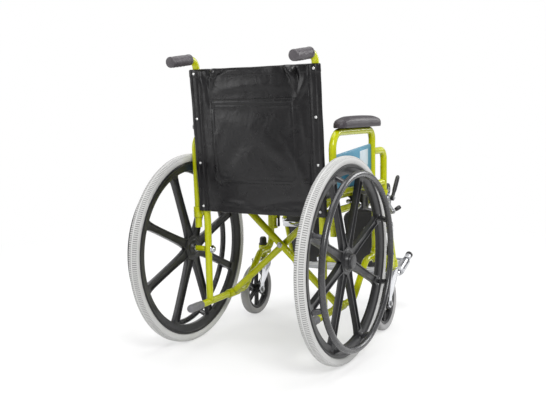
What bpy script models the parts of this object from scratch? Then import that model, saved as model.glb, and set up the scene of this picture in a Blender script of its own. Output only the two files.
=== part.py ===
"""Folding steel wheelchair with desk armrests, moulded wheels and elevating legrests.

Frame: +Z up, the chair faces -Y, its left side is +X and the floor is z = 0.
Lengths are metres. Left-hand pieces are built first and mirrored for the right.
"""

import bmesh
import bpy
from math import atan2, cos, hypot, pi, radians, sin, sqrt, tan
from mathutils import Matrix, Vector

# Driving sizes of the whole chair. The left-hand plane and front positions below follow them.
OVERALL_WIDTH = 0.650
WHEEL_R = 0.303
WHEEL_Y = -0.012
TOUCH_GAP = 0.0003
RUN_GAP = 0.0006

# Sideways planes of the left-hand pieces, from the push rim inward
HANDRIM_TUBE_R = 0.010
HANDRIM_STAND_OFF = 0.045
WHEEL_X = OVERALL_WIDTH / 2 - HANDRIM_TUBE_R - HANDRIM_STAND_OFF
FRAME_X = WHEEL_X - 0.068
ARM_X = FRAME_X + 0.035
LEG_X = FRAME_X + 0.004
CASTER_X = FRAME_X + 0.045
SEAT_RAIL_X = FRAME_X - 0.025

# Fore and aft positions. The front of the frame stands clear of the wheel and its lock.
LOCK_ROOM = 0.100
REAR_POST_Y = WHEEL_Y + 0.005
FRONT_POST_Y = WHEEL_Y - WHEEL_R - LOCK_ROOM
ARM_FRONT_Y = FRONT_POST_Y + 0.012
HANGER_Y = FRONT_POST_Y - 0.0275
KNEE_Y = HANGER_Y - 0.0455

# Frame tubes
TUBE_R = 0.011
TUBE_SIDES = 10
ROUND_SIDES = 12
PIN_SIDES = 8
BEND_STEPS = 3
RAIL_Z = 0.133
RAIL_REAR_Y = 0.040
STEP_Y = FRONT_POST_Y + 0.080
RAIL_RISE_Y = STEP_Y + 0.110
STEP_Z = 0.243
UPPER_RAIL_Z = 0.434
FRAME_BEND_R = 0.045

# Back canes and push handles
CANE_BEND_Z = 0.390
CANE_LEAN = 0.0835
CANE_TOP_Z = 0.897
CANE_BEND_R = 0.030
HANDLE_END_Y = 0.160
HANDLE_DROP = 0.008
GRIP_R = 0.0158
GRIP_LENGTH = 0.100
GRIP_END_WALL = 0.006
GRIP_RIBS = 4
PLUG_R = 0.0150
PLUG_LENGTH = 0.080
PLUG_SPIGOT = 0.022

# Rear wheels
TYRE_W = 0.032
TYRE_H = 0.026
RIM_H = 0.030
RIM_W = 0.027
SPOKES = 8
SPOKE_PHASE = radians(20.5)
SPOKE_W_HUB = 0.036
SPOKE_W_RIM = 0.022
SPOKE_T = 0.016
SPOKE_WAIST_R = 0.085
HUB_R = 0.034
HUB_INNER_W = 0.017
HUB_OUTER_W = 0.030
AXLE_R = 0.0062
AXLE_NUT_R = 0.011
AXLE_NUT_T = 0.009
AXLE_SLEEVE_R = 0.0135
HANDRIM_R = WHEEL_R - 0.048
TAB_W = 0.014
WHEEL_STEPS = 32
RIM_SEAT = 0.003

# Casters
CASTER_R = 0.092
CASTER_TYRE_W = 0.030
CASTER_TYRE_H = 0.021
CASTER_STEM_Y = FRONT_POST_Y - 0.017
CASTER_TRAIL = 0.056
CASTER_STEPS = 20
CASTER_SPOKES = 6
FORK_INNER = 0.021
FORK_T = 0.005
FORK_W = 0.024
FORK_CROWN_T = 0.008
CROWN_GAP = 0.007
CASTER_PIN_R = 0.005
STEM_R = 0.008
HOUSING_R = 0.0165
HOUSING_H = 0.046
CAP_R = 0.0150
CAP_H = 0.030

# Folding cross brace
CROSS_Y = -0.120
CROSS_SPACING = 0.0252
SEAT_RAIL_Z = 0.472
SEAT_RAIL_FRONT_Y = FRONT_POST_Y + 0.016
SEAT_RAIL_REAR_Y = REAR_POST_Y - 0.015
SLEEVE_LENGTH = 0.060
SLEEVE_WALL = 0.0035
PIVOT_BOLT_R = 0.005
PIVOT_HEAD_R = 0.010
PIVOT_HEAD_T = 0.006

# Seat saddles on the upper side rails
SADDLE_Y = FRONT_POST_Y + 0.123
SADDLE_W = 0.050
SADDLE_WALL = 0.006
SADDLE_LIP = 0.006
STAY_R = 0.0045
STAY_REACH = 0.040

# Slings
BACK_TOP_Z = 0.865
BACK_BOTTOM_Z = 0.428
SLING_T = 0.0035
BACK_SAG = 0.014
BACK_SEAM_X = FRAME_X - 0.022
POCKET_HALF_W = FRAME_X - 0.074
POCKET_COLUMN = 0.043
POCKET_TOP_Z = 0.775
POCKET_BOTTOM_Z = 0.512
POCKET_RISE = 0.003
SEAT_SAG = 0.010
SEAT_HALF_W = SEAT_RAIL_X + 0.025
SEAT_T = 0.004
SEAT_EDGE_DROP = 0.006
SEAT_FOLD = 0.0012
SEAT_HEM = 0.020

# Armrests
ARM_TOP_Z = 0.672
ARM_FOOT_Z = 0.372
ARM_REAR_BEND_R = 0.050
ARM_MID_Y = ARM_FRONT_Y + 0.103
ARM_STEP_Z = 0.603
ARM_BEND_R = 0.030
ARM_RAIL_Z = 0.497
SOCKET_WALL = 0.003
REAR_SOCKET_Z = 0.405
REAR_SOCKET_H = 0.034
FRONT_SOCKET_Z = 0.420
FRONT_SOCKET_H = 0.050
FRONT_FOOT_Z = 0.385
PAD_LENGTH = 0.305
PAD_WIDTH = 0.048
PAD_HEIGHT = 0.028
PAD_FRONT_Y = ARM_MID_Y - 0.030
PANEL_T = 0.004
PANEL_TOP_REAR_Z = 0.607
PANEL_TOP_FRONT_Z = 0.628

# Wheel locks
LOCK_Y = FRONT_POST_Y + 0.064
LOCK_PIVOT_Y = LOCK_Y + 0.015
LOCK_CLAMP_W = 0.034
LOCK_PLATE_T = 0.004
LOCK_LEVER_X = WHEEL_X + 0.023
LOCK_LEVER_L = 0.086
LOCK_GRIP_R = 0.0095
LOCK_LEAN = radians(38)
LOCK_PIVOT_Z = 0.452
SHOE_PIVOT_Z = 0.408
SHOE_R = 0.0075
SHOE_CLEAR = 0.009

# Swing-away elevating legrests
KNEE_Z = 0.463
LEG_ANGLE = radians(20.3)
LEG_R = 0.0100
LEG_BORE_R = 0.0086
EXT_R = 0.0080
LEG_LENGTH = 0.312
ELBOW_Q = LEG_LENGTH + 0.040
EXT_INSERT = 0.120
FOOT_REACH = 0.150
EXT_BEND_R = 0.018
KNEE_PIN_R = 0.005
KNEE_CHEEK_T = 0.005
KNEE_CHEEK_R = 0.021
KNEE_GAP = 0.0015
HANGER_FOOT_Z = 0.318
HANGER_LUG_Z = 0.404
LUG_T = 0.008
RELEASE_Z = 0.372
LATCH_Z = 0.352
LATCH_AXLE_R = 0.0030
FOOTPLATE_INNER_X = 0.024
FOOTPLATE_OUTER = 0.010
FOOTPLATE_D = 0.118
FOOTPLATE_T = 0.008
FOOTPLATE_TRAY = 0.003
FOOTPLATE_DROP = 0.0150
FOOT_PLUG_R = 0.0135
FOOT_PLUG_T = 0.012
FOOT_BARREL_R = 0.0125
CALF_W = 0.147
CALF_L = 0.236
CALF_T = 0.038
CALF_END = 0.046
CALF_TOP_Q = LEG_LENGTH - 0.236
CALF_CLEAR_X = 0.014
CALF_BACK_S = -0.018
CALF_ARM_Q = LEG_LENGTH - 0.162
CALF_ARM_T = 0.004
CALF_ARM_W = 0.022

COLOURS = {
    "enamel": ((0.58, 0.60, 0.02), 0.28, 0.0),
    "black_plastic": ((0.025, 0.025, 0.027), 0.45, 0.0),
    "grey_plastic": ((0.17, 0.17, 0.18), 0.5, 0.0),
    "grey_rubber": ((0.62, 0.62, 0.62), 0.8, 0.0),
    "caster_rubber": ((0.22, 0.22, 0.22), 0.8, 0.0),
    "vinyl": ((0.035, 0.035, 0.037), 0.5, 0.0),
    "calf_vinyl": ((0.09, 0.09, 0.095), 0.6, 0.0),
    "chrome": ((0.75, 0.75, 0.76), 0.12, 1.0),
    "steel": ((0.55, 0.55, 0.56), 0.3, 1.0),
    "panel": ((0.09, 0.35, 0.55), 0.4, 0.0),
}


def clear_scene():
    for obj in list(bpy.data.objects):
        bpy.data.objects.remove(obj, do_unlink=True)


def material(name):
    mat = bpy.data.materials.get(name)
    if mat is None:
        colour, roughness, metallic = COLOURS[name]
        mat = bpy.data.materials.new(name)
        mat.use_nodes = True
        shader = mat.node_tree.nodes["Principled BSDF"]
        shader.inputs["Base Color"].default_value = (*colour, 1.0)
        shader.inputs["Roughness"].default_value = roughness
        shader.inputs["Metallic"].default_value = metallic
    return mat


def mesh_object(name, verts, faces):
    mesh = bpy.data.meshes.new(name)
    mesh.from_pydata([tuple(v) for v in verts], [], faces)
    bm = bmesh.new()
    bm.from_mesh(mesh)
    bmesh.ops.recalc_face_normals(bm, faces=bm.faces)
    bm.to_mesh(mesh)
    bm.free()
    obj = bpy.data.objects.new(name, mesh)
    bpy.context.scene.collection.objects.link(obj)
    return obj


def frame_of(direction, up=Vector((0, 0, 1))):
    """Two unit vectors square to a direction, the first as near to up as it goes."""
    d = direction.normalized()
    if abs(d.dot(up)) > 0.98:
        up = Vector((0, 1, 0))
    b = (up - d * up.dot(d)).normalized()
    return b, d.cross(b)


def sweep(name, points, radius, sides=TUBE_SIDES):
    """A solid tube along points, its rings mitred at the corners. radius may be one per point."""
    pts = [Vector(p) for p in points]
    radii = radius if isinstance(radius, (list, tuple)) else [radius] * len(pts)
    verts, faces = [], []
    b, c = frame_of(pts[1] - pts[0])
    last = (pts[1] - pts[0]).normalized()
    for i, p in enumerate(pts):
        into = (p - pts[i - 1]).normalized() if i else last
        out = (pts[i + 1] - p).normalized() if i < len(pts) - 1 else into
        turn = last.rotation_difference(into)
        b, c = turn @ b, turn @ c
        last = into
        plane = (into + out).normalized()
        for k in range(sides):
            a = 2 * pi * (k + 0.5) / sides
            v = (b * cos(a) + c * sin(a)) * radii[i]
            v -= into * (v.dot(plane) / into.dot(plane))
            verts.append(p + v)
    for i in range(len(pts) - 1):
        for k in range(sides):
            n = (k + 1) % sides
            faces.append((i * sides + k, i * sides + n, (i + 1) * sides + n, (i + 1) * sides + k))
    faces.append(tuple(range(sides)))
    faces.append(tuple(range((len(pts) - 1) * sides, len(pts) * sides)))
    return mesh_object(name, verts, faces)


def round_path(corners, radii, steps=BEND_STEPS):
    """Polyline through corners with an arc of the given radius at each inner corner."""
    pts = [Vector(p) for p in corners]
    path = [pts[0]]
    for i in range(1, len(pts) - 1):
        a = (pts[i - 1] - pts[i]).normalized()
        b = (pts[i + 1] - pts[i]).normalized()
        half = a.angle(b) / 2
        bend = pi - 2 * half
        if bend < 0.01 or radii[i - 1] == 0:
            path.append(pts[i])
            continue
        setback = radii[i - 1] / tan(half)
        centre = pts[i] + (a + b).normalized() * (radii[i - 1] / sin(half))
        start = pts[i] + a * setback
        axis = a.cross(b).normalized()
        count = max(2, round(steps * bend / (pi / 2)))
        for k in range(count + 1):
            turn = Matrix.Rotation(-bend * k / count, 3, axis)
            path.append(centre + turn @ (start - centre))
    path.append(pts[-1])
    return path


def lathe(name, profile, centre, axis, sides, phase=0.5, on_flats=False):
    """A turned solid. profile is a closed loop of (radius, height) or runs from pole to pole.

    on_flats measures the radii to the middle of each facet, so that a wheel stands on a flat.
    """
    axis = Vector(axis).normalized()
    if on_flats:
        profile = [(r / cos(pi / sides), h) for r, h in profile]
    b, c = frame_of(axis)
    centre = Vector(centre)
    verts, faces, rows = [], [], []
    for r, h in profile:
        if r < 1e-7:
            rows.append([len(verts)])
            verts.append(centre + axis * h)
            continue
        row = []
        for k in range(sides):
            a = 2 * pi * (k + phase) / sides
            row.append(len(verts))
            verts.append(centre + axis * h + (b * cos(a) + c * sin(a)) * r)
        rows.append(row)
    open_ends = len(rows[0]) == 1 and len(rows[-1]) == 1
    pairs = list(zip(rows, rows[1:]))
    if not open_ends:
        pairs.append((rows[-1], rows[0]))
    for low, high in pairs:
        for k in range(sides):
            n = (k + 1) % sides
            if len(low) == 1 and len(high) == 1:
                continue
            if len(low) == 1:
                faces.append((low[0], high[n], high[k]))
            elif len(high) == 1:
                faces.append((low[k], low[n], high[0]))
            else:
                faces.append((low[k], low[n], high[n], high[k]))
    return mesh_object(name, verts, faces)


def rod(name, start, end, radius, sides=TUBE_SIDES):
    return sweep(name, [start, end], radius, sides)


def prism(name, outline, origin, u, v, thickness):
    """An extruded outline of (u, v) points, centred on the plane through origin."""
    u, v = Vector(u), Vector(v)
    w = u.cross(v).normalized()
    origin = Vector(origin)
    n = len(outline)
    verts = []
    for side in (-0.5, 0.5):
        for a, b in outline:
            verts.append(origin + u * a + v * b + w * thickness * side)
    faces = [tuple(range(n)), tuple(range(n, 2 * n))]
    for k in range(n):
        m = (k + 1) % n
        faces.append((k, m, n + m, n + k))
    return mesh_object(name, verts, faces)


def box(name, low, high):
    lo, hi = Vector(low), Vector(high)
    mid = (lo + hi) / 2
    hx, hy = (hi.x - lo.x) / 2, (hi.y - lo.y) / 2
    outline = [(-hx, -hy), (hx, -hy), (hx, hy), (-hx, hy)]
    return prism(name, outline, mid, (1, 0, 0), (0, 1, 0), hi.z - lo.z)


def rounded_rect(width, depth, radius, steps=3):
    outline = []
    for cx, cy, start in ((1, 1, 0), (-1, 1, 90), (-1, -1, 180), (1, -1, 270)):
        for k in range(steps + 1):
            a = radians(start + 90 * k / steps)
            outline.append((cx * (width / 2 - radius) + radius * cos(a),
                            cy * (depth / 2 - radius) + radius * sin(a)))
    return outline


def bake(obj):
    """Replaces an object's mesh by its evaluated mesh and clears its modifiers."""
    graph = bpy.context.evaluated_depsgraph_get()
    mesh = bpy.data.meshes.new_from_object(obj.evaluated_get(graph))
    obj.modifiers.clear()
    obj.data = mesh
    return obj


def boolean(target, tools, operation):
    for tool in tools:
        mod = target.modifiers.new(operation.lower(), "BOOLEAN")
        mod.operation = operation
        mod.solver = "EXACT"
        mod.object = tool
        bpy.context.view_layer.update()
        bake(target)
        bpy.data.objects.remove(tool, do_unlink=True)
    return target


def weld(target, *tools):
    return boolean(target, tools, "UNION")


def cut(target, *tools):
    return boolean(target, tools, "DIFFERENCE")


NODES = {}


def finish(obj, name, finish_name, pivot=(0, 0, 0), sharp=35):
    """Names a left-hand or single piece, sets its finish and puts its origin on its axis."""
    pivot = Vector(pivot)
    bm = bmesh.new()
    bm.from_mesh(obj.data)
    bmesh.ops.remove_doubles(bm, verts=bm.verts, dist=1e-6)
    bmesh.ops.dissolve_degenerate(bm, edges=bm.edges, dist=1e-6)
    bmesh.ops.translate(bm, verts=bm.verts, vec=-pivot)
    bm.to_mesh(obj.data)
    bm.free()
    obj.data.materials.clear()
    obj.data.materials.append(material(finish_name))
    obj.data.shade_smooth()
    obj.data.set_sharp_from_angle(angle=radians(sharp))
    obj.name = name
    obj.data.name = name
    obj.location = pivot
    NODES[name] = obj
    return obj


def pair(obj, name, finish_name, pivot=(0, 0, 0), sharp=35):
    """Finishes a left-hand piece and adds its mirror image on the right."""
    left = finish(obj, name + "_l", finish_name, pivot, sharp)
    mesh = left.data.copy()
    bm = bmesh.new()
    bm.from_mesh(mesh)
    bmesh.ops.scale(bm, verts=bm.verts, vec=(-1, 1, 1))
    bmesh.ops.reverse_faces(bm, faces=bm.faces)
    bm.to_mesh(mesh)
    bm.free()
    right = bpy.data.objects.new(name + "_r", mesh)
    bpy.context.scene.collection.objects.link(right)
    mesh.name = name + "_r"
    right.location = (-pivot[0], pivot[1], pivot[2])
    NODES[name + "_r"] = right
    return left, right


# Points and directions of the legrest, q down along the leg tube and s ahead of it
LEG_DOWN = Vector((0, -sin(LEG_ANGLE), -cos(LEG_ANGLE)))
LEG_AHEAD = Vector((0, -cos(LEG_ANGLE), sin(LEG_ANGLE)))
KNEE = Vector((LEG_X, KNEE_Y, KNEE_Z))


def leg_point(q, s, x=LEG_X):
    p = KNEE + LEG_DOWN * q + LEG_AHEAD * s
    return Vector((x, p.y, p.z))


def cane_y(z):
    """Centre of the leaning back cane at a height."""
    return REAR_POST_Y + max(0.0, z - CANE_BEND_Z) * CANE_LEAN


def side_frame():
    x = FRAME_X
    loop = round_path(
        [(x, RAIL_REAR_Y, RAIL_Z), (x, RAIL_RISE_Y, RAIL_Z), (x, STEP_Y, STEP_Z),
         (x, FRONT_POST_Y, STEP_Z), (x, FRONT_POST_Y, UPPER_RAIL_Z),
         (x, REAR_POST_Y, UPPER_RAIL_Z)],
        [FRAME_BEND_R, FRAME_BEND_R, 0.038, 0.036])
    frame = sweep("side_frame", loop, TUBE_R)
    top_y = cane_y(CANE_TOP_Z)
    cane = round_path(
        [(x, REAR_POST_Y, RAIL_Z), (x, REAR_POST_Y, CANE_BEND_Z), (x, top_y, CANE_TOP_Z),
         (x, HANDLE_END_Y, CANE_TOP_Z - HANDLE_DROP)], [0, CANE_BEND_R])
    sleeve = rod("sleeve", (x, WHEEL_Y, WHEEL_R), (sleeve_end_x(), WHEEL_Y, WHEEL_R), AXLE_SLEEVE_R)
    gusset_z = STEP_Z - 0.010
    housing_z = caster_housing_z()
    housing = rod("housing", (CASTER_X, CASTER_STEM_Y, housing_z),
                  (CASTER_X, CASTER_STEM_Y, housing_z + HOUSING_H), HOUSING_R, ROUND_SIDES)
    outrigger = rod("outrigger", (x, FRONT_POST_Y + 0.022, gusset_z),
                    (CASTER_X - 0.004, CASTER_STEM_Y, gusset_z), TUBE_R * 0.9)
    frame = weld(frame, sweep("cane", cane, TUBE_R), sleeve, outrigger, housing)
    socket_r = TUBE_R + RUN_GAP + SOCKET_WALL
    for y, post_y, z, height in (
            (REAR_POST_Y, REAR_POST_Y, REAR_SOCKET_Z, REAR_SOCKET_H),
            (ARM_FRONT_Y, FRONT_POST_Y, FRONT_SOCKET_Z, FRONT_SOCKET_H)):
        collar = rod("collar", (ARM_X, y, z), (ARM_X, y, z + height), socket_r, ROUND_SIDES)
        tab_z = z + 0.006 if height < 0.04 else z + 0.004
        tab = box("tab", (x + 0.004, min(y, post_y) - 0.004, tab_z),
                  (ARM_X - 0.006, max(y, post_y) + 0.004, tab_z + 0.014))
        frame = weld(frame, collar, tab)
        bore = rod("bore", (ARM_X, y, z - 0.01), (ARM_X, y, z + height + 0.01), TUBE_R + RUN_GAP)
        frame = cut(frame, bore)
    lower = prism("lug", rounded_rect(0.028, 0.030, 0.010, 2),
                  (LEG_X, HANGER_Y + 0.004, HANGER_FOOT_Z - TOUCH_GAP - LUG_T / 2),
                  (1, 0, 0), (0, 1, 0), LUG_T)
    lower_tie = box("tie", (x - 0.008, HANGER_Y + 0.008, HANGER_FOOT_Z - TOUCH_GAP - LUG_T),
                    (x + 0.008, FRONT_POST_Y - 0.004, HANGER_FOOT_Z - TOUCH_GAP))
    pin = rod("pin", (LEG_X, HANGER_Y, HANGER_FOOT_Z - 0.004),
              (LEG_X, HANGER_Y, HANGER_FOOT_Z + 0.018), 0.0060)
    upper = rod("upper", (LEG_X, HANGER_Y, HANGER_LUG_Z),
                (LEG_X, HANGER_Y, HANGER_LUG_Z + 0.012), TUBE_R + RUN_GAP + 0.0032, ROUND_SIDES)
    upper_tie = box("tie", (x - 0.007, HANGER_Y + 0.011, HANGER_LUG_Z + 0.001),
                    (x + 0.007, FRONT_POST_Y - 0.004, HANGER_LUG_Z + 0.011))
    frame = weld(frame, lower, lower_tie, pin, upper, upper_tie)
    hole = rod("hole", (LEG_X, HANGER_Y, HANGER_LUG_Z - 0.004),
               (LEG_X, HANGER_Y, HANGER_LUG_Z + 0.016), TUBE_R + RUN_GAP + 0.0002, ROUND_SIDES)
    frame = cut(frame, hole)
    axle_bore = rod("axle_bore", (x - 0.02, WHEEL_Y, WHEEL_R), (sleeve_end_x() + 0.01, WHEEL_Y, WHEEL_R),
                    (AXLE_R + TOUCH_GAP) / cos(pi / ROUND_SIDES), ROUND_SIDES)
    stem_bore = rod("stem_bore", (CASTER_X, CASTER_STEM_Y, housing_z - 0.01),
                    (CASTER_X, CASTER_STEM_Y, housing_z + HOUSING_H + 0.01), STEM_R + RUN_GAP, ROUND_SIDES)
    plug_bore = rod("plug_bore", (x, RAIL_REAR_Y - PLUG_SPIGOT - 0.001, RAIL_Z),
                    (x, RAIL_REAR_Y + 0.01, RAIL_Z), TUBE_R * 0.72)
    frame = cut(frame, axle_bore, stem_bore, plug_bore)
    pair(frame, "side_frame", "enamel")


def sleeve_end_x():
    """Outer end of the axle sleeve, just inside the hub."""
    return WHEEL_X - HUB_INNER_W - RUN_GAP


def caster_housing_z():
    return 2 * CASTER_R + CROWN_GAP + FORK_CROWN_T + 0.001


def grips_and_plugs():
    start = Vector((FRAME_X, HANDLE_END_Y - GRIP_LENGTH + GRIP_END_WALL, 0))
    drop = HANDLE_DROP / (HANDLE_END_Y - cane_y(CANE_TOP_Z))
    axis = Vector((0, 1, -drop)).normalized()
    end = Vector((FRAME_X, HANDLE_END_Y, CANE_TOP_Z - HANDLE_DROP))
    bore = TUBE_R + TOUCH_GAP
    reach = GRIP_LENGTH - GRIP_END_WALL
    outer = [(0.0, GRIP_END_WALL), (GRIP_R * 0.55, GRIP_END_WALL), (GRIP_R * 1.02, GRIP_END_WALL * 0.4)]
    pitch = reach / (2 * GRIP_RIBS)
    for k in range(2 * GRIP_RIBS):
        r = GRIP_R if k % 2 == 0 else GRIP_R - 0.0016
        outer.append((r, -pitch * (k + 0.5)))
    outer += [(GRIP_R - 0.003, -reach), (bore, -reach), (bore, TOUCH_GAP), (0.0, TOUCH_GAP)]
    grip = lathe("grip", outer, end, axis, TUBE_SIDES)
    pair(grip, "grip", "black_plastic")
    rear = Vector((FRAME_X, RAIL_REAR_Y, RAIL_Z))
    g = TOUCH_GAP
    spigot = TUBE_R * 0.72 - TOUCH_GAP
    profile = [(0, -PLUG_SPIGOT), (spigot, -PLUG_SPIGOT), (spigot, g), (TUBE_R + 0.001, g),
               (PLUG_R * 0.93, 0.012), (PLUG_R, 0.020), (PLUG_R, PLUG_LENGTH - 0.010),
               (PLUG_R * 0.8, PLUG_LENGTH - 0.002), (PLUG_R * 0.5, PLUG_LENGTH), (0, PLUG_LENGTH)]
    pair(lathe("plug", profile, rear, (0, 1, 0), TUBE_SIDES), "rail_plug", "grey_plastic")


def spoke_directions(count, phase):
    """Outward and sideways unit vectors of each spoke of a wheel that turns about x."""
    for k in range(count):
        a = phase + 2 * pi * k / count
        yield Vector((0, sin(a), cos(a))), Vector((0, cos(a), -sin(a)))


def rear_wheels():
    centre = Vector((WHEEL_X, WHEEL_Y, WHEEL_R))
    rim_r = WHEEL_R - TYRE_H
    half = TYRE_W / 2
    seat_r = rim_r - RIM_SEAT
    crown = [(rim_r + TOUCH_GAP, -half * 0.80), (WHEEL_R - 0.009, -half), (WHEEL_R, -half * 0.35),
             (WHEEL_R, half * 0.35), (WHEEL_R - 0.009, half), (rim_r + TOUCH_GAP, half * 0.80),
             (seat_r + TOUCH_GAP, half * 0.35), (seat_r + TOUCH_GAP, -half * 0.35)]
    tyre = lathe("tyre", crown, centre, (1, 0, 0), WHEEL_STEPS, on_flats=True)
    pair(tyre, "tyre", "grey_rubber", centre)
    rw = RIM_W / 2
    section = [(rim_r, -half * 0.80), (seat_r, -half * 0.35), (seat_r, half * 0.35), (rim_r, half * 0.80),
               (rim_r - 0.008, rw), (rim_r - RIM_H, rw * 0.45), (rim_r - RIM_H, -rw * 0.45),
               (rim_r - 0.008, -rw)]
    wheel = lathe("wheel", section, centre, (1, 0, 0), WHEEL_STEPS, on_flats=True)
    bore = AXLE_R + RUN_GAP
    boss_end = HUB_OUTER_W - 0.012
    hub = lathe("hub", [(bore * 0.8, -HUB_INNER_W), (0.020, -HUB_INNER_W), (0.024, -0.0095),
                        (HUB_R, -0.0092), (HUB_R, 0.0092), (0.026, 0.0125), (0.022, boss_end),
                        (bore * 0.8, boss_end)], centre, (1, 0, 0), ROUND_SIDES)
    reach = rim_r - RIM_H + 0.006
    waist = SPOKE_WAIST_R
    blades = []
    for out, across in spoke_directions(SPOKES, SPOKE_PHASE):
        root_r = HUB_R - 0.010
        side = [(root_r, SPOKE_W_HUB / 2), (waist, SPOKE_W_RIM * 0.56), (reach, SPOKE_W_RIM / 2)]
        outline = [(u, -v) for u, v in side] + side[::-1]
        blades.append(prism("spoke", outline, centre, out, across, SPOKE_T))
    wheel = weld(wheel, *blades, hub)
    through = rod("through", centre - Vector((0.03, 0, 0)), centre + Vector((0.04, 0, 0)), bore, 12)
    pair(cut(wheel, through), "mag_wheel", "black_plastic", centre)
    handrim(centre, rim_r)
    inner = FRAME_X - TUBE_R - TOUCH_GAP
    outer = WHEEL_X + boss_end + RUN_GAP
    axle = lathe("axle", [(0, inner - AXLE_NUT_T), (AXLE_NUT_R, inner - AXLE_NUT_T), (AXLE_NUT_R, inner),
                          (AXLE_R, inner), (AXLE_R, outer), (0.0135, outer), (0.0135, outer + 0.006),
                          (0.008, outer + 0.010), (0, outer + 0.010)],
                 (0, WHEEL_Y, WHEEL_R), (1, 0, 0), 12)
    pair(axle, "axle_bolt", "steel")


def handrim(centre, rim_r):
    """The push rim, an eight-sided hoop on lugs that foot on the wheel rim beside each spoke."""
    sides = 8
    tube_r = HANDRIM_TUBE_R / cos(pi / sides)
    rim_x = WHEEL_X + HANDRIM_STAND_OFF
    section = []
    for k in range(sides):
        a = 2 * pi * (k + 0.5) / sides
        section.append((HANDRIM_R + tube_r * cos(a), tube_r * sin(a)))
    ring = lathe("handrim", section, centre + Vector((rim_x - WHEEL_X, 0, 0)), (1, 0, 0), WHEEL_STEPS)
    near = WHEEL_X + RIM_W / 2 + TOUCH_GAP
    foot_r = rim_r - 0.016
    lugs = []
    for out, across in spoke_directions(SPOKES, SPOKE_PHASE):
        outline = [(near, foot_r + 0.007), (rim_x, HANDRIM_R + 0.004), (rim_x, HANDRIM_R - 0.003),
                   (near, foot_r - 0.007)]
        lugs.append(prism("lug", outline, (0, centre.y, centre.z), (1, 0, 0), out, TAB_W))
    pair(weld(ring, *lugs), "handrim", "black_plastic", centre)


def casters():
    hub = Vector((CASTER_X, CASTER_STEM_Y + CASTER_TRAIL, CASTER_R))
    half = CASTER_TYRE_W / 2
    rim = CASTER_R - CASTER_TYRE_H
    tyre = [(rim + TOUCH_GAP, -half * 0.75), (CASTER_R - 0.008, -half), (CASTER_R, -half * 0.35),
            (CASTER_R, half * 0.35), (CASTER_R - 0.008, half), (rim + TOUCH_GAP, half * 0.75)]
    pair(lathe("caster_tyre", tyre, hub, (1, 0, 0), CASTER_STEPS, on_flats=True), "caster_tyre",
         "caster_rubber", hub)
    ring = lathe("core", [(rim, -half * 0.72), (rim, half * 0.72), (rim - 0.010, half * 0.55),
                          (rim - 0.010, -half * 0.55)], hub, (1, 0, 0), CASTER_STEPS, on_flats=True)
    boss = lathe("boss", [(CASTER_PIN_R * 0.8, -FORK_INNER + 0.001), (0.011, -FORK_INNER + 0.001),
                          (0.016, -0.008), (0.016, 0.008), (0.011, FORK_INNER - 0.001),
                          (CASTER_PIN_R * 0.8, FORK_INNER - 0.001)], hub, (1, 0, 0), TUBE_SIDES)
    blades = []
    reach = rim - 0.006
    for out, across in list(spoke_directions(CASTER_SPOKES, 0))[:CASTER_SPOKES // 2]:
        outline = [(-reach, -0.0065), (reach, -0.0065), (reach, 0.0065), (-reach, 0.0065)]
        blades.append(prism("blade", outline, hub, out, across, 0.011))
    core = weld(ring, *blades, boss)
    across = Vector((FORK_INNER + FORK_T, 0, 0))
    through = rod("through", hub - across, hub + across, CASTER_PIN_R + RUN_GAP, PIN_SIDES)
    pair(cut(core, through), "caster_core", "black_plastic", hub)
    crown_z = 2 * CASTER_R + CROWN_GAP
    legs = []
    for side in (-1, 1):
        x = hub.x + side * (FORK_INNER + FORK_T / 2)
        outline = [(CASTER_STEM_Y - 0.013, crown_z + FORK_CROWN_T), (CASTER_STEM_Y - 0.013, crown_z - 0.004),
                   (hub.y - 0.013, hub.z + 0.012), (hub.y - 0.009, hub.z - 0.009), (hub.y, hub.z - 0.014),
                   (hub.y + 0.009, hub.z - 0.009), (hub.y + 0.013, hub.z + 0.012),
                   (hub.y - 0.010, crown_z), (hub.y - 0.014, crown_z + FORK_CROWN_T)]
        legs.append(prism("leg", outline, (x, 0, 0), (0, 1, 0), (0, 0, 1), FORK_T))
    wide = FORK_INNER + FORK_T / 2
    crown = box("crown", (hub.x - wide, CASTER_STEM_Y - 0.0125, crown_z),
                (hub.x + wide, hub.y - 0.0145, crown_z + FORK_CROWN_T - 0.0004))
    pin = rod("pin", (hub.x - FORK_INNER - FORK_T - 0.006, hub.y, hub.z),
              (hub.x + FORK_INNER + FORK_T + 0.006, hub.y, hub.z), CASTER_PIN_R, PIN_SIDES)
    nuts = []
    for side in (-1, 1):
        start = hub.x + side * (FORK_INNER + FORK_T - 0.001)
        nuts.append(rod("nut", (start, hub.y, hub.z), (start + side * 0.006, hub.y, hub.z), 0.0085, 6))
    stem_top = caster_housing_z() + HOUSING_H
    stem = rod("stem", (hub.x, CASTER_STEM_Y, crown_z + 0.002), (hub.x, CASTER_STEM_Y, stem_top + 0.006),
               STEM_R, ROUND_SIDES)
    fork = weld(crown, *legs, pin, *nuts, stem)
    pair(fork, "caster_fork", "chrome", (hub.x, CASTER_STEM_Y, hub.z))
    base = stem_top + TOUCH_GAP
    bore = STEM_R + RUN_GAP
    flange = CAP_R + 0.001
    profile = [(0, 0.009), (bore, 0.009), (bore, 0), (flange, 0), (flange, 0.006), (CAP_R - 0.002, 0.008),
               (CAP_R - 0.003, CAP_H - 0.005), (CAP_R - 0.006, CAP_H), (0, CAP_H)]
    cap = lathe("cap", profile, (hub.x, CASTER_STEM_Y, base), (0, 0, 1), ROUND_SIDES)
    pair(cap, "caster_cap", "black_plastic")


def cross_direction():
    """Unit vector from a lower pivot up to the far seat rail, and its half length."""
    rise = SEAT_RAIL_Z - RAIL_Z
    run = FRAME_X + SEAT_RAIL_X
    length = hypot(rise, run)
    return run / length, rise / length, length


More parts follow.
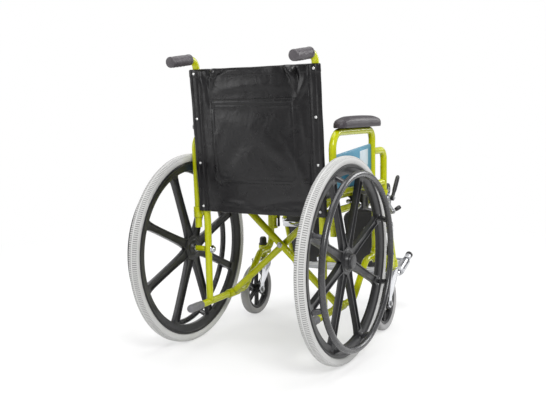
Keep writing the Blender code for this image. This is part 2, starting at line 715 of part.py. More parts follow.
def cross_members():
    """Two crossed members, each one tube with its seat rail above and its pivot sleeve below.

    The front member turns about the left bottom rail and the rear member about the right one.
    """
    run, rise, length = cross_direction()
    centre_z = RAIL_Z + FRAME_X * rise / run
    bolt_y = CROSS_Y - CROSS_SPACING / 2
    bore_r = TUBE_R + RUN_GAP + 0.0004
    sleeve_r = bore_r + SLEEVE_WALL
    centre = Vector((0, bolt_y, centre_z))
    for name, side, y in (("front_cross_member", 1, CROSS_Y - CROSS_SPACING),
                          ("rear_cross_member", -1, CROSS_Y)):
        low = Vector((side * FRAME_X, y, RAIL_Z))
        high = Vector((-side * SEAT_RAIL_X, y, SEAT_RAIL_Z))
        along = (high - low).normalized()
        half = Vector((0, SLEEVE_LENGTH / 2, 0))
        diagonal = rod("diagonal", low + along * (sleeve_r * 0.9), high, TUBE_R)
        rail = rod("rail", (high.x, SEAT_RAIL_FRONT_Y, high.z), (high.x, SEAT_RAIL_REAR_Y, high.z), TUBE_R)
        sleeve = rod("sleeve", low - half, low + half, sleeve_r, ROUND_SIDES)
        member = weld(diagonal, rail, sleeve)
        bore = rod("bore", low - half * 2, low + half * 2, bore_r, ROUND_SIDES)
        reach = Vector((0, TUBE_R * 2, 0))
        middle = Vector((0, y, centre_z))
        bolt_hole = rod("hole", middle - reach, middle + reach, PIVOT_BOLT_R + RUN_GAP, TUBE_SIDES)
        finish(cut(member, bore, bolt_hole), name, "enamel", low if side > 0 else centre)
    cross_bolt(centre)


def cross_bolt(centre):
    """The bolt through both members, with its head, nut and the washer that spaces them."""
    back = centre.y + CROSS_SPACING / 2 + TUBE_R + TOUCH_GAP
    front = centre.y - CROSS_SPACING / 2 - TUBE_R - TOUCH_GAP
    washer = CROSS_SPACING / 2 - TUBE_R - TOUCH_GAP
    r = PIVOT_BOLT_R
    head = PIVOT_HEAD_R
    bolt = lathe("bolt", [(0, front - PIVOT_HEAD_T), (head, front - PIVOT_HEAD_T), (head, front), (r, front),
                          (r, centre.y - washer), (head, centre.y - washer), (head, centre.y + washer),
                          (r, centre.y + washer), (r, back), (head, back), (head, back + PIVOT_HEAD_T * 0.6),
                          (head * 0.5, back + PIVOT_HEAD_T), (0, back + PIVOT_HEAD_T)],
                 (0, 0, centre.z), (0, 1, 0), TUBE_SIDES)
    finish(bolt, "cross_bolt", "steel", centre)


def seat_saddles():
    """A black cradle on each upper side rail, open upward for the folding seat rail, with its stay."""
    inner = TUBE_R + 0.0012
    wall = SADDLE_WALL
    bottom = UPPER_RAIL_Z - TUBE_R - 0.006
    seat_z = SEAT_RAIL_Z
    outer_x = FRAME_X + TUBE_R + wall
    lip_z = seat_z + 0.002
    outline = [(outer_x, bottom), (outer_x, lip_z - 0.008), (outer_x - 0.010, lip_z),
               (SEAT_RAIL_X + inner, lip_z)]
    steps = 6
    for k in range(steps + 1):
        a = -pi * k / steps
        outline.append((SEAT_RAIL_X + inner * cos(a), seat_z + inner * sin(a)))
    outline += [(SEAT_RAIL_X - inner, lip_z), (SEAT_RAIL_X - inner - 0.003, lip_z),
                (SEAT_RAIL_X - inner - 0.005, seat_z - 0.010),
                (SEAT_RAIL_X - 0.004, seat_z - inner - SADDLE_LIP),
                (FRAME_X - TUBE_R - wall, bottom + 0.010), (FRAME_X - TUBE_R - wall + 0.004, bottom)]
    saddle = prism("saddle", outline, (0, SADDLE_Y, 0), (1, 0, 0), (0, 0, 1), SADDLE_W)
    bore = rod("bore", (FRAME_X, SADDLE_Y - SADDLE_W, UPPER_RAIL_Z),
               (FRAME_X, SADDLE_Y + SADDLE_W, UPPER_RAIL_Z), TUBE_R + TOUCH_GAP)
    foot = Vector((FRAME_X, SADDLE_Y + SADDLE_W / 2 + 0.006, UPPER_RAIL_Z))
    turn = Vector((0, 0.008, 0))
    clip = rod("clip", foot - turn, foot + turn, TUBE_R + 0.0035, ROUND_SIDES)
    low = foot + Vector((-TUBE_R - 0.001, 0, -TUBE_R * 0.8))
    high = Vector((FRAME_X - STAY_REACH, foot.y, UPPER_RAIL_Z + 0.010))
    bar = rod("bar", low, high, STAY_R, PIN_SIDES)
    eye = rod("eye", high - Vector((0, 0.005, 0)), high + Vector((0, 0.005, 0)), STAY_R + 0.003, TUBE_SIDES)
    pair(cut(weld(saddle, clip, bar, eye), bore), "seat_saddle", "black_plastic")


def stations(values, extra):
    return sorted(set(round(v, 6) for v in list(values) + list(extra)))


def back_sling():
    """The backrest vinyl: a sleeve round the rear of each cane, a shallow sag and a sewn pocket."""
    wrap_steps = 3
    wrap = radians(105)
    r = (TUBE_R + TOUCH_GAP) / cos(wrap / (2 * wrap_steps))
    heights = stations([BACK_BOTTOM_Z + (BACK_TOP_Z - BACK_BOTTOM_Z) * k / 8 for k in range(9)],
                       [POCKET_TOP_Z, POCKET_TOP_Z - 0.006, POCKET_BOTTOM_Z, POCKET_BOTTOM_Z + 0.006])
    half = POCKET_HALF_W
    spans = [-FRAME_X, -BACK_SEAM_X, -half - 0.006, -half, POCKET_COLUMN - half,
             2 * POCKET_COLUMN - half, 0.0]
    spans = spans + [-v for v in spans[-2::-1]]

    def section(z):
        """Inner line and its outward normals, from the right cane round to the left one."""
        points = []
        t = (z - BACK_BOTTOM_Z) / (BACK_TOP_Z - BACK_BOTTOM_Z)
        edge_dip = 0.010 * (t ** 6)
        y0 = cane_y(z)
        for k in range(wrap_steps):
            a = -wrap * (1 - k / wrap_steps)
            normal = Vector((sin(a), cos(a), 0))
            points.append((Vector((-FRAME_X, y0, z)) + normal * r, normal, 0.0))
        for x in spans:
            u = x / FRAME_X
            sag = BACK_SAG * (1 - u * u) * (0.55 + 0.45 * sin(pi * min(1.0, 0.25 + t * 0.9)))
            drop = edge_dip * (1 - abs(u)) * 1.0 if t > 0.9 else 0.0
            slope = 2 * BACK_SAG * u / FRAME_X
            normal = Vector((slope * 0.8, 1, 0)).normalized()
            inside = abs(x) <= half + 1e-6 and POCKET_BOTTOM_Z - 1e-6 <= z - 0.0 <= POCKET_TOP_Z - 0.0059
            inside = inside and POCKET_BOTTOM_Z + 0.0059 <= z
            points.append((Vector((x, y0 + r + sag, z - drop)), normal, POCKET_RISE if inside else 0.0))
        for k in range(1, wrap_steps + 1):
            a = wrap * k / wrap_steps
            normal = Vector((sin(a), cos(a), 0))
            points.append((Vector((FRAME_X, y0, z)) + normal * r, normal, 0.0))
        return points

    finish(sheet_solid("back_sling", [section(z) for z in heights], SLING_T), "back_sling", "vinyl", sharp=50)


def sheet_solid(name, rows, thickness):
    """A closed sheet from rows of (point, outward normal, extra thickness)."""
    count = len(rows[0])
    verts = [p for row in rows for p, n, rise in row]
    offset = len(verts)
    verts += [p + n * (thickness + rise) for row in rows for p, n, rise in row]
    faces = []
    for i in range(len(rows) - 1):
        for k in range(count - 1):
            a, b = i * count + k, (i + 1) * count + k
            faces.append((a, b, b + 1, a + 1))
            faces.append((offset + a, offset + a + 1, offset + b + 1, offset + b))
        a, b = i * count, (i + 1) * count
        faces.append((a, offset + a, offset + b, b))
        a, b = a + count - 1, b + count - 1
        faces.append((a, b, offset + b, offset + a))
    last = (len(rows) - 1) * count
    for k in range(count - 1):
        faces.append((k, k + 1, offset + k + 1, offset + k))
        faces.append((last + k, offset + last + k, offset + last + k + 1, last + k + 1))
    return mesh_object(name, verts, faces)


def seat_sling():
    """The seat vinyl: screwed down along both seat rails, sagging between them, its front hem turned down."""
    lift = TUBE_R + TOUCH_GAP
    front = SEAT_RAIL_FRONT_Y - 0.010
    rear = SEAT_RAIL_REAR_Y + 0.004
    columns = 12
    reach = SEAT_HALF_W - SEAT_RAIL_X
    spans = [SEAT_RAIL_X * (-1 + 2 * k / columns) for k in range(columns + 1)]
    edge = [SEAT_RAIL_X + reach * t for t in (0.45, 0.8, 1.0)]
    spans = [-x for x in reversed(edge)] + spans + edge

    def height(x, t):
        """Height of the sheet's underside, t running from 0 at the front to 1 at the rear."""
        if abs(x) > SEAT_RAIL_X:
            return SEAT_RAIL_Z + lift - SEAT_EDGE_DROP * ((abs(x) - SEAT_RAIL_X) / reach) ** 2
        u = x / SEAT_RAIL_X
        sag = SEAT_SAG * (1 - u * u) * (0.55 + 0.45 * sin(pi * (0.1 + 0.8 * t)))
        fold = SEAT_FOLD * sin(9.0 * u + 4.0 * t) * (1 - u * u)
        return SEAT_RAIL_Z + lift - sag + fold

    rows = []
    down = Vector((0, -1, 0))
    for drop in (SEAT_HEM, SEAT_HEM * 0.45):
        rows.append([(Vector((x, front - 0.002, height(x, 0) - drop)), down, 0.0) for x in spans])
    for t in (0.0, 0.10, 0.26, 0.44, 0.62, 0.80, 1.0):
        y = front + (rear - front) * t
        row = []
        for x in spans:
            slope = (height(x + 0.001, t) - height(x - 0.001, t)) / 0.002
            lean = Vector((-slope, -0.7 if t == 0 else 0.0, 1)).normalized()
            row.append((Vector((x, y, height(x, t))), lean, 0.0))
        rows.append(row)
    finish(sheet_solid("seat_sling", rows, SEAT_T), "seat_sling", "vinyl", sharp=50)


def armrests():
    x = ARM_X
    foot_z = ARM_FOOT_Z
    outer = round_path(
        [(x, REAR_POST_Y, foot_z), (x, REAR_POST_Y, ARM_TOP_Z), (x, ARM_MID_Y, ARM_TOP_Z),
         (x, ARM_MID_Y, ARM_RAIL_Z)], [ARM_REAR_BEND_R, ARM_BEND_R])
    arm = sweep("armrest", outer, TUBE_R)
    desk = round_path([(x, ARM_MID_Y, ARM_STEP_Z), (x, ARM_FRONT_Y, ARM_STEP_Z),
                       (x, ARM_FRONT_Y, FRONT_FOOT_Z)], [ARM_BEND_R])
    low = rod("low", (x, REAR_POST_Y, ARM_RAIL_Z), (x, ARM_FRONT_Y, ARM_RAIL_Z), TUBE_R * 0.9)
    arm = weld(arm, sweep("desk", desk, TUBE_R), low)
    pair(arm, "armrest_frame", "enamel")
    arm_pads()
    g = TOUCH_GAP
    rear_y = REAR_POST_Y - TUBE_R - g
    mid_y = ARM_MID_Y + TUBE_R + g
    base_z = ARM_RAIL_Z + TUBE_R * 0.9 + g
    outline = [(rear_y, base_z), (rear_y, PANEL_TOP_REAR_Z - 0.008), (rear_y - 0.008, PANEL_TOP_REAR_Z),
               (mid_y + 0.008, PANEL_TOP_FRONT_Z), (mid_y, PANEL_TOP_FRONT_Z - 0.008), (mid_y, base_z)]
    pair(prism("panel", outline, (x, 0, 0), (0, 1, 0), (0, 0, 1), PANEL_T), "side_panel", "panel")


def arm_pads():
    """A moulded pad with a crowned top, rounded ends and a flat base on the armrest tube."""
    base = ARM_TOP_Z + TUBE_R + TOUCH_GAP
    stations_along = [(0.0, 0.34, 0.40), (0.006, 0.66, 0.66), (0.020, 0.90, 0.82), (0.055, 1.0, 0.96),
                      (0.15, 1.0, 1.0), (PAD_LENGTH - 0.055, 0.98, 0.94), (PAD_LENGTH - 0.020, 0.88, 0.76),
                      (PAD_LENGTH - 0.006, 0.66, 0.56), (PAD_LENGTH, 0.34, 0.36)]
    arc = 8
    verts, faces = [], []
    for along, wide, tall in stations_along:
        half = PAD_WIDTH / 2 * wide
        top = PAD_HEIGHT * tall
        row = [(-half * 0.82, 0.0), (half * 0.82, 0.0)]
        for k in range(arc + 1):
            a = pi * k / arc
            row.append((half * cos(a), top * (0.30 + 0.70 * sin(a) ** 0.7)))
        for dx, dz in row:
            verts.append((ARM_X + 0.004 + dx, PAD_FRONT_Y + along, base + dz))
    n = arc + 3
    for i in range(len(stations_along) - 1):
        for k in range(n):
            m = (k + 1) % n
            faces.append((i * n + k, i * n + m, (i + 1) * n + m, (i + 1) * n + k))
    faces.append(tuple(range(n)))
    faces.append(tuple(range((len(stations_along) - 1) * n, len(stations_along) * n)))
    pair(mesh_object("arm_pad", verts, faces), "arm_pad", "black_plastic", sharp=60)


def wheel_locks():
    """Push-pull lock: a plate clamped to the upper rail, a hand lever and a shoe bar before the tyre."""
    plate_x = LOCK_LEVER_X - 0.016
    lever_pivot = Vector((LOCK_LEVER_X, LOCK_PIVOT_Y, LOCK_PIVOT_Z))
    shoe_pivot = Vector((LOCK_LEVER_X, LOCK_PIVOT_Y - 0.004, SHOE_PIVOT_Z))
    pin_r = 0.0035
    half = LOCK_CLAMP_W / 2
    clamp = rod("clamp", (FRAME_X, LOCK_Y - half, UPPER_RAIL_Z), (FRAME_X, LOCK_Y + half, UPPER_RAIL_Z),
                TUBE_R + 0.004, ROUND_SIDES)
    arm = box("arm", (FRAME_X + TUBE_R * 0.6, LOCK_Y - 0.007, UPPER_RAIL_Z - 0.0065),
              (plate_x + 0.0015, LOCK_Y + 0.007, UPPER_RAIL_Z + 0.0065))
    outline = [(LOCK_Y - 0.008, SHOE_PIVOT_Z - 0.006), (shoe_pivot.y + 0.010, SHOE_PIVOT_Z - 0.010),
               (shoe_pivot.y + 0.016, SHOE_PIVOT_Z + 0.004), (lever_pivot.y + 0.012, LOCK_PIVOT_Z - 0.006),
               (lever_pivot.y + 0.008, LOCK_PIVOT_Z + 0.010), (lever_pivot.y - 0.010, LOCK_PIVOT_Z + 0.010),
               (LOCK_Y - 0.012, UPPER_RAIL_Z + 0.009)]
    plate = prism("plate", outline, (plate_x, 0, 0), (0, 1, 0), (0, 0, 1), LOCK_PLATE_T)
    pins = [rod("pin", (plate_x, p.y, p.z), (LOCK_LEVER_X + 0.006, p.y, p.z), pin_r, PIN_SIDES)
            for p in (lever_pivot, shoe_pivot)]
    bore = rod("bore", (FRAME_X, LOCK_Y - 0.05, UPPER_RAIL_Z), (FRAME_X, LOCK_Y + 0.05, UPPER_RAIL_Z),
               TUBE_R + TOUCH_GAP)
    pair(cut(weld(clamp, arm, plate, *pins), bore), "lock_base", "chrome")
    across = Vector((1, 0, 0))
    eye_r = pin_r + RUN_GAP
    up = Vector((0, -sin(LOCK_LEAN), cos(LOCK_LEAN)))
    tip = lever_pivot + up * LOCK_LEVER_L
    grip = sweep("lever", [lever_pivot + up * 0.022, lever_pivot + up * 0.028, tip - up * 0.008, tip],
                 [LOCK_GRIP_R * 0.8, LOCK_GRIP_R, LOCK_GRIP_R, LOCK_GRIP_R * 0.6])
    hub = rod("hub", lever_pivot - across * 0.005, lever_pivot + across * 0.005, 0.009, PIN_SIDES)
    strap = prism("strap", [(-0.006, 0.0), (0.006, 0.0), (0.0055, 0.030), (-0.0055, 0.030)], lever_pivot,
                  (0, cos(LOCK_LEAN), sin(LOCK_LEAN)), up, 0.008)
    hole = rod("hole", lever_pivot - across * 0.02, lever_pivot + across * 0.02, eye_r, PIN_SIDES)
    pair(cut(weld(grip, strap, hub), hole), "lock_lever", "black_plastic", lever_pivot)
    bar_z = LOCK_PIVOT_Z - 0.016
    tyre_y = WHEEL_Y - sqrt(WHEEL_R ** 2 - (bar_z - WHEEL_R) ** 2)
    bar = Vector((0, tyre_y - SHOE_R - SHOE_CLEAR, bar_z))
    shoe_bar = rod("bar", (WHEEL_X - TYRE_W / 2, bar.y, bar.z), (LOCK_LEVER_X + 0.005, bar.y, bar.z),
                   SHOE_R, PIN_SIDES)
    to_bar = Vector((0, bar.y - shoe_pivot.y, bar.z - shoe_pivot.z))
    length = to_bar.length
    along = to_bar.normalized()
    link = prism("link", [(-0.006, 0.0), (0.006, 0.0), (0.005, length), (-0.005, length)], shoe_pivot,
                 (0, along.z, -along.y), along, 0.007)
    boss = rod("boss", shoe_pivot - across * 0.005, shoe_pivot + across * 0.005, 0.0085, PIN_SIDES)
    hole = rod("hole", shoe_pivot - across * 0.02, shoe_pivot + across * 0.02, eye_r, PIN_SIDES)
    pair(cut(weld(shoe_bar, link, boss), hole), "lock_shoe", "steel", shoe_pivot)


def hangers():
    """The swing-away hanger: a tube in the frame's two lugs, bent forward to the knee joint."""
    x = LEG_X
    path = round_path([(x, HANGER_Y, HANGER_FOOT_Z), (x, HANGER_Y, KNEE_Z),
                       (x, KNEE_Y + 0.018, KNEE_Z + 0.002)], [0.022])
    tube = sweep("hanger", path, TUBE_R)
    release = Vector((x, HANGER_Y, RELEASE_Z))
    latch = Vector((x, HANGER_Y, LATCH_Z))
    out = RELEASE_SIDE
    inward = Vector((-1, 0, 0))
    tube = weld(tube, rod("boss", release, release + out * (TUBE_R + 0.006), 0.0075, PIN_SIDES),
                rod("boss", latch, latch + inward * (TUBE_R + 0.006), 0.0065, PIN_SIDES),
                rod("pin", release, release + out * (TUBE_R + 0.014), LATCH_AXLE_R, PIN_SIDES),
                rod("pin", latch, latch + inward * (TUBE_R + 0.013), LATCH_AXLE_R, PIN_SIDES))
    socket = rod("socket", (x, HANGER_Y, HANGER_FOOT_Z - 0.01), (x, HANGER_Y, HANGER_FOOT_Z + 0.020),
                 0.0060 + RUN_GAP)
    hanger = cut(tube, socket)
    axis = (x, HANGER_Y, HANGER_FOOT_Z)
    pair(hanger, "hanger", "enamel", axis)
    cheek_x = LEG_R + KNEE_GAP
    cheeks = []
    outline = [(KNEE_CHEEK_R * cos(radians(a)), KNEE_CHEEK_R * sin(radians(a))) for a in range(-140, 141, 40)]
    outline += [(-0.034, 0.012), (-0.040, 0.004), (-0.040, -0.020), (-0.028, -0.026)]
    for side in (-1, 1):
        cx = x + side * (cheek_x + KNEE_CHEEK_T / 2)
        cheeks.append(prism("cheek", outline, (cx, KNEE_Y, KNEE_Z), (0, -1, 0), (0, 0, 1), KNEE_CHEEK_T))
    pin = rod("pin", (x - cheek_x - KNEE_CHEEK_T - 0.003, KNEE_Y, KNEE_Z),
              (x + cheek_x + KNEE_CHEEK_T + 0.003, KNEE_Y, KNEE_Z), KNEE_PIN_R, PIN_SIDES)
    hood = prism("hood", [(-0.034, 0.0125), (-0.006, 0.0125), (-0.006, 0.0165), (-0.034, 0.0165)],
                 (x, KNEE_Y, KNEE_Z), (0, -1, 0), (0, 0, 1), 2 * cheek_x + KNEE_CHEEK_T)
    knee = weld(cheeks[0], cheeks[1], pin, hood)
    clear = sweep("clear", path, TUBE_R + TOUCH_GAP)
    pair(cut(knee, clear), "knee_bracket", "black_plastic")
    swing_levers(release + out * (TUBE_R + 0.010), latch + inward * (TUBE_R + 0.0095))


# The release lever stands on the outer front corner of the hanger, so that it clears the post
RELEASE_SIDE = Vector((1, -1, 0)).normalized()


def swing_levers(release, latch):
    """The leg release lever, rising outward, and the tongue of the swing-away latch."""
    side = RELEASE_SIDE
    eye_r = LATCH_AXLE_R + RUN_GAP
    hub = rod("hub", release - side * 0.0035, release + side * 0.0035, 0.0075, PIN_SIDES)
    rise = Vector((0.70, -0.50, 0.51)).normalized()
    arm = sweep("arm", [release, release + rise * 0.020, release + rise * 0.074, release + rise * 0.078],
                [0.0036, 0.0046, 0.0052, 0.0030], PIN_SIDES)
    eye = rod("eye", release - side * 0.010, release + side * 0.010, eye_r, PIN_SIDES)
    pair(cut(weld(hub, arm), eye), "leg_release", "black_plastic", release)
    across = Vector((1, 0, 0))
    hub = rod("hub", latch - across * 0.003, latch + across * 0.003, 0.0070, PIN_SIDES)
    tongue = prism("tongue", [(-0.005, 0.0), (0.005, 0.0), (0.0065, -0.030), (0.004, -0.036),
                              (-0.004, -0.036), (-0.0065, -0.030)], latch, (0, 1, 0), (0, 0, 1), 0.0045)
    eye = rod("eye", latch - across * 0.010, latch + across * 0.010, eye_r, PIN_SIDES)
    pair(cut(weld(hub, tongue), eye), "hanger_latch", "black_plastic", latch)


def legs():
    """The elevating leg tube and the chrome extension that slides in it and turns to the foot."""
    q_bore = LEG_LENGTH - EXT_INSERT - 0.020
    profile = [(0, -q_bore), (LEG_BORE_R, -q_bore), (LEG_BORE_R, -LEG_LENGTH), (LEG_R, -LEG_LENGTH),
               (LEG_R, 0.004), (LEG_R * 0.8, 0.009), (LEG_R * 0.4, 0.011), (0, 0.011)]
    tube = lathe("leg", profile, KNEE, -LEG_DOWN, 12)
    hole = rod("hole", KNEE - Vector((0.02, 0, 0)), KNEE + Vector((0.02, 0, 0)), KNEE_PIN_R + RUN_GAP)
    pair(cut(tube, hole), "leg_tube", "enamel", KNEE)
    elbow = leg_point(ELBOW_Q, 0)
    path = round_path([leg_point(LEG_LENGTH - EXT_INSERT, 0), elbow, leg_point(ELBOW_Q, FOOT_REACH)],
                      [EXT_BEND_R], 5)
    plug_s = FOOT_REACH - 0.004
    plug = rod("plug", leg_point(ELBOW_Q, plug_s), leg_point(ELBOW_Q, plug_s + FOOT_PLUG_T),
               FOOT_PLUG_R, ROUND_SIDES)
    pair(weld(sweep("extension", path, EXT_R), plug), "leg_extension", "chrome", elbow)


def footplates():
    """A dished footplate hung below two barrels that turn on the extension's forward run."""
    barrel_l = 0.024
    near_s = FOOT_REACH - 0.0045 - FOOTPLATE_D
    outer_x = LEG_X + FOOTPLATE_OUTER
    width = outer_x - FOOTPLATE_INNER_X
    mid_s = near_s + FOOTPLATE_D / 2
    mid_x = (outer_x + FOOTPLATE_INNER_X) / 2
    u = Vector((-1, 0, 0))
    q_plate = ELBOW_Q + FOOTPLATE_DROP
    plate = prism("plate", rounded_rect(width, FOOTPLATE_D, 0.022, 3), leg_point(q_plate, mid_s, mid_x), u,
                  LEG_AHEAD, FOOTPLATE_T)
    clear = FOOT_BARREL_R + 0.012
    tray_w = width - FOOTPLATE_OUTER - clear - 0.008
    tray_x = FOOTPLATE_INNER_X + 0.008 + tray_w / 2
    tray = prism("tray", rounded_rect(tray_w, FOOTPLATE_D - 0.016, 0.016, 3),
                 leg_point(q_plate - FOOTPLATE_T + FOOTPLATE_TRAY, mid_s, tray_x), u, LEG_AHEAD, FOOTPLATE_T)
    barrels = []
    for a in (near_s + 0.002, near_s + FOOTPLATE_D - barrel_l - 0.002):
        barrels.append(rod("barrel", leg_point(ELBOW_Q, a), leg_point(ELBOW_Q, a + barrel_l),
                           FOOT_BARREL_R, ROUND_SIDES))
    plate = weld(cut(plate, tray), *barrels)
    bore = rod("bore", leg_point(ELBOW_Q, near_s - 0.01), leg_point(ELBOW_Q, FOOT_REACH + 0.02),
               EXT_R + RUN_GAP + 0.0003, ROUND_SIDES)
    pair(cut(plate, bore), "footplate", "chrome", leg_point(ELBOW_Q, 0))


def calf_pads():
    """An arched calf pad with a crowned face on a bracket that turns about the leg tube."""
    outer_x = LEG_X - LEG_R - CALF_CLEAR_X + 0.008
    centre_x = outer_x - CALF_W / 2
    mid_q = CALF_TOP_Q + CALF_L / 2
    steps = 12
    outline = []
    for end in (1, -1):
        for k in range(steps + 1):
            a = pi * k / steps
            outline.append((end * CALF_W / 2 * cos(a), end * (CALF_L / 2 - CALF_END + CALF_END * sin(a))))
    layers = [(0.0, 0.91), (0.16, 1.0), (0.60, 0.985), (0.84, 0.92), (0.97, 0.76), (1.0, 0.50)]
    verts, faces = [], []
    for depth, size in layers:
        for px, pq in outline:
            verts.append(leg_point(mid_q + pq * (1 - (1 - size) * 0.6), CALF_BACK_S + CALF_T * depth,
                                   centre_x + px * size))
    verts.append(leg_point(mid_q, CALF_BACK_S + CALF_T * 1.03, centre_x))
    n = len(outline)
    for i in range(len(layers) - 1):
        for k in range(n):
            m = (k + 1) % n
            faces.append((i * n + k, i * n + m, (i + 1) * n + m, (i + 1) * n + k))
    faces.append(tuple(range(n)))
    top = (len(layers) - 1) * n
    for k in range(n):
        faces.append((top + k, top + (k + 1) % n, len(verts) - 1))
    pivot = leg_point(CALF_ARM_Q, 0)
    pair(mesh_object("calf_pad", verts, faces), "calf_pad", "calf_vinyl", pivot, sharp=60)
    bore_r = LEG_R + RUN_GAP + 0.0002
    half = CALF_ARM_W / 2
    sleeve = rod("sleeve", leg_point(CALF_ARM_Q - 0.017, 0), leg_point(CALF_ARM_Q + 0.017, 0),
                 bore_r + 0.0035, ROUND_SIDES)
    back_s = CALF_BACK_S - TOUCH_GAP - CALF_ARM_T / 2
    reach = centre_x - LEG_X
    bar = prism("bar", [(0.004, -half), (reach + 0.012, -half), (reach, 0.0), (reach + 0.012, half),
                        (0.004, half)], leg_point(CALF_ARM_Q, back_s), (1, 0, 0), LEG_DOWN, CALF_ARM_T)
    tall = half * 0.8
    neck = prism("neck", [(-0.003, -tall), (0.003, -tall), (0.003, tall), (-0.003, tall)],
                 leg_point(CALF_ARM_Q, back_s / 2), (1, 0, 0), LEG_DOWN, abs(back_s))
    bore = rod("bore", leg_point(CALF_ARM_Q - 0.05, 0), leg_point(CALF_ARM_Q + 0.05, 0), bore_r, ROUND_SIDES)
    pair(cut(weld(sleeve, bar, neck), bore), "calf_bracket", "chrome", pivot)


def centre_on_floor():
    """Parents every piece to one empty that puts the origin under the middle of the chair's box."""
    bpy.context.view_layer.update()
    ys = []
    for obj in NODES.values():
        ys += [(obj.matrix_world @ v.co).y for v in obj.data.vertices]
    chair = bpy.data.objects.new("wheelchair", None)
    bpy.context.scene.collection.objects.link(chair)
    chair.location = (0, -(min(ys) + max(ys)) / 2, 0)
    for obj in NODES.values():
        obj.parent = chair
    bpy.context.view_layer.update()
    print("origin shift in y: %.6f" % chair.location.y)


def main():
    clear_scene()
    side_frame()
    grips_and_plugs()
    rear_wheels()
    casters()
    cross_members()
    seat_saddles()
    back_sling()
    seat_sling()
    armrests()
    wheel_locks()
    hangers()
    legs()
    footplates()
    calf_pads()
    centre_on_floor()


main()
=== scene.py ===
"""Folding steel wheelchair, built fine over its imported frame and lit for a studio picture.

Pieces are built in metres in chair coordinates: +Z up, the chair faces -Y and its left side is +X.
Left-hand pieces are built first and mirrored for the right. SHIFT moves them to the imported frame.
"""

import logging
from dataclasses import dataclass
from enum import Enum
from math import cos, exp, hypot, pi, radians, sin, sqrt, tan
from typing import Iterator, Optional, Sequence

import bmesh
import bpy
from mathutils import Matrix, Vector


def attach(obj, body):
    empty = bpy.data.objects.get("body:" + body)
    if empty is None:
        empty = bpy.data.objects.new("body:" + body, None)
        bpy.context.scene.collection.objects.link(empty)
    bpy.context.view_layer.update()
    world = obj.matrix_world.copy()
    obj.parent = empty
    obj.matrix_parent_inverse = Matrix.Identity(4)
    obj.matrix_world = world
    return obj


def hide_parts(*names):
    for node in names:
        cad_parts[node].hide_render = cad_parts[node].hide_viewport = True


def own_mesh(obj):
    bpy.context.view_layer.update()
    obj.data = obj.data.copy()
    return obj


logging.basicConfig(level=logging.INFO, format="%(message)s")
LOG = logging.getLogger("wheelchair")

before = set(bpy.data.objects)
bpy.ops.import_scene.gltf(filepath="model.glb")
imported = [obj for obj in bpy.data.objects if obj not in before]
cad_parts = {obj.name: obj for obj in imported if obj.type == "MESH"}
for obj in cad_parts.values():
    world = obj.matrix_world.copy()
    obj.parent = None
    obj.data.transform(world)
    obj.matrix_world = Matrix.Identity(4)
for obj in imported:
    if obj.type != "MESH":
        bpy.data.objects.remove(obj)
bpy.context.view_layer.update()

Piece = bpy.types.Object
Socket = bpy.types.NodeSocket
Pairs = Sequence[tuple[float, float]]
OUT, BACK, UP, ORIGIN = Vector((1, 0, 0)), Vector((0, 1, 0)), Vector((0, 0, 1)), Vector((0, 0, 0))
SHIFT = Vector((0.0, 0.235916, 0.0))


@dataclass(frozen=True)
class Layout:
    """Places and sizes that several assemblies share, in metres."""

    frame_x: float = 0.202
    arm_x: float = 0.237
    leg_x: float = 0.206
    caster_x: float = 0.247
    wheel_x: float = 0.270
    seat_rail_x: float = 0.177
    rear_post_y: float = -0.007
    front_post_y: float = -0.415
    arm_front_y: float = -0.403
    hanger_y: float = -0.4425
    tube_r: float = 0.011
    rail_z: float = 0.133
    rail_rear_y: float = 0.040
    step_y: float = -0.335
    rise_y: float = -0.225
    step_z: float = 0.243
    upper_rail_z: float = 0.434
    cane_bend_z: float = 0.390
    cane_lean: float = 0.0835
    cane_top_z: float = 0.897
    handle_end_y: float = 0.160
    handle_drop: float = 0.016
    wheel_r: float = 0.303
    wheel_y: float = -0.012
    tyre_w: float = 0.030
    tyre_h: float = 0.0245
    caster_r: float = 0.092
    caster_stem_y: float = -0.432
    caster_trail: float = 0.056
    seat_rail_z: float = 0.472
    seat_rail_front_y: float = -0.399
    seat_rail_rear_y: float = -0.022
    hanger_foot_z: float = 0.318
    axle_sleeve_r: float = 0.0085
    sleeve_end_x: float = 0.2524
    touch: float = 0.0003
    run: float = 0.0006

    def cane_y(self, z: float) -> float:
        """Centre of the leaning back cane at a height."""
        return self.rear_post_y + max(0.0, z - self.cane_bend_z) * self.cane_lean


LAY = Layout()


class Side(Enum):
    """The two sides of the chair."""

    LEFT = "left"
    RIGHT = "right"

    @property
    def letter(self) -> str:
        """The letter that ends a CAD node's name."""
        return self.value[0]


def mm(*points: tuple[float, float], u: float = 0.0, v: float = 0.0) -> list[tuple[float, float]]:
    """Points in metres of an outline given in millimetres from the corner (u, v)."""
    return [(u + a / 1000, v + b / 1000) for a, b in points]


def swell(distance: float, width: float) -> float:
    """A soft hill of height 1 that has died away at about twice its width."""
    return exp(-(distance / width) ** 2)


def smoothstep(low: float, high: float, value: float) -> float:
    """0 below low, 1 above high, and a smooth rise between them."""
    t = min(1.0, max(0.0, (value - low) / (high - low)))
    return t * t * (3 - 2 * t)


def link(name: str, data: bpy.types.ID) -> Piece:
    """Puts a mesh, lamp or camera into the scene as an object of that name."""
    obj = bpy.data.objects.new(name, data)
    bpy.context.scene.collection.objects.link(obj)
    return obj


def mesh_object(name: str, verts: Sequence, faces: Sequence) -> Piece:
    """Makes a mesh object with outward normals.

    Args:
        name: object name.
        verts: points in metres.
        faces: tuples of point numbers.

    Returns:
        The linked object.
    """
    mesh = bpy.data.meshes.new(name)
    mesh.from_pydata([tuple(v) for v in verts], [], faces)
    bm = bmesh.new()
    bm.from_mesh(mesh)
    bmesh.ops.recalc_face_normals(bm, faces=bm.faces)
    bm.to_mesh(mesh)
    bm.free()
    return link(name, mesh)


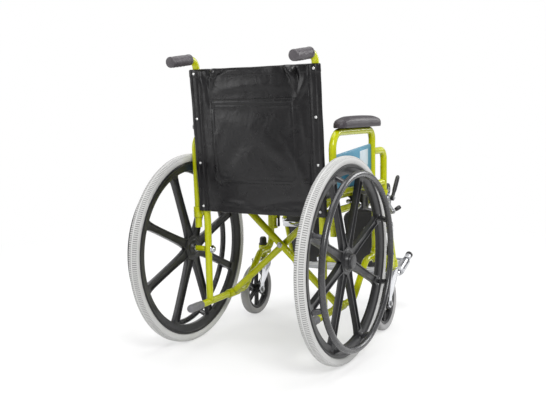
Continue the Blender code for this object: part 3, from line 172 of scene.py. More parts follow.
def ring_faces(rings: int, sides: int, closed: bool = False) -> list[tuple]:
    """Skins equal rings of points.

    Args:
        rings: number of rings.
        sides: points on each ring.
        closed: joins the last ring to the first, where both ends are otherwise capped.

    Returns:
        Tuples of point numbers.
    """
    faces = []
    for i in range(rings if closed else rings - 1):
        a, b = i * sides, (i + 1) % rings * sides
        faces += [(a + k, a + (k + 1) % sides, b + (k + 1) % sides, b + k) for k in range(sides)]
    if not closed:
        faces += [tuple(range(sides)), tuple(range((rings - 1) * sides, rings * sides))]
    return faces


def frame_of(direction: Vector) -> tuple[Vector, Vector]:
    """Finds two unit vectors square to a direction.

    Args:
        direction: any vector but a null one.

    Returns:
        One as near to +Z as it goes, or to +Y beside an upright direction, and one square to both.
    """
    d = direction.normalized()
    up = BACK if abs(d.dot(UP)) > 0.98 else UP
    b = (up - d * up.dot(d)).normalized()
    return b, d.cross(b)


def sweep(points: Sequence, radius: float | Sequence[float], sides: int = 28, closed: bool = False) -> Piece:
    """Makes a solid tube along points with mitred rings.

    Args:
        points: centre line.
        radius: one radius, or one for each point.
        sides: facets round the tube.
        closed: joins the last ring to the first, for a hoop.

    Returns:
        The tube.
    """
    pts = [Vector(p) for p in points]
    count = len(pts)
    radii = list(radius) if isinstance(radius, (list, tuple)) else [radius] * count
    verts = []
    start = (pts[1] - pts[-1]) if closed else (pts[1] - pts[0])
    b, c = frame_of(start)
    last = start.normalized()
    for i, p in enumerate(pts):
        before = pts[i - 1] if i or closed else None
        after = pts[(i + 1) % count] if i < count - 1 or closed else None
        into = (p - before).normalized() if before is not None else (after - p).normalized()
        out = (after - p).normalized() if after is not None else into
        plane = (into + out).normalized()
        turn = last.rotation_difference(plane)
        b, c = turn @ b, turn @ c
        last = plane
        stretch = 1.0 / max(0.3, into.dot(plane))
        bend = out - into
        bend = bend.normalized() if bend.length > 1e-6 else None
        for k in range(sides):
            a = 2 * pi * (k + 0.5) / sides
            v = (b * cos(a) + c * sin(a)) * radii[i]
            if bend is not None:
                v += bend * (v.dot(bend) * (stretch - 1.0))
            verts.append(p + v)
    return mesh_object("tube", verts, ring_faces(count, sides, closed))


def round_path(corners: Sequence, radii: Sequence[float], steps: int = 10) -> list[Vector]:
    """Rounds the inner corners of a path, as a tube bender does.

    Args:
        corners: ends and corners of the centre line.
        radii: bend radius at each inner corner.
        steps: points on a quarter turn.

    Returns:
        Points along the bent line.
    """
    pts = [Vector(p) for p in corners]
    path = [pts[0]]
    for i in range(1, len(pts) - 1):
        a = (pts[i - 1] - pts[i]).normalized()
        b = (pts[i + 1] - pts[i]).normalized()
        half = a.angle(b) / 2
        bend = pi - 2 * half
        centre = pts[i] + (a + b).normalized() * (radii[i - 1] / sin(half))
        start = pts[i] + a * (radii[i - 1] / tan(half))
        axis = a.cross(b).normalized()
        count = max(3, round(steps * bend / (pi / 2)))
        for k in range(count + 1):
            path.append(centre + Matrix.Rotation(-bend * k / count, 3, axis) @ (start - centre))
    path.append(pts[-1])
    return path


def lathe(profile: Pairs, centre: Sequence = ORIGIN, axis: Sequence = UP, sides: int = 48) -> Piece:
    """Makes a turned solid.

    Args:
        profile: closed loop of (radius, height), or one that runs from pole to pole.
        centre: a point on the axis at height 0.
        axis: direction of height.
        sides: steps round the axis.

    Returns:
        The solid.
    """
    axis, centre = Vector(axis).normalized(), Vector(centre)
    b, c = frame_of(axis)
    verts, faces, rows = [], [], []
    for r, h in profile:
        if r < 1e-7:
            rows.append([len(verts)])
            verts.append(centre + axis * h)
            continue
        rows.append(list(range(len(verts), len(verts) + sides)))
        for k in range(sides):
            a = 2 * pi * k / sides
            verts.append(centre + axis * h + (b * cos(a) + c * sin(a)) * r)
    pairs = list(zip(rows, rows[1:]))
    if not (len(rows[0]) == 1 and len(rows[-1]) == 1):
        pairs.append((rows[-1], rows[0]))
    for low, high in pairs:
        for k in range(sides):
            n = (k + 1) % sides
            if len(low) == 1 and len(high) == 1:
                continue
            if len(low) == 1:
                faces.append((low[0], high[n], high[k]))
            elif len(high) == 1:
                faces.append((low[k], low[n], high[0]))
            else:
                faces.append((low[k], low[n], high[n], high[k]))
    return mesh_object("turned", verts, faces)


def rod(start: Sequence, end: Sequence, radius: float, sides: int = 28, bevel: float = 0.0006) -> Piece:
    """Makes a straight bar with rounded end edges.

    Args:
        start: middle of one end.
        end: middle of the other.
        radius: its radius.
        sides: facets round it.
        bevel: width of the rounded edges.

    Returns:
        The bar.
    """
    start, end = Vector(start), Vector(end)
    length = (end - start).length
    edge = min(bevel, radius * 0.4, length * 0.3)
    profile = [(0, 0), (radius - edge, 0), (radius - edge * 0.3, edge * 0.3), (radius, edge),
               (radius, length - edge), (radius - edge * 0.3, length - edge * 0.3),
               (radius - edge, length), (0, length)]
    return lathe(profile, start, end - start, sides)


def upright(x: float, y: float, low: float, high: float, radius: float, sides: int = 28,
            bevel: float = 0.0006) -> Piece:
    """A bar that stands between two heights."""
    return rod((x, y, low), (x, y, high), radius, sides, bevel)


def through(at: Sequence, along: Vector, reach: float, radius: float, sides: int = 28,
            bevel: float = 0.0006) -> Piece:
    """A bar that reaches equally far both ways from a point."""
    return rod(Vector(at) - along * reach, Vector(at) + along * reach, radius, sides, bevel)


def prism(outline: Pairs, origin: Sequence, u: Sequence, v: Sequence, thickness: float,
          bevel: float = 0.0006, segments: int = 2) -> Piece:
    """Makes a plate from an outline.

    Args:
        outline: (u, v) points.
        origin: the outline's (0, 0), half way through the plate.
        u: direction of the first measure.
        v: direction of the second.
        thickness: the plate's.
        bevel: width of its rounded edges, 0 for sharp ones.
        segments: facets on each of them.

    Returns:
        The plate.
    """
    u, v, origin = Vector(u), Vector(v), Vector(origin)
    w = u.cross(v).normalized()
    verts = [origin + u * a + v * b + w * thickness * side for side in (-0.5, 0.5) for a, b in outline]
    obj = mesh_object("plate", verts, ring_faces(2, len(outline)))
    return soften(obj, bevel, segments) if bevel else obj


def box(low: Sequence, high: Sequence, bevel: float = 0.0006) -> Piece:
    """A block between two corners with rounded edges."""
    middle, half = (Vector(low) + Vector(high)) / 2, (Vector(high) - Vector(low)) / 2
    outline = [(-half.x, -half.y), (half.x, -half.y), (half.x, half.y), (-half.x, half.y)]
    return prism(outline, middle, OUT, BACK, half.z * 2, bevel)


def rounded_rect(width: float, depth: float, radius: float, steps: int = 6) -> list[tuple[float, float]]:
    """Outlines a rectangle with round corners, about its middle.

    Args:
        width: first measure.
        depth: second measure.
        radius: of the corners.
        steps: facets on each corner.

    Returns:
        The outline.
    """
    outline = []
    for cx, cy, start in ((1, 1, 0), (-1, 1, 90), (-1, -1, 180), (1, -1, 270)):
        for k in range(steps + 1):
            a = radians(start + 90 * k / steps)
            outline.append((cx * (width / 2 - radius) + radius * cos(a),
                            cy * (depth / 2 - radius) + radius * sin(a)))
    return outline


def bake(obj: Piece) -> Piece:
    """Turns an object's modifiers into plain mesh.

    Args:
        obj: the object.

    Returns:
        The same object.
    """
    bpy.context.view_layer.update()
    mesh = bpy.data.meshes.new_from_object(obj.evaluated_get(bpy.context.evaluated_depsgraph_get()))
    obj.modifiers.clear()
    obj.data = mesh
    return obj


def soften(obj: Piece, width: float, segments: int = 2, angle: float = 32) -> Piece:
    """Rounds the edges that are sharper than an angle.

    Args:
        obj: a closed mesh.
        width: of the rounded edge.
        segments: facets on it.
        angle: in degrees.

    Returns:
        The same object.
    """
    mod = obj.modifiers.new("soften", "BEVEL")
    mod.width = width
    mod.segments = segments
    mod.limit_method = "ANGLE"
    mod.angle_limit = radians(angle)
    mod.use_clamp_overlap = True
    return bake(obj)


def boolean(target: Piece, tools: Sequence[Piece], operation: str) -> Piece:
    """Unites or cuts closed meshes, then removes the tools.

    Args:
        target: the mesh that is worked on.
        tools: closed meshes.
        operation: UNION or DIFFERENCE.

    Returns:
        The target.
    """
    for tool in tools:
        mod = target.modifiers.new("boolean", "BOOLEAN")
        mod.operation = operation
        mod.solver = "MANIFOLD"
        mod.object = tool
        bake(target)
        bpy.data.objects.remove(tool, do_unlink=True)
    return target


def weld(target: Piece, *tools: Piece) -> Piece:
    """The target united with the tools."""
    return boolean(target, tools, "UNION")


def cut(target: Piece, *tools: Piece) -> Piece:
    """The target less the tools."""
    return boolean(target, tools, "DIFFERENCE")


def join(target: Piece, *objs: Piece) -> Piece:
    """Puts several closed meshes into one object, keeping their materials.

    Args:
        target: the object that takes in the others.
        objs: the others, which are removed.

    Returns:
        The target.
    """
    slots = list(target.data.materials)
    bm = bmesh.new()
    bm.from_mesh(target.data)
    for obj in objs:
        first = len(bm.faces)
        slots += [mat for mat in obj.data.materials if mat not in slots]
        lookup = [slots.index(mat) for mat in obj.data.materials] or [0]
        bm.from_mesh(obj.data)
        bm.faces.ensure_lookup_table()
        for face in bm.faces[first:]:
            face.material_index = lookup[face.material_index]
        bpy.data.objects.remove(obj, do_unlink=True)
    bm.to_mesh(target.data)
    bm.free()
    target.data.materials.clear()
    for mat in slots:
        target.data.materials.append(mat)
    return target


def dress(obj: Piece, finish: "Finish", sharp: float = 35) -> Piece:
    """Gives a mesh one finish and smooth shading.

    Args:
        obj: the piece.
        finish: its finish.
        sharp: angle in degrees past which an edge stays sharp.

    Returns:
        The same object.
    """
    obj.data.materials.clear()
    obj.data.materials.append(finish.material())
    for face in obj.data.polygons:
        face.material_index = 0
    obj.data.shade_smooth()
    obj.data.set_sharp_from_angle(angle=radians(sharp))
    return obj


def mirrored(obj: Piece) -> Piece:
    """Copies a left-hand piece for the right-hand side.

    Args:
        obj: the left-hand piece.

    Returns:
        Its mirror image, with faces outwards.
    """
    mesh = obj.data.copy()
    bm = bmesh.new()
    bm.from_mesh(mesh)
    bmesh.ops.scale(bm, verts=bm.verts, vec=(-1, 1, 1))
    bmesh.ops.reverse_faces(bm, faces=bm.faces)
    bm.to_mesh(mesh)
    bm.free()
    return link("mirrored", mesh)


def settle(obj: Piece, name: str, body: str, nodes: Sequence[str] = ()) -> Piece:
    """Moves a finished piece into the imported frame, names it and ties it to its body.

    Args:
        obj: the piece in chair coordinates.
        name: its name in the table.
        body: the body that carries it.
        nodes: the CAD nodes that it stands for.

    Returns:
        The piece.
    """
    bm = bmesh.new()
    bm.from_mesh(obj.data)
    bmesh.ops.remove_doubles(bm, verts=bm.verts, dist=2e-7)
    bmesh.ops.dissolve_degenerate(bm, edges=bm.edges, dist=1e-7)
    bmesh.ops.translate(bm, verts=bm.verts, vec=SHIFT)
    bm.to_mesh(obj.data)
    bm.free()
    obj.name = obj.data.name = name
    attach(obj, body)
    if nodes:
        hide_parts(*nodes)
    LOG.info("%-26s %-18s %7d faces", name, body, len(obj.data.polygons))
    return obj


def pair(obj: Piece, name: str, body: str, node: str = "") -> list[Piece]:
    """Settles a left-hand piece and its mirror image.

    Args:
        obj: the left-hand piece.
        name: its name without the side.
        body: its body's name without the side, such as "wheel".
        node: name of the CAD node that it stands for, without the side letter.

    Returns:
        The left and the right piece.
    """
    made = []
    for piece, side in zip((obj, mirrored(obj)), Side):
        nodes = [f"{node}_{side.letter}"] if node else []
        made.append(settle(piece, f"{name}_{side.letter}_fine", f"{side.value}_{body}", nodes))
    return made


def weld_bead(branch_end: Sequence, branch_dir: Vector, radius: float, main_point: Sequence,
              main_dir: Vector, main_radius: float, size: float = 0.0014, ripples: int = 26) -> Piece:
    """Lays the fillet of weld where one tube butts onto another.

    Args:
        branch_end: a point on the branch's centre line outside the main tube.
        branch_dir: direction from there into the main tube.
        radius: the branch's radius.
        main_point: a point on the main tube's centre line.
        main_dir: the main tube's direction.
        main_radius: the main tube's radius.
        size: the bead's radius.
        ripples: number of small swellings round the bead.

    Returns:
        A closed ring of bead.
    """
    start, d, m = Vector(branch_end), branch_dir.normalized(), main_dir.normalized()
    b, c = frame_of(d)
    flat = d - m * d.dot(m)
    aa = flat.dot(flat)
    ring, radii = [], []
    count = ripples * 3
    for k in range(count):
        a = 2 * pi * k / count
        p = start + (b * cos(a) + c * sin(a)) * (radius + size * 0.2)
        rel = p - Vector(main_point)
        rel = rel - m * rel.dot(m)
        bb, cc = 2 * rel.dot(flat), rel.dot(rel) - main_radius ** 2
        ring.append(p + d * ((-bb - sqrt(max(0.0, bb * bb - 4 * aa * cc))) / (2 * aa)))
        radii.append(size * (1.0 + 0.16 * cos(ripples * a)))
    return sweep(ring, radii, 8, closed=True)


class NodeWriter:
    """Writes shader or geometry nodes into a tree."""

    def __init__(self, tree: bpy.types.NodeTree) -> None:
        """Starts on an empty tree."""
        self.tree = tree
        self.tree.nodes.clear()

    def add(self, kind: str, inputs: Optional[dict] = None, **settings) -> bpy.types.Node:
        """Adds one node.

        Args:
            kind: the node's type name.
            inputs: socket name or number to a value or to another node's output.
            settings: attributes of the node.

        Returns:
            The node.
        """
        node = self.tree.nodes.new(kind)
        for key, value in settings.items():
            setattr(node, key, value)
        for key, value in (inputs or {}).items():
            if isinstance(value, Socket):
                self.tree.links.new(value, node.inputs[key])
            else:
                node.inputs[key].default_value = value
        return node


def linear(code: str) -> tuple[float, ...]:
    """An sRGB hex colour such as "c8cc10" as linear RGBA."""
    tones = [int(code[i:i + 2], 16) / 255 for i in (0, 2, 4)]
    return (*(s / 12.92 if s <= 0.04045 else ((s + 0.055) / 1.055) ** 2.4 for s in tones), 1.0)


@dataclass(frozen=True)
class Finish:
    """A painted, moulded or plated surface. Pattern sizes are in millimetres.

    The mottle varies the colour over the piece, the grain is the fine relief that breaks the highlight,
    and the ripple is the slow relief that makes reflections swim. A real grain is finer than the render
    shows, so the grains are drawn as coarse as they need to be to show.
    """

    name: str
    base: str
    second: str
    rough: float = 0.4
    rough_spread: float = 0.08
    metal: float = 0.0
    coat: float = 0.0
    specular: float = 0.5
    mottle_mm: float = 60.0
    grain_mm: float = 0.6
    grain_depth_mm: float = 0.01
    ripple_mm: float = 18.0
    ripple_depth_mm: float = 0.0
    dust: str = ""
    dust_share: float = 0.0
    dust_mm: float = 7.0
    marks_mm: float = 23.0

    def material(self) -> bpy.types.Material:
        """Makes the finish's material on first use.

        Returns:
            The material.
        """
        found = bpy.data.materials.get(self.name)
        if found is None:
            found = bpy.data.materials.new(self.name)
            found.use_nodes = True
            self.shade(NodeWriter(found.node_tree))
        return found

    def colour(self, w: NodeWriter, mm: Socket) -> Socket:
        """Mixes two tones in soft patches, with dust where there is any.

        Args:
            w: writes the nodes.
            mm: the pattern's coordinates in millimetres.

        Returns:
            The colour.
        """
        patch = w.add("ShaderNodeTexNoise", {"Vector": mm, "Scale": 1 / self.mottle_mm, "Detail": 4.0,
                                             "Roughness": 0.55}).outputs["Fac"]
        share = w.add("ShaderNodeMapRange", {"Value": patch, "From Min": 0.32, "From Max": 0.68}).outputs[0]
        tone = w.add("ShaderNodeMix", {0: share, 6: linear(self.base), 7: linear(self.second)},
                     data_type="RGBA").outputs[2]
        if not self.dust:
            return tone
        speck = w.add("ShaderNodeTexNoise", {"Vector": mm, "Scale": 1 / self.dust_mm, "Detail": 6.0,
                                             "Roughness": 0.7}).outputs["Fac"]
        share = w.add("ShaderNodeMapRange", {"Value": speck, "From Min": 0.48, "From Max": 0.72,
                                             "To Max": self.dust_share}).outputs[0]
        return w.add("ShaderNodeMix", {0: share, 6: tone, 7: linear(self.dust)}, data_type="RGBA").outputs[2]

    def relief(self, w: NodeWriter, mm: Socket) -> Socket:
        """Lays the ripple over the grain.

        Args:
            w: writes the nodes.
            mm: the pattern's coordinates in millimetres.

        Returns:
            The normal.
        """
        grain = w.add("ShaderNodeTexNoise", {"Vector": mm, "Scale": 1 / self.grain_mm,
                                             "Detail": 2.0}).outputs["Fac"]
        fine = w.add("ShaderNodeBump", {"Height": grain, "Strength": 0.6,
                                        "Distance": self.grain_depth_mm / 1000}).outputs["Normal"]
        if not self.ripple_depth_mm:
            return fine
        slow = w.add("ShaderNodeTexNoise", {"Vector": mm, "Scale": 1 / self.ripple_mm,
                                            "Detail": 1.0}).outputs["Fac"]
        return w.add("ShaderNodeBump", {"Height": slow, "Strength": 1.0, "Normal": fine,
                                        "Distance": self.ripple_depth_mm / 1000}).outputs["Normal"]

    def gloss(self, w: NodeWriter, mm: Socket) -> Socket:
        """Lets the roughness wander with handling marks.

        Args:
            w: writes the nodes.
            mm: the pattern's coordinates in millimetres.

        Returns:
            The roughness.
        """
        marks = w.add("ShaderNodeTexNoise", {"Vector": mm, "Scale": 1 / self.marks_mm, "Detail": 5.0,
                                             "Roughness": 0.65, "Distortion": 0.4}).outputs["Fac"]
        low, high = self.rough - self.rough_spread, self.rough + self.rough_spread
        return w.add("ShaderNodeMapRange", {"Value": marks, "From Min": 0.3, "From Max": 0.7,
                                            "To Min": max(0.02, low), "To Max": high}).outputs[0]

    def shade(self, w: NodeWriter) -> None:
        """Writes the shader, with patterns on the object's own coordinates in millimetres.

        Args:
            w: writes the nodes.
        """
        coords = w.add("ShaderNodeTexCoord").outputs["Object"]
        mm = w.add("ShaderNodeVectorMath", {0: coords, 3: 1000.0}, operation="SCALE").outputs[0]
        shader = w.add("ShaderNodeBsdfPrincipled", {
            "Base Color": self.colour(w, mm), "Roughness": self.gloss(w, mm), "Normal": self.relief(w, mm),
            "Metallic": self.metal, "Coat Weight": self.coat, "Coat Roughness": 0.06,
            "Specular IOR Level": self.specular})
        w.add("ShaderNodeOutputMaterial", {"Surface": shader.outputs[0]})


@dataclass(frozen=True)
class WornEnamel(Finish):
    """Stoved enamel with painted shade: an ambient-occlusion mask darkens it in corners and where pieces
    meet.
    """

    grime: str = "5c5e00"
    grime_reach: float = 0.010

    def colour(self, w: NodeWriter, mm: Socket) -> Socket:
        """Paints shade into the enamel where pieces meet, from ambient occlusion.

        Args:
            w: writes the nodes.
            mm: the pattern's coordinates in millimetres.

        Returns:
            The colour.
        """
        tone = super().colour(w, mm)
        # Painted shade: ambient occlusion darkens the enamel in corners and where pieces meet.
        hollow = w.add("ShaderNodeAmbientOcclusion", {"Distance": self.grime_reach}, samples=6).outputs["AO"]
        share = w.add("ShaderNodeMapRange", {"Value": hollow, "From Min": 0.25, "From Max": 0.85,
                                             "To Min": 0.55, "To Max": 0.0}).outputs[0]
        return w.add("ShaderNodeMix", {0: share, 6: tone, 7: linear(self.grime)}, data_type="RGBA").outputs[2]


@dataclass(frozen=True)
class Grained(Finish):
    """Vinyl or pebbled skin: rounded cells with thin valleys, which give a leathery sparkle."""

    cell_mm: float = 1.5
    cell_depth_mm: float = 0.10
    crease_mm: float = 45.0
    crease_depth_mm: float = 1.2

    def relief(self, w: NodeWriter, mm: Socket) -> Socket:
        """Lays slow creases over warped cells.

        Args:
            w: writes the nodes.
            mm: the pattern's coordinates in millimetres.

        Returns:
            The normal.
        """
        warp = w.add("ShaderNodeTexNoise", {"Vector": mm, "Scale": 0.5, "Detail": 2.0}).outputs["Color"]
        warp = w.add("ShaderNodeVectorMath", {0: warp, 3: 0.9}, operation="SCALE").outputs[0]
        bent = w.add("ShaderNodeVectorMath", {0: mm, 1: warp}, operation="ADD").outputs[0]
        cells = w.add("ShaderNodeTexVoronoi", {"Vector": bent, "Scale": 1 / self.cell_mm, "Smoothness": 0.35},
                      feature="SMOOTH_F1").outputs["Distance"]
        fine = w.add("ShaderNodeBump", {"Height": cells, "Strength": 0.7,
                                        "Distance": self.cell_depth_mm / 1000}, invert=True).outputs["Normal"]
        slow = w.add("ShaderNodeTexNoise", {"Vector": mm, "Scale": 1 / self.crease_mm, "Detail": 3.0,
                                            "Roughness": 0.45, "Distortion": 0.8}).outputs["Fac"]
        return w.add("ShaderNodeBump", {"Height": slow, "Strength": 0.75, "Normal": fine,
                                        "Distance": self.crease_depth_mm / 1000}).outputs["Normal"]


@dataclass(frozen=True)
class Plated(Finish):
    """Bright plate, nearly a mirror, with haze and fine pits that keep it from looking liquid."""

    pit_mm: float = 1.3

    def relief(self, w: NodeWriter, mm: Socket) -> Socket:
        """Lays a slow ripple over small pits.

        Args:
            w: writes the nodes.
            mm: the pattern's coordinates in millimetres.

        Returns:
            The normal.
        """
        pits = w.add("ShaderNodeTexVoronoi", {"Vector": mm, "Scale": 1 / self.pit_mm}).outputs["Distance"]
        dents = w.add("ShaderNodeMapRange", {"Value": pits, "From Max": 0.10}).outputs[0]
        fine = w.add("ShaderNodeBump", {"Height": dents, "Strength": 0.25,
                                        "Distance": self.grain_depth_mm / 1000}).outputs["Normal"]
        slow = w.add("ShaderNodeTexNoise", {"Vector": mm, "Scale": 1 / self.ripple_mm}).outputs["Fac"]
        return w.add("ShaderNodeBump", {"Height": slow, "Strength": 1.0, "Normal": fine,
                                        "Distance": self.ripple_depth_mm / 1000}).outputs["Normal"]


# Stoved lime enamel on steel tube: a smooth, glossy skin that swims a little, yellow-green all over, with
# painted shade where pieces meet.
ENAMEL = WornEnamel("enamel_lime", "b6bb05", "adb203", rough=0.22, rough_spread=0.04, coat=0.22,
                    specular=0.30, mottle_mm=140, grain_mm=1.1, grain_depth_mm=0.006, ripple_mm=16,
                    ripple_depth_mm=0.02)
# The same enamel over weld beads, duller and rougher, so that the joints show as joints, with the same
# painted shade.
BEAD = WornEnamel("enamel_bead", "abaf06", "989c04", rough=0.28, coat=0.2, specular=0.35, grain_mm=0.9,
                  grain_depth_mm=0.05)
# Polished chrome plate: hard white glints on the forks and leg tubes.
CHROME = Plated("chrome_plate", "d2d3d6", "bfc0c4", rough=0.10, rough_spread=0.05, metal=1.0,
                ripple_mm=12, ripple_depth_mm=0.03)
# Bright zinc plate on bolts and pressings: a grey metal with a cloudy spangle.
ZINC = Plated("zinc_plate", "b4b5b6", "8f9092", rough=0.30, rough_spread=0.09, metal=1.0, mottle_mm=3.5,
              grain_depth_mm=0.03, ripple_mm=8, ripple_depth_mm=0.02)
# Glass-filled nylon, moulded: a satin black with broad soft highlights along the spokes.
NYLON = Finish("nylon_black", "232325", "1d1d1f", rough=0.34, specular=0.42, rough_spread=0.07,
               grain_mm=0.45, grain_depth_mm=0.02, ripple_mm=14, ripple_depth_mm=0.05, dust="6a6a68",
               dust_share=0.10)
# Moulded ABS on brackets and levers: a darker, flatter black than the wheels.
PLASTIC = Finish("plastic_black", "201f21", "19181a", rough=0.38, specular=0.42, grain_mm=0.5,
                 grain_depth_mm=0.025, dust="5c5a5a", dust_share=0.08)
# Dipped vinyl coat on the push rim: smoother than the wheel, with a long clean highlight.
RIM_COAT = Finish("push_rim_coat", "343436", "2b2b2d", rough=0.27, rough_spread=0.06, coat=0.15,
                  grain_mm=0.9, grain_depth_mm=0.015, dust="77777a", dust_share=0.10)
# Moulded rubber grip: a warm grey-black that swallows light.
GRIP = Grained("grip_rubber", "4d494d", "403c40", rough=0.46, cell_mm=0.9, cell_depth_mm=0.08,
               crease_depth_mm=0.1, dust="6b6668", dust_share=0.18)
# Solid polyurethane tyre: a chalky light grey, dusty, nearly without shine.
TYRE = Finish("tyre_grey", "c4c4c3", "bcbcbb", rough=0.66, rough_spread=0.06, specular=0.4,
              mottle_mm=160, grain_mm=0.7, grain_depth_mm=0.03, dust="b2b0ac", dust_share=0.16)
# The bottom of the tread grooves, painted darker so that the bars read from a distance.
TYRE_GROOVE = Finish("tyre_groove", "7e7e7d", "737372", rough=0.75, specular=0.3, grain_mm=0.7,
                     grain_depth_mm=0.03, dust="9a9894", dust_share=0.2)
# Solid rubber of the casters: a mid grey, more worn than the rear tyres.
CASTER_RUBBER = Finish("caster_rubber", "9d9c9c", "8f8e8f", rough=0.6, specular=0.4, grain_mm=0.7,
                       grain_depth_mm=0.03, dust="a3a29e", dust_share=0.25)
# Stretched black vinyl of the back: broad sheens that break up along slow creases.
VINYL = Grained("vinyl_black", "111012", "0e0d0f", rough=0.31, rough_spread=0.06, specular=0.40,
                cell_mm=1.4, cell_depth_mm=0.07, crease_mm=48, crease_depth_mm=3.0, dust="2c2b2d",
                dust_share=0.15)
# The seat's vinyl, rubbed by use to a softer sheen.
SEAT_VINYL = Grained("vinyl_seat", "151416", "111012", rough=0.42, rough_spread=0.06, specular=0.36,
                     cell_mm=1.4, cell_depth_mm=0.07, crease_mm=52, crease_depth_mm=1.8, dust="2c2b2d",
                     dust_share=0.15)
# Padded vinyl of the calf rests: greyer and duller, with a fine pebble.
CALF_VINYL = Grained("vinyl_calf", "555456", "4a494b", rough=0.55, rough_spread=0.06, cell_mm=1.1,
                     cell_depth_mm=0.07, crease_mm=70, crease_depth_mm=0.5, dust="757476", dust_share=0.2)
# Skinned foam of the arm pads: a brownish black with a soft pebble.
PAD_SKIN = Grained("pad_skin", "3a353a", "302b2f", rough=0.46, rough_spread=0.06, specular=0.34,
                   cell_mm=0.8, cell_depth_mm=0.05, crease_depth_mm=0.15)
# Extruded piping sewn round the calf pads: a thin dark line.
PIPING = Finish("piping_black", "1e1d1f", "171618", rough=0.45, grain_mm=0.4, grain_depth_mm=0.03)
# Calendered vinyl sheet of the side panels: an even teal with an orange-peel skin.
PANEL = Finish("panel_teal", "4388a4", "397a97", rough=0.38, specular=0.3, rough_spread=0.05,
               mottle_mm=120, grain_mm=1.3, grain_depth_mm=0.02, dust="8fc0d4", dust_share=0.12)
# A pale film on the side panel, plain and slightly blue.
INSET = Finish("panel_inset", "c0cbd1", "aebac2", rough=0.45, specular=0.4, grain_mm=0.8)
# Soft grey plastic of the rail plugs, scuffed and dusty.
GREY_PLASTIC = Finish("plastic_grey", "77777a", "6a6a6e", rough=0.5, grain_mm=0.5, grain_depth_mm=0.03,
                      dust="9a9a9a", dust_share=0.15)
# Cast aluminium of the foot plates: a milky metal, half matt.
ALLOY = Plated("footplate_alloy", "b4b5b8", "a0a1a5", rough=0.36, rough_spread=0.07, metal=0.5,
               mottle_mm=14, grain_depth_mm=0.02, ripple_mm=10, ripple_depth_mm=0.02)
# Pale rubber treads in the foot plates, rubbed grey.
WHITE_BAND = Finish("footplate_band", "dcdcda", "cfcfcd", rough=0.5, grain_depth_mm=0.02, dust="b0aea8",
                    dust_share=0.3)
# Grey polyester thread, a dotted line just lighter than the vinyl. Its twist is drawn coarse.
THREAD = Finish("thread_grey", "7e7c80", "6e6c70", rough=0.7, grain_mm=0.25, grain_depth_mm=0.05)
# The pocket's lighter thread, which reads as a bright line.
POCKET_THREAD = Finish("thread_light", "c9c8cb", "b8b6ba", rough=0.7, grain_mm=0.25, grain_depth_mm=0.05)
# Nickel-plated screw heads: small white dots against the black.
SCREW = Plated("screw_bright", "f0f0f0", "dcdcdc", rough=0.25, metal=0.6, ripple_depth_mm=0.01)


class Scatter:
    """Repeats a small shape with Geometry Nodes at points that carry their own directions."""

    SOCKETS = (("Points", "Geometry", "INPUT"), ("Shape", "Object", "INPUT"), ("Finish", "Material", "INPUT"),
               ("Size", "Float", "INPUT"), ("Copies", "Geometry", "OUTPUT"))

    @classmethod
    def tree(cls) -> bpy.types.NodeTree:
        """Writes the node group that puts the shape on every point, turned to the point's directions.

        Returns:
            The node group.
        """
        tree = bpy.data.node_groups.new("scatter", "GeometryNodeTree")
        w = NodeWriter(tree)
        for label, kind, way in cls.SOCKETS:
            tree.interface.new_socket(label, in_out=way, socket_type=f"NodeSocket{kind}")
        given = w.add("NodeGroupInput").outputs
        facing, along = (w.add("GeometryNodeInputNamedAttribute", {"Name": name},
                               data_type="FLOAT_VECTOR").outputs[0] for name in ("facing", "along"))
        turn = w.add("FunctionNodeAxesToRotation", {0: facing, 1: along}, primary_axis="Z",
                     secondary_axis="X")
        source = w.add("GeometryNodeObjectInfo", {"Object": given["Shape"]}, transform_space="ORIGINAL")
        copies = w.add("GeometryNodeInstanceOnPoints", {
            "Points": given["Points"], "Instance": source.outputs["Geometry"],
            "Rotation": turn.outputs[0], "Scale": given["Size"]})
        real = w.add("GeometryNodeRealizeInstances", {"Geometry": copies.outputs[0]})
        painted = w.add("GeometryNodeSetMaterial", {"Geometry": real.outputs[0],
                                                    "Material": given["Finish"]})
        w.add("NodeGroupOutput", {"Copies": painted.outputs[0]})
        return tree

    @classmethod
    def run(cls, shape: Piece, places: Sequence[tuple], finish: Finish) -> Piece:
        """Copies a shape to every place.

        Args:
            shape: the shape about the origin, facing +Z with its row along +X. It is removed.
            places: (point, facing, along) for each copy.
            finish: the copies' finish.

        Returns:
            One plain mesh of all copies.
        """
        points = mesh_object("places", [at for at, facing, along in places], [])
        for name, column in (("facing", 1), ("along", 2)):
            layer = points.data.attributes.new(name, "FLOAT_VECTOR", "POINT")
            layer.data.foreach_set("vector", [x for p in places for x in Vector(p[column]).normalized()])
        mod = points.modifiers.new("scatter", "NODES")
        mod.node_group = cls.tree()
        sockets = {item.name: item.identifier for item in mod.node_group.interface.items_tree}
        for name, value in (("Shape", shape), ("Finish", finish.material()), ("Size", 1.0)):
            mod[sockets[name]] = value
        bake(points)
        bpy.data.objects.remove(shape, do_unlink=True)
        points.data.shade_smooth()
        points.data.set_sharp_from_angle(angle=radians(40))
        return points


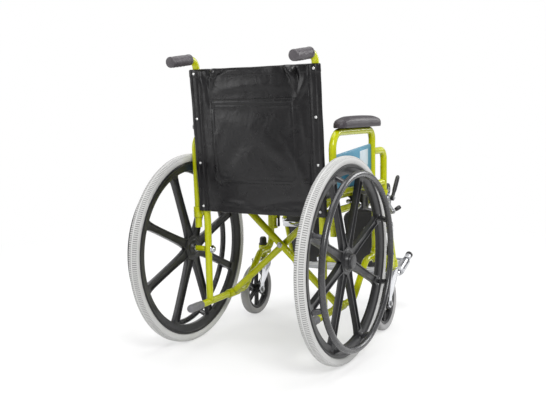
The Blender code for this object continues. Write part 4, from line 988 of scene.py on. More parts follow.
class Smalls:
    """Small shapes for Scatter, about the origin with +Z outward and +X along the row."""

    @staticmethod
    def pan_screw(r: float) -> Piece:
        """Makes a domed screw head with a cross recess.

        Args:
            r: the head's radius.

        Returns:
            The head.
        """
        head = lathe([(0, -0.0010), (r, -0.0010), (r, 0.0002), (r * 0.86, r * 0.36), (r * 0.5, r * 0.55),
                      (0, r * 0.60)], sides=14)
        return cut(head, *(box((-r * a, -r * b, r * 0.25), (r * a, r * b, r), 0)
                           for a, b in ((0.55, 0.13), (0.13, 0.55))))

    @staticmethod
    def hex_head(radius: float, height: float) -> Piece:
        """Makes a hexagon head on a washer.

        Args:
            radius: of the hexagon's corners.
            height: of the head.

        Returns:
            Head and washer.
        """
        wide, edge = radius * 1.35, radius * 1.25
        washer = lathe([(0, 0), (wide, 0), (wide, 0.0009), (edge, 0.0012), (0, 0.0012)], sides=24)
        return join(washer, lathe([(0, 0.0010), (radius, 0.0010), (radius, height - 0.0008),
                                   (radius * 0.86, height), (0, height)], sides=6))

    @staticmethod
    def stitch(length: float = 0.0036, radius: float = 0.0005) -> Piece:
        """One stitch, a short arched thread with its ends under the surface."""
        points = [(-length / 2, 0, -0.0003), (-length * 0.3, 0, radius * 0.6),
                  (length * 0.3, 0, radius * 0.6), (length / 2, 0, -0.0003)]
        return sweep(points, [radius * 0.6, radius, radius, radius * 0.6], 5)

    @staticmethod
    def tread_bar(line: Pairs, width: float, height: float) -> Piece:
        """Makes one tread bar with sloping sides, bent over the tyre.

        Args:
            line: (across, out) points of the tyre's skin.
            width: of the bar's foot.
            height: of the bar.

        Returns:
            The bar.
        """
        verts, w, last = [], width / 2, len(line) - 1
        for i, (x, z) in enumerate(line):
            (x0, z0), (x1, z1) = line[max(0, i - 1)], line[min(last, i + 1)]
            span = hypot(x1 - x0, z1 - z0)
            nx, nz = -(z1 - z0) / span, (x1 - x0) / span
            rise = height if 0 < i < last else -0.0002
            for y, out in ((-w, -0.0008), (-w * 0.78, rise), (w * 0.78, rise), (w, -0.0008)):
                verts.append((x + nx * out, y, z + nz * out))
        return mesh_object("tread", verts, ring_faces(last + 1, 4))


@dataclass
class SideFrame:
    """The bent rail, leaning cane, sockets and lugs of one side, welded and enamelled."""

    rail_bends: tuple[float, ...] = (0.045, 0.045, 0.038, 0.036)
    cane_bends: tuple[float, ...] = (0.090, 0.030)
    axle_r: float = 0.0062
    housing_r: float = 0.0165
    housing_z: float = 0.200
    housing_h: float = 0.046
    outrigger_dy: float = 0.022
    outrigger_dz: float = -0.010
    stem_r: float = 0.008
    socket_wall: float = 0.003
    rear_socket: tuple[float, float] = (0.405, 0.034)
    front_socket: tuple[float, float] = (0.420, 0.050)
    lug_z: float = 0.404
    lug_t: float = 0.008
    pin_r: float = 0.0060

    def rails(self) -> Piece:
        """Welds the rail loop and the cane with the axle sleeve, the outrigger and the caster housing.

        Returns:
            The welded tubes.
        """
        x, rear, front = LAY.frame_x, LAY.rear_post_y, LAY.front_post_y
        loop = [(x, LAY.rail_rear_y, LAY.rail_z), (x, LAY.rise_y, LAY.rail_z), (x, LAY.step_y, LAY.step_z),
                (x, front, LAY.step_z), (x, front, LAY.upper_rail_z), (x, rear, LAY.upper_rail_z)]
        cane = [(x, rear, LAY.rail_z), (x, rear, LAY.cane_bend_z),
                (x, LAY.cane_y(LAY.cane_top_z), LAY.cane_top_z),
                (x, LAY.handle_end_y, LAY.cane_top_z - LAY.handle_drop)]
        sleeve = rod((x, LAY.wheel_y, LAY.wheel_r), (LAY.sleeve_end_x, LAY.wheel_y, LAY.wheel_r),
                     LAY.axle_sleeve_r)
        housing = upright(LAY.caster_x, LAY.caster_stem_y, self.housing_z, self.housing_z + self.housing_h,
                          self.housing_r, 36, 0.001)
        low = LAY.step_z + self.outrigger_dz
        outrigger = rod((x, front + self.outrigger_dy, low), (LAY.caster_x - 0.004, LAY.caster_stem_y, low),
                        LAY.tube_r * 0.9)
        return weld(sweep(round_path(loop, self.rail_bends), LAY.tube_r),
                    sweep(round_path(cane, self.cane_bends, 12), LAY.tube_r), sleeve, outrigger, housing)

    def sockets(self, body: Piece) -> Piece:
        """Adds the two armrest sockets on their tabs.

        Args:
            body: the welded tubes.

        Returns:
            The body with both sockets bored.
        """
        x, bore = LAY.arm_x, LAY.tube_r + LAY.run
        for y, post_y, (z, height) in ((LAY.rear_post_y, LAY.rear_post_y, self.rear_socket),
                                       (LAY.arm_front_y, LAY.front_post_y, self.front_socket)):
            tab_z = z + (0.006 if height < 0.04 else 0.004)
            tab = box((LAY.frame_x + 0.004, min(y, post_y) - 0.004, tab_z),
                      (x - 0.006, max(y, post_y) + 0.004, tab_z + 0.014), 0.0015)
            collar = upright(x, y, z, z + height, bore + self.socket_wall, 36)
            body = cut(weld(body, collar, tab), upright(x, y, z - 0.01, z + height + 0.01, bore, 36))
        return body

    def lugs(self, body: Piece) -> Piece:
        """Adds the lower pin and the upper ring in which the hanger swings.

        Args:
            body: the side frame so far.

        Returns:
            The body with both lugs.
        """
        x, y, foot, ring = LAY.leg_x, LAY.hanger_y, LAY.hanger_foot_z - LAY.touch, self.lug_z
        tie_x, tie_y = LAY.frame_x, LAY.front_post_y - 0.004
        lower = prism(rounded_rect(0.028, 0.030, 0.010), (x, y + 0.004, foot - self.lug_t / 2), OUT, BACK,
                      self.lug_t, 0.001)
        lower_tie = box((tie_x - 0.008, y + 0.008, foot - self.lug_t), (tie_x + 0.008, tie_y, foot), 0.001)
        pin = upright(x, y, LAY.hanger_foot_z - 0.004, LAY.hanger_foot_z + 0.018, self.pin_r)
        bore = LAY.tube_r + LAY.run
        upper = upright(x, y, ring, ring + 0.012, bore + 0.0032, 36)
        upper_tie = box((tie_x - 0.007, y + 0.011, ring + 0.001), (tie_x + 0.007, tie_y, ring + 0.011), 0.001)
        hole = upright(x, y, ring - 0.004, ring + 0.016, bore + 0.0002, 36)
        return cut(weld(body, lower, lower_tie, pin, upper, upper_tie), hole)

    def bores(self, body: Piece) -> Piece:
        """Bores the body for the axle, the caster's stem and the rail plug.

        Args:
            body: the side frame so far.

        Returns:
            The bored body.
        """
        x, z, plug_y = LAY.frame_x, self.housing_z, LAY.rail_rear_y
        axle = rod((x - 0.02, LAY.wheel_y, LAY.wheel_r), (LAY.sleeve_end_x + 0.01, LAY.wheel_y, LAY.wheel_r),
                   self.axle_r + LAY.touch)
        stem = upright(LAY.caster_x, LAY.caster_stem_y, z - 0.01, z + self.housing_h + 0.01,
                       self.stem_r + LAY.run)
        plug = rod((x, plug_y - 0.023, LAY.rail_z), (x, plug_y + 0.01, LAY.rail_z), LAY.tube_r * 0.72)
        return cut(body, axle, stem, plug)

    def beads(self) -> Piece:
        """Lays weld beads where tubes meet.

        Returns:
            All beads of the side.
        """
        x, y, r = LAY.frame_x, LAY.hanger_y, LAY.tube_r
        rear, post = (x, LAY.rear_post_y, 0), (x, LAY.front_post_y, 0)
        low = LAY.step_z + self.outrigger_dz
        stem = Vector((LAY.caster_x, LAY.caster_stem_y, low))
        reach = (stem - Vector((x, LAY.front_post_y + self.outrigger_dy, low))).normalized()
        return join(
            weld_bead((x, LAY.rear_post_y - 0.05, LAY.upper_rail_z), BACK, r, rear, UP, r),
            weld_bead((x, LAY.rear_post_y, LAY.rail_z + 0.05), -UP, r, (x, 0, LAY.rail_z), BACK, r),
            weld_bead((x + 0.04, LAY.wheel_y, LAY.wheel_r), -OUT, LAY.axle_sleeve_r, rear, UP, r * 1.25,
                      0.0015),
            weld_bead(stem - reach * 0.035, reach, r * 0.9, stem, UP, self.housing_r),
            weld_bead((x, y + 0.012, LAY.hanger_foot_z - 0.004), BACK, 0.0062, post, UP, r, 0.0012),
            weld_bead((x, y + 0.015, self.lug_z + 0.006), BACK, 0.0062, post, UP, r, 0.0012))

    def buttons(self) -> Piece:
        """Places the spring buttons that hold the armrest in its sockets.

        Returns:
            Both buttons.
        """
        face = LAY.arm_x + LAY.tube_r + LAY.run + self.socket_wall
        places = [((face, LAY.rear_post_y, self.rear_socket[0] + 0.018), OUT, UP),
                  ((face, LAY.arm_front_y, self.front_socket[0] + 0.036), OUT, UP)]
        dome = lathe(mm((0, -1), (3.4, -1), (3.4, 1.2), (2.4, 2.4), (0, 2.8)), sides=20)
        return Scatter.run(dome, places, ZINC)

    def build(self) -> None:
        """Builds and dresses both side frames."""
        body = self.bores(self.lugs(self.sockets(self.rails())))
        pair(dress(body, ENAMEL), "side_frame", "side", "side_frame")
        pair(dress(self.beads(), BEAD), "side_frame_welds", "side", "")
        pair(self.buttons(), "socket_buttons", "side")


@dataclass
class Handles:
    """Ribbed push grips that droop a little, and the grey plug on the rear of the lower rail."""

    grip_r: float = 0.0158
    grip_length: float = 0.100
    wall: float = 0.006
    ribs: int = 15
    rib_depth: float = 0.0007
    finger_depth: float = 0.0016
    fingers: int = 5
    plug_r: float = 0.0130
    plug_length: float = 0.066

    def grip(self) -> Piece:
        """Turns the grip with its ribs, then presses the finger waves into its underside.

        Returns:
            The grip.
        """
        drop = LAY.handle_drop / (LAY.handle_end_y - LAY.cane_y(LAY.cane_top_z))
        axis = Vector((0, 1, -drop)).normalized()
        end = Vector((LAY.frame_x, LAY.handle_end_y, LAY.cane_top_z - LAY.handle_drop))
        bore, reach = LAY.tube_r + LAY.touch, self.grip_length - self.wall
        r, wall, count = self.grip_r, self.wall, self.ribs * 8
        outer = [(0, wall), (r * 0.6, wall), (r * 0.88, wall * 0.86), (r, wall * 0.5), (r * 1.02, 0.0),
                 (r * 0.98, -0.004)]
        for k in range(count + 1):
            t = k / count
            groove = self.rib_depth * max(0.0, cos(2 * pi * self.ribs * t)) ** 1.5
            outer.append((r * (1.0 + 0.035 * sin(pi * t)) * 0.985 - groove, -0.005 - (reach - 0.016) * t))
        outer += [(r * 0.99, -reach + 0.010), (r * 1.05, -reach + 0.007), (r * 1.05, -reach + 0.002),
                  (r * 0.9, -reach), (bore, -reach), (bore, LAY.touch), (0, LAY.touch)]
        grip = lathe(outer, end, axis, 40)
        for vert in grip.data.vertices:
            local = vert.co - end
            back = -local.dot(axis)
            radial = local + axis * back
            if 0.004 < back < reach - 0.008 and radial.length > bore + 0.001:
                below = max(0.0, -radial.normalized().z) ** 2
                wave = 0.5 - 0.5 * cos(2 * pi * self.fingers * (back - 0.004) / (reach - 0.012))
                vert.co += radial.normalized() * (below * self.finger_depth * (wave - 0.3))
        return grip

    def plug(self) -> Piece:
        """Turns the plug, with a spigot inside the rail and a ring round its middle.

        Returns:
            The plug.
        """
        tube, spigot = LAY.tube_r, LAY.tube_r * 0.72 - LAY.touch
        r, length = self.plug_r, self.plug_length
        profile = [(0, -0.022), (spigot, -0.022), (spigot, LAY.touch), (tube + 0.001, LAY.touch),
                   (tube + 0.0016, 0.0020), (r * 0.90, 0.010), (r * 0.97, 0.015), (r, 0.021), (r, 0.030),
                   (r * 0.955, 0.031), (r * 0.955, 0.033), (r, 0.034), (r, length - 0.014),
                   (r * 0.97, length - 0.007), (r * 0.86, length - 0.0025), (r * 0.6, length), (0, length)]
        return lathe(profile, (LAY.frame_x, LAY.rail_rear_y, LAY.rail_z), BACK, 40)

    def build(self) -> None:
        """Builds and dresses the grips and plugs."""
        pair(dress(self.grip(), GRIP, 50), "push_grip", "side", "grip")
        pair(dress(self.plug(), GREY_PLASTIC), "rail_plug", "side", "rail_plug")


def spoke_directions(count: int, phase: float) -> Iterator[tuple[Vector, Vector]]:
    """Outward and sideways unit vectors of each spoke of a wheel that turns about x."""
    for k in range(count):
        a = phase + 2 * pi * k / count
        yield Vector((0, sin(a), cos(a))), Vector((0, cos(a), -sin(a)))


@dataclass
class RearWheel:
    """Light grey tyre on a black moulded wheel with eight channelled spokes, and the push rim."""

    spokes: int = 8
    phase: float = radians(20.5)
    spoke_t: float = 0.016
    web_t: float = 0.006
    wall: float = 0.0036
    rim_h: float = 0.030
    hub_r: float = 0.034
    hub_inner: float = 0.017
    hub_outer: float = 0.018
    axle_bore: float = 0.0068
    handrim_r: float = 0.2520
    handrim_tube: float = 0.0094
    handrim_x: float = 0.3140
    tab_w: float = 0.014
    tab_foot: float = 0.016
    tread_bars: int = 300

    def __post_init__(self) -> None:
        """Works out the axle's place and the rim's radius."""
        self.centre = Vector((LAY.wheel_x, LAY.wheel_y, LAY.wheel_r))
        self.axis_foot = Vector((0, LAY.wheel_y, LAY.wheel_r))
        self.rim_r = LAY.wheel_r - LAY.tyre_h

    def tyre_point(self, t: float) -> tuple[float, float]:
        """Radius and sideways place of the tyre's skin at an angle in degrees from its crown."""
        mid, t = LAY.wheel_r - 0.0155, radians(t)
        return (mid + (LAY.wheel_r - 0.0009 - mid) * cos(t) ** 0.62,
                LAY.tyre_w / 2 * (1 if t > 0 else -1) * abs(sin(t)) ** 0.85)

    def tyre(self) -> Piece:
        """Turns the tyre and paints the rubber under the tread bars darker.

        Returns:
            The dressed tyre.
        """
        rim, half = self.rim_r, LAY.tyre_w / 2
        points = [(rim + LAY.touch, -half * 0.80), (rim + 0.004, -half * 0.93)]
        points += [self.tyre_point(-88 + 176 * k / 24) for k in range(25)]
        points += [(rim + 0.004, half * 0.93), (rim + LAY.touch, half * 0.80), (rim - 0.0026, half * 0.35),
                   (rim - 0.0026, -half * 0.35)]
        tyre = dress(lathe(points, self.centre, OUT, 160), TYRE, 50)
        tyre.data.materials.append(TYRE_GROOVE.material())
        low, high, least = self.tyre_point(9)[1], self.tyre_point(64)[1], self.tyre_point(70)[0]
        for face in tyre.data.polygons:
            out = hypot(face.center.y - self.centre.y, face.center.z - self.centre.z)
            if low < abs(face.center.x - self.centre.x) < high and out > least:
                face.material_index = 1
        return tyre

    def tread(self) -> Piece:
        """Sets bars from beside the crown round both shoulders, with a narrow groove between each two.

        Returns:
            All bars.
        """
        line = [self.tyre_point(t)[::-1] for t in (9, 11, 22, 34, 46, 58, 64, 66)]
        places = []
        for side in (-1, 1):
            for out, across in spoke_directions(self.tread_bars, pi / self.tread_bars if side > 0 else 0.0):
                places.append((self.centre, out, (side, 0, 0)))
        pitch = 2 * pi * LAY.wheel_r / self.tread_bars
        return Scatter.run(Smalls.tread_bar(line, pitch * 0.66, 0.0009), places, TYRE)

    def spoke(self) -> Piece:
        """Makes one spoke along +Z with a channel in each face.

        Returns:
            The spoke.
        """
        shape = mm((26, 19.5), (40, 17.2), (60, 14.2), (85, 12.5), (125, 11.4), (190, 10.8), (225, 11.3),
                   (243, 13)) + [(self.rim_r - self.rim_h + 0.007, 0.0165)]
        outline = [(r, -w) for r, w in shape] + shape[::-1]
        blade = prism(outline, self.centre, UP, BACK, self.spoke_t, 0)
        inner = [(r, w - self.wall) for r, w in shape[1:-1]]
        recess = [(r, -w) for r, w in inner] + inner[::-1]
        for side in (-1, 1):
            at = self.centre + OUT * (side * self.spoke_t / 2)
            blade = cut(blade, prism(recess, at, UP, BACK, self.spoke_t - self.web_t, 0))
        return soften(blade, 0.0011, 2, 40)

    def wheel(self) -> Piece:
        """Moulds rim, spokes and hub in one, bored for the axle.

        Returns:
            The wheel.
        """
        rim, half = self.rim_r, LAY.tyre_w / 2
        side = [(rim - 0.0001, half * 0.79)]
        side += mm((-1, 13.9), (-3.6, 14.5), (-6.2, 14), (-7.5, 12.4), (-8.8, 11.3), (-14, 10.6), (-20, 9),
                   (-27, 7.2), (-29.5, 5.6), u=rim) + [(rim - self.rim_h, 0.0030)]
        seat = [(rim - 0.003, -half * 0.35), (rim - 0.003, half * 0.35)]
        wheel = lathe(seat + side + [(r, -h) for r, h in side[::-1]], self.centre, OUT, 144)
        blade = self.spoke()
        for k in range(self.spokes):
            turn = Matrix.Rotation(-(self.phase + 2 * pi * k / self.spokes), 4, "X")
            copy = link("spoke", blade.data.copy())
            copy.data.transform(Matrix.Translation(self.centre) @ turn @ Matrix.Translation(-self.centre))
            wheel = weld(wheel, copy)
        bpy.data.objects.remove(blade, do_unlink=True)
        bore, inner, outer, r = self.axle_bore, self.hub_inner, self.hub_outer, self.hub_r
        hub = [(bore, -inner), (0.0185, -inner), (0.0200, -inner + 0.0015), (0.0235, -0.0110),
               (0.0250, -0.0100), (r - 0.0015, -0.0098), (r, -0.0084), (r, 0.0084), (r - 0.0015, 0.0098),
               (0.0300, 0.0100), (0.0290, 0.0088), (0.0260, 0.0088), (0.0250, 0.0104), (0.0232, 0.0120),
               (0.0220, outer - 0.0015), (0.0205, outer), (bore, outer)]
        wheel = weld(wheel, lathe(hub, self.centre, OUT, 64))
        return cut(wheel, rod(self.centre - OUT * 0.03, self.centre + OUT * 0.04, bore, 28))

    def push_rim(self) -> Piece:
        """Welds the hoop to its eight pressed lugs.

        Returns:
            The push rim.
        """
        x, r, tube = self.handrim_x, self.handrim_r, self.handrim_tube
        section = [(r + tube * cos(2 * pi * k / 20), tube * sin(2 * pi * k / 20)) for k in range(20)]
        hoop = lathe(section, self.centre + OUT * (x - LAY.wheel_x), OUT, 144)
        near, foot = LAY.wheel_x + 0.0135 + LAY.touch, self.rim_r - self.tab_foot
        outline = [(near, foot + 0.0075), (near + 0.004, foot + 0.0072), (x - 0.008, r + 0.006),
                   (x, r + 0.004), (x, r - 0.004), (x - 0.010, r - 0.003), (near + 0.003, foot - 0.0066),
                   (near, foot - 0.0075)]
        for out, across in spoke_directions(self.spokes, self.phase):
            hoop = weld(hoop, prism(outline, self.axis_foot, OUT, out, self.tab_w, 0.0014))
        return hoop

    def rim_screws(self) -> Piece:
        """Places two screws in each lug's foot.

        Returns:
            All screws of the wheel.
        """
        places, depth = [], OUT * 0.0098
        for out, across in spoke_directions(self.spokes, self.phase):
            for side in (-1, 1):
                at = self.centre + out * (self.rim_r - self.tab_foot) + across * (side * 0.0098) + depth
                places.append((at, OUT, across))
        return Scatter.run(Smalls.pan_screw(0.0027), places, ZINC)

    def axle(self) -> Piece:
        """Turns the axle with its nut and washers. Heights are places along x.

        Returns:
            The axle's parts in one.
        """
        inner = LAY.frame_x - LAY.tube_r - LAY.touch
        outer = LAY.wheel_x + self.hub_outer + LAY.run
        sleeve = LAY.axle_sleeve_r + LAY.touch
        shaft = mm((0, -9.2), (5.2, -9.2), (6, -8.2), (6.2, -2), v=inner) + mm(
            (6.2, 0), (13.5, 0), (13.8, 1), (13.2, 3), (11.2, 4.4), (8, 5.2), (0, 5.6), v=outer)
        nut = mm((0, -7.8), (9.4, -7.8), (10.4, -6.8), (10.4, -1.6), (0, -1.6), v=inner)
        washer = mm((0, -1.7), (12.6, -1.7), (13, -1.2), (13, 0), (0, 0), v=inner)
        spacer = [(sleeve, -0.0026), *mm((11.2, -2.6), (11.8, -2), (11.8, -0.6), (11.2, 0)), (sleeve, 0)]
        at = self.axis_foot
        return join(lathe(shaft, at, OUT, 40), lathe(nut, at, OUT, 6), lathe(washer, at, OUT, 40),
                    lathe(spacer, at + OUT * LAY.sleeve_end_x, OUT, 40))

    def cap(self) -> Piece:
        """Turns the dust cap pressed over the hub, hollow where the axle's end turns in it.

        Returns:
            The cap.
        """
        profile = mm((16, -0.6), (22.2, -0.6), (23, 0.2), (23, 2.4), (22.2, 3.2), (21.7, 5.8), (21, 7.4),
                     (19.4, 8.2), (12, 8.4), (11.4, 7.9), (10.8, 8.4), (5, 8.6), (0, 8.6), (0, 7),
                     (12, 6.6), (16, 5.6), v=self.hub_outer)
        return lathe(profile, self.centre, OUT, 56)

    def build(self) -> None:
        """Builds and dresses both wheels and axles."""
        pair(self.tyre(), "tyre", "wheel", "tyre")
        pair(self.tread(), "tyre_tread", "wheel", "")
        pair(dress(self.wheel(), NYLON), "mag_wheel", "wheel", "mag_wheel")
        pair(dress(self.push_rim(), RIM_COAT), "push_rim", "wheel", "handrim")
        pair(self.rim_screws(), "push_rim_screws", "wheel")
        pair(dress(self.cap(), NYLON), "hub_cap", "wheel", "")
        pair(dress(self.axle(), CHROME), "axle", "side", "axle_bolt")


@dataclass
class Caster:
    """Grey solid tyre on a six-spoke core in a bright pressed fork, with its stem cap."""

    tyre_w: float = 0.030
    tyre_h: float = 0.021
    spokes: int = 6
    fork_inner: float = 0.021
    fork_t: float = 0.005
    crown_gap: float = 0.007
    crown_t: float = 0.008
    pin_r: float = 0.005
    stem_r: float = 0.008
    race_top: float = 0.1996
    housing_top: float = 0.246
    cap_r: float = 0.0150
    cap_h: float = 0.030

    def __post_init__(self) -> None:
        """Works out the wheel's middle and the core's radius."""
        self.hub = Vector((LAY.caster_x, LAY.caster_stem_y + LAY.caster_trail, LAY.caster_r))
        self.rim, self.half = LAY.caster_r - self.tyre_h, self.tyre_w / 2

    def tyre(self) -> Piece:
        """Turns the rounded solid tyre.

        Returns:
            The tyre.
        """
        rim, half, mid = self.rim, self.half, LAY.caster_r - 0.012
        points = [(rim + LAY.touch, -half * 0.75), (rim + 0.004, -half * 0.92)]
        for k in range(17):
            t = radians(-86 + 172 * k / 16)
            points.append((mid + (LAY.caster_r - mid) * cos(t) ** 0.6,
                           half * (1 if t > 0 else -1) * abs(sin(t)) ** 0.85))
        points += [(rim + 0.004, half * 0.92), (rim + LAY.touch, half * 0.75)]
        return lathe(points, self.hub, OUT, 96)

    def core(self) -> Piece:
        """Moulds the ring, three channelled blades across the wheel and the boss.

        Returns:
            The core.
        """
        rim, half, reach = self.rim, self.half, self.rim - 0.006
        side = [(rim, half * 0.72), (rim - 0.0015, half * 0.80), (rim - 0.0045, half * 0.78),
                (rim - 0.0055, half * 0.66), (rim - 0.009, half * 0.58), (rim - 0.010, half * 0.40)]
        ring = lathe(side + [(r, -h) for r, h in side[::-1]], self.hub, OUT, 96)
        wide = [(-reach, 0.0090), (-reach * 0.55, 0.0062), (-0.012, 0.0080), (0.012, 0.0080),
                (reach * 0.55, 0.0062), (reach, 0.0090)]
        blades = []
        for out, across in list(spoke_directions(self.spokes, 0))[:self.spokes // 2]:
            blade = prism(wide + [(u, -v) for u, v in wide[::-1]], self.hub, out, across, 0.011, 0)
            for side, end in ((-1, -1), (-1, 1), (1, -1), (1, 1)):
                near, far = end * 0.019, end * (reach - 0.008)
                slot = [(near, -0.0034), (far, -0.0040), (far, 0.0040), (near, 0.0034)]
                blade = cut(blade, prism(slot, self.hub + OUT * (side * 0.0055), out, across, 0.0052, 0))
            blades.append(soften(blade, 0.0006, 2, 40))
        bore, face = self.pin_r + 0.0006, self.fork_inner
        flank = [(bore, face - 0.001), (0.0098, face - 0.001), (0.0110, face - 0.002), (0.0120, 0.012),
                 (0.0152, 0.0092), (0.0160, 0.0075)]
        boss = lathe([(r, -h) for r, h in flank] + flank[::-1], self.hub, OUT, 48)
        return cut(weld(ring, *blades, boss), through(self.hub, OUT, face + self.fork_t, bore, 24))

    def fork(self) -> Piece:
        """Welds two tapering legs under a crown, with the axle pin, the race and the stem.

        Returns:
            The fork.
        """
        hub, y, legs = self.hub, LAY.caster_stem_y, []
        crown = 2 * LAY.caster_r + self.crown_gap
        top = crown + self.crown_t
        eye = [(hub.y + 0.0140 * cos(radians(a)), hub.z + 0.0140 * sin(radians(a)))
               for a in range(170, 371, 20)]
        outline = [(y - 0.013, top), (y - 0.0135, crown - 0.004), (y - 0.006, crown - 0.030),
                   (hub.y - 0.0145, hub.z + 0.020), *eye, (hub.y + 0.0115, hub.z + 0.020),
                   (hub.y - 0.004, crown - 0.022), (hub.y - 0.010, crown), (hub.y - 0.014, top)]
        wide = self.fork_inner + self.fork_t / 2
        for side in (-1, 1):
            legs.append(prism(outline, (hub.x + side * wide, 0, 0), BACK, UP, self.fork_t, 0.0012))
        bridge = box((hub.x - wide, y - 0.0125, crown), (hub.x + wide, hub.y - 0.0145, top - 0.0004), 0.0015)
        stem = upright(hub.x, y, crown + 0.002, self.housing_top + 0.006, self.stem_r, 32)
        race = upright(hub.x, y, top - 0.002, self.race_top, 0.0140, 40, 0.0008)
        pin = through(hub, OUT, wide + 0.008, self.pin_r * 0.96, 24, 0.001)
        return weld(bridge, *legs, stem, race, pin)

    def nuts(self) -> Piece:
        """The nuts on both ends of the axle pin."""
        face = self.fork_inner + self.fork_t - 0.0002
        places = [(self.hub + OUT * (side * face), (side, 0, 0), BACK) for side in (-1, 1)]
        return Scatter.run(Smalls.hex_head(0.0082, 0.0062), places, ZINC)

    def cap(self) -> Piece:
        """Turns the cap over the stem's bearing.

        Returns:
            The cap.
        """
        r, top, flange, bore = self.cap_r, self.cap_h, self.cap_r + 0.001, self.stem_r + LAY.run
        profile = [(0, 0.009), (bore, 0.009), (bore, 0), (flange - 0.0006, 0), (flange, 0.0006),
                   (flange, 0.0052), (flange - 0.0008, 0.0062), (r - 0.0016, 0.0066), (r - 0.0020, 0.0085),
                   (r - 0.0026, top - 0.0075), (r - 0.0042, top - 0.0030), (r - 0.0075, top - 0.0006),
                   (0, top)]
        return lathe(profile, (LAY.caster_x, LAY.caster_stem_y, self.housing_top + LAY.touch))

    def build(self) -> None:
        """Builds and dresses both casters."""
        pair(dress(self.tyre(), CASTER_RUBBER, 50), "caster_tyre", "caster_wheel", "caster_tyre")
        pair(dress(self.core(), NYLON), "caster_core", "caster_wheel", "caster_core")
        pair(dress(self.fork(), CHROME), "caster_fork", "caster_fork", "caster_fork")
        pair(self.nuts(), "caster_nuts", "caster_fork")
        pair(dress(self.cap(), PLASTIC), "caster_cap", "side", "caster_cap")


@dataclass
class CrossBrace:
    """Two crossed tubes, each with its seat rail on top and its pivot sleeve round a lower rail."""

    y: float = -0.120
    spacing: float = 0.0252
    sleeve_length: float = 0.060
    sleeve_wall: float = 0.0022
    bolt_r: float = 0.005
    head_r: float = 0.0082
    head_t: float = 0.006

    def __post_init__(self) -> None:
        """Works out where the two members cross, and the sleeves' radii."""
        rise, run = LAY.seat_rail_z - LAY.rail_z, LAY.frame_x + LAY.seat_rail_x
        self.centre = Vector((0, self.y - self.spacing / 2, LAY.rail_z + LAY.frame_x * rise / run))
        self.bore_r = LAY.tube_r + LAY.run + 0.0004
        self.sleeve_r = self.bore_r + self.sleeve_wall

    def ends(self, side: float, y: float) -> tuple[Vector, Vector]:
        """The middles of a member's pivot sleeve and of its seat rail."""
        return (Vector((side * LAY.frame_x, y, LAY.rail_z)),
                Vector((-side * LAY.seat_rail_x, y, LAY.seat_rail_z)))

    def member(self, side: float, y: float) -> Piece:
        """Welds one tube to its rail and its sleeve, bored for the lower rail and for the bolt.

        Args:
            side: 1 where the sleeve is on the left, -1 on the right.
            y: the tube's place along the chair.

        Returns:
            The member.
        """
        (low, high), r = self.ends(side, y), LAY.tube_r
        rail = rod((high.x, LAY.seat_rail_front_y + 0.003, high.z),
                   (high.x, LAY.seat_rail_rear_y - 0.003, high.z), r)
        tube = rod(low + (high - low).normalized() * (self.sleeve_r * 0.9), high, r)
        member = weld(tube, rail, through(low, BACK, self.sleeve_length / 2, self.sleeve_r, 36, 0.001))
        return cut(member, through(low, BACK, self.sleeve_length, self.bore_r, 36),
                   through((0, y, self.centre.z), BACK, r * 2, self.bolt_r + LAY.run, 24))

    def beads(self, side: float, y: float) -> Piece:
        """Lays the weld beads at both ends of a member's tube.

        Args:
            side: 1 where the sleeve is on the left, -1 on the right.
            y: the tube's place along the chair.

        Returns:
            Both beads.
        """
        low, high = self.ends(side, y)
        reach = (high - low).normalized() * 0.05
        return join(weld_bead(low + reach, -reach, LAY.tube_r, low, BACK, self.sleeve_r),
                    weld_bead(high - reach, reach, LAY.tube_r, high, BACK, LAY.tube_r))

    def plugs(self, side: float, y: float) -> Piece:
        """Turns the plastic plugs in both ends of a member's seat rail.

        Args:
            side: 1 where the sleeve is on the left, -1 on the right.
            y: the tube's place along the chair.

        Returns:
            Both plugs.
        """
        high, r = self.ends(side, y)[1], LAY.tube_r
        profile = [(0, 0), (r * 0.9, 0), (r * 0.9, 0.001), (r, 0.0012), (r, 0.0028), (r * 0.85, 0.0040),
                   (0, 0.0040)]
        return join(*(lathe(profile, (high.x, end_y - way * 0.004, high.z), BACK * way, 28)
                      for end_y, way in ((LAY.seat_rail_front_y, -1), (LAY.seat_rail_rear_y, 1))))

    def bolt(self) -> Piece:
        """Turns the bolt with the washer between the members, then adds head and nut.

        Returns:
            The bolt.
        """
        gap, bolt, head = self.spacing / 2, self.bolt_r, self.head_r
        face, washer = gap + LAY.tube_r + LAY.touch, gap - LAY.tube_r - LAY.touch
        shaft = lathe([(0, -face - 0.001), (bolt, -face - 0.001), (bolt, -washer), (head - 0.0004, -washer),
                       (head, -washer + 0.0003), (head, washer - 0.0003), (head - 0.0004, washer),
                       (bolt, washer), (bolt, face + 0.0052), (0, face + 0.0056)], self.centre, BACK, 32)
        ends = []
        for way, height in ((-1, self.head_t), (1, self.head_t * 0.8)):
            end = Smalls.hex_head(head * 0.80, height)
            turn = Matrix.Rotation(-way * pi / 2, 4, "X")
            end.data.transform(Matrix.Translation(self.centre + BACK * (way * face)) @ turn)
            ends.append(end)
        return join(shaft, *ends)

    def build(self) -> None:
        """Builds and dresses both members and their bolt."""
        for name, side, y in (("front", 1, self.y - self.spacing), ("rear", -1, self.y)):
            body = f"{name}_member"
            settle(dress(self.member(side, y), ENAMEL), f"{name}_cross_member_fine", body,
                   [f"{name}_cross_member"])
            settle(dress(self.beads(side, y), BEAD), f"{name}_cross_welds_fine", body, ())
            settle(dress(self.plugs(side, y), PLASTIC), f"{name}_seat_rail_plugs_fine", body, ())
        settle(dress(self.bolt(), ZINC), "cross_bolt_fine", "front_member", ["cross_bolt"])


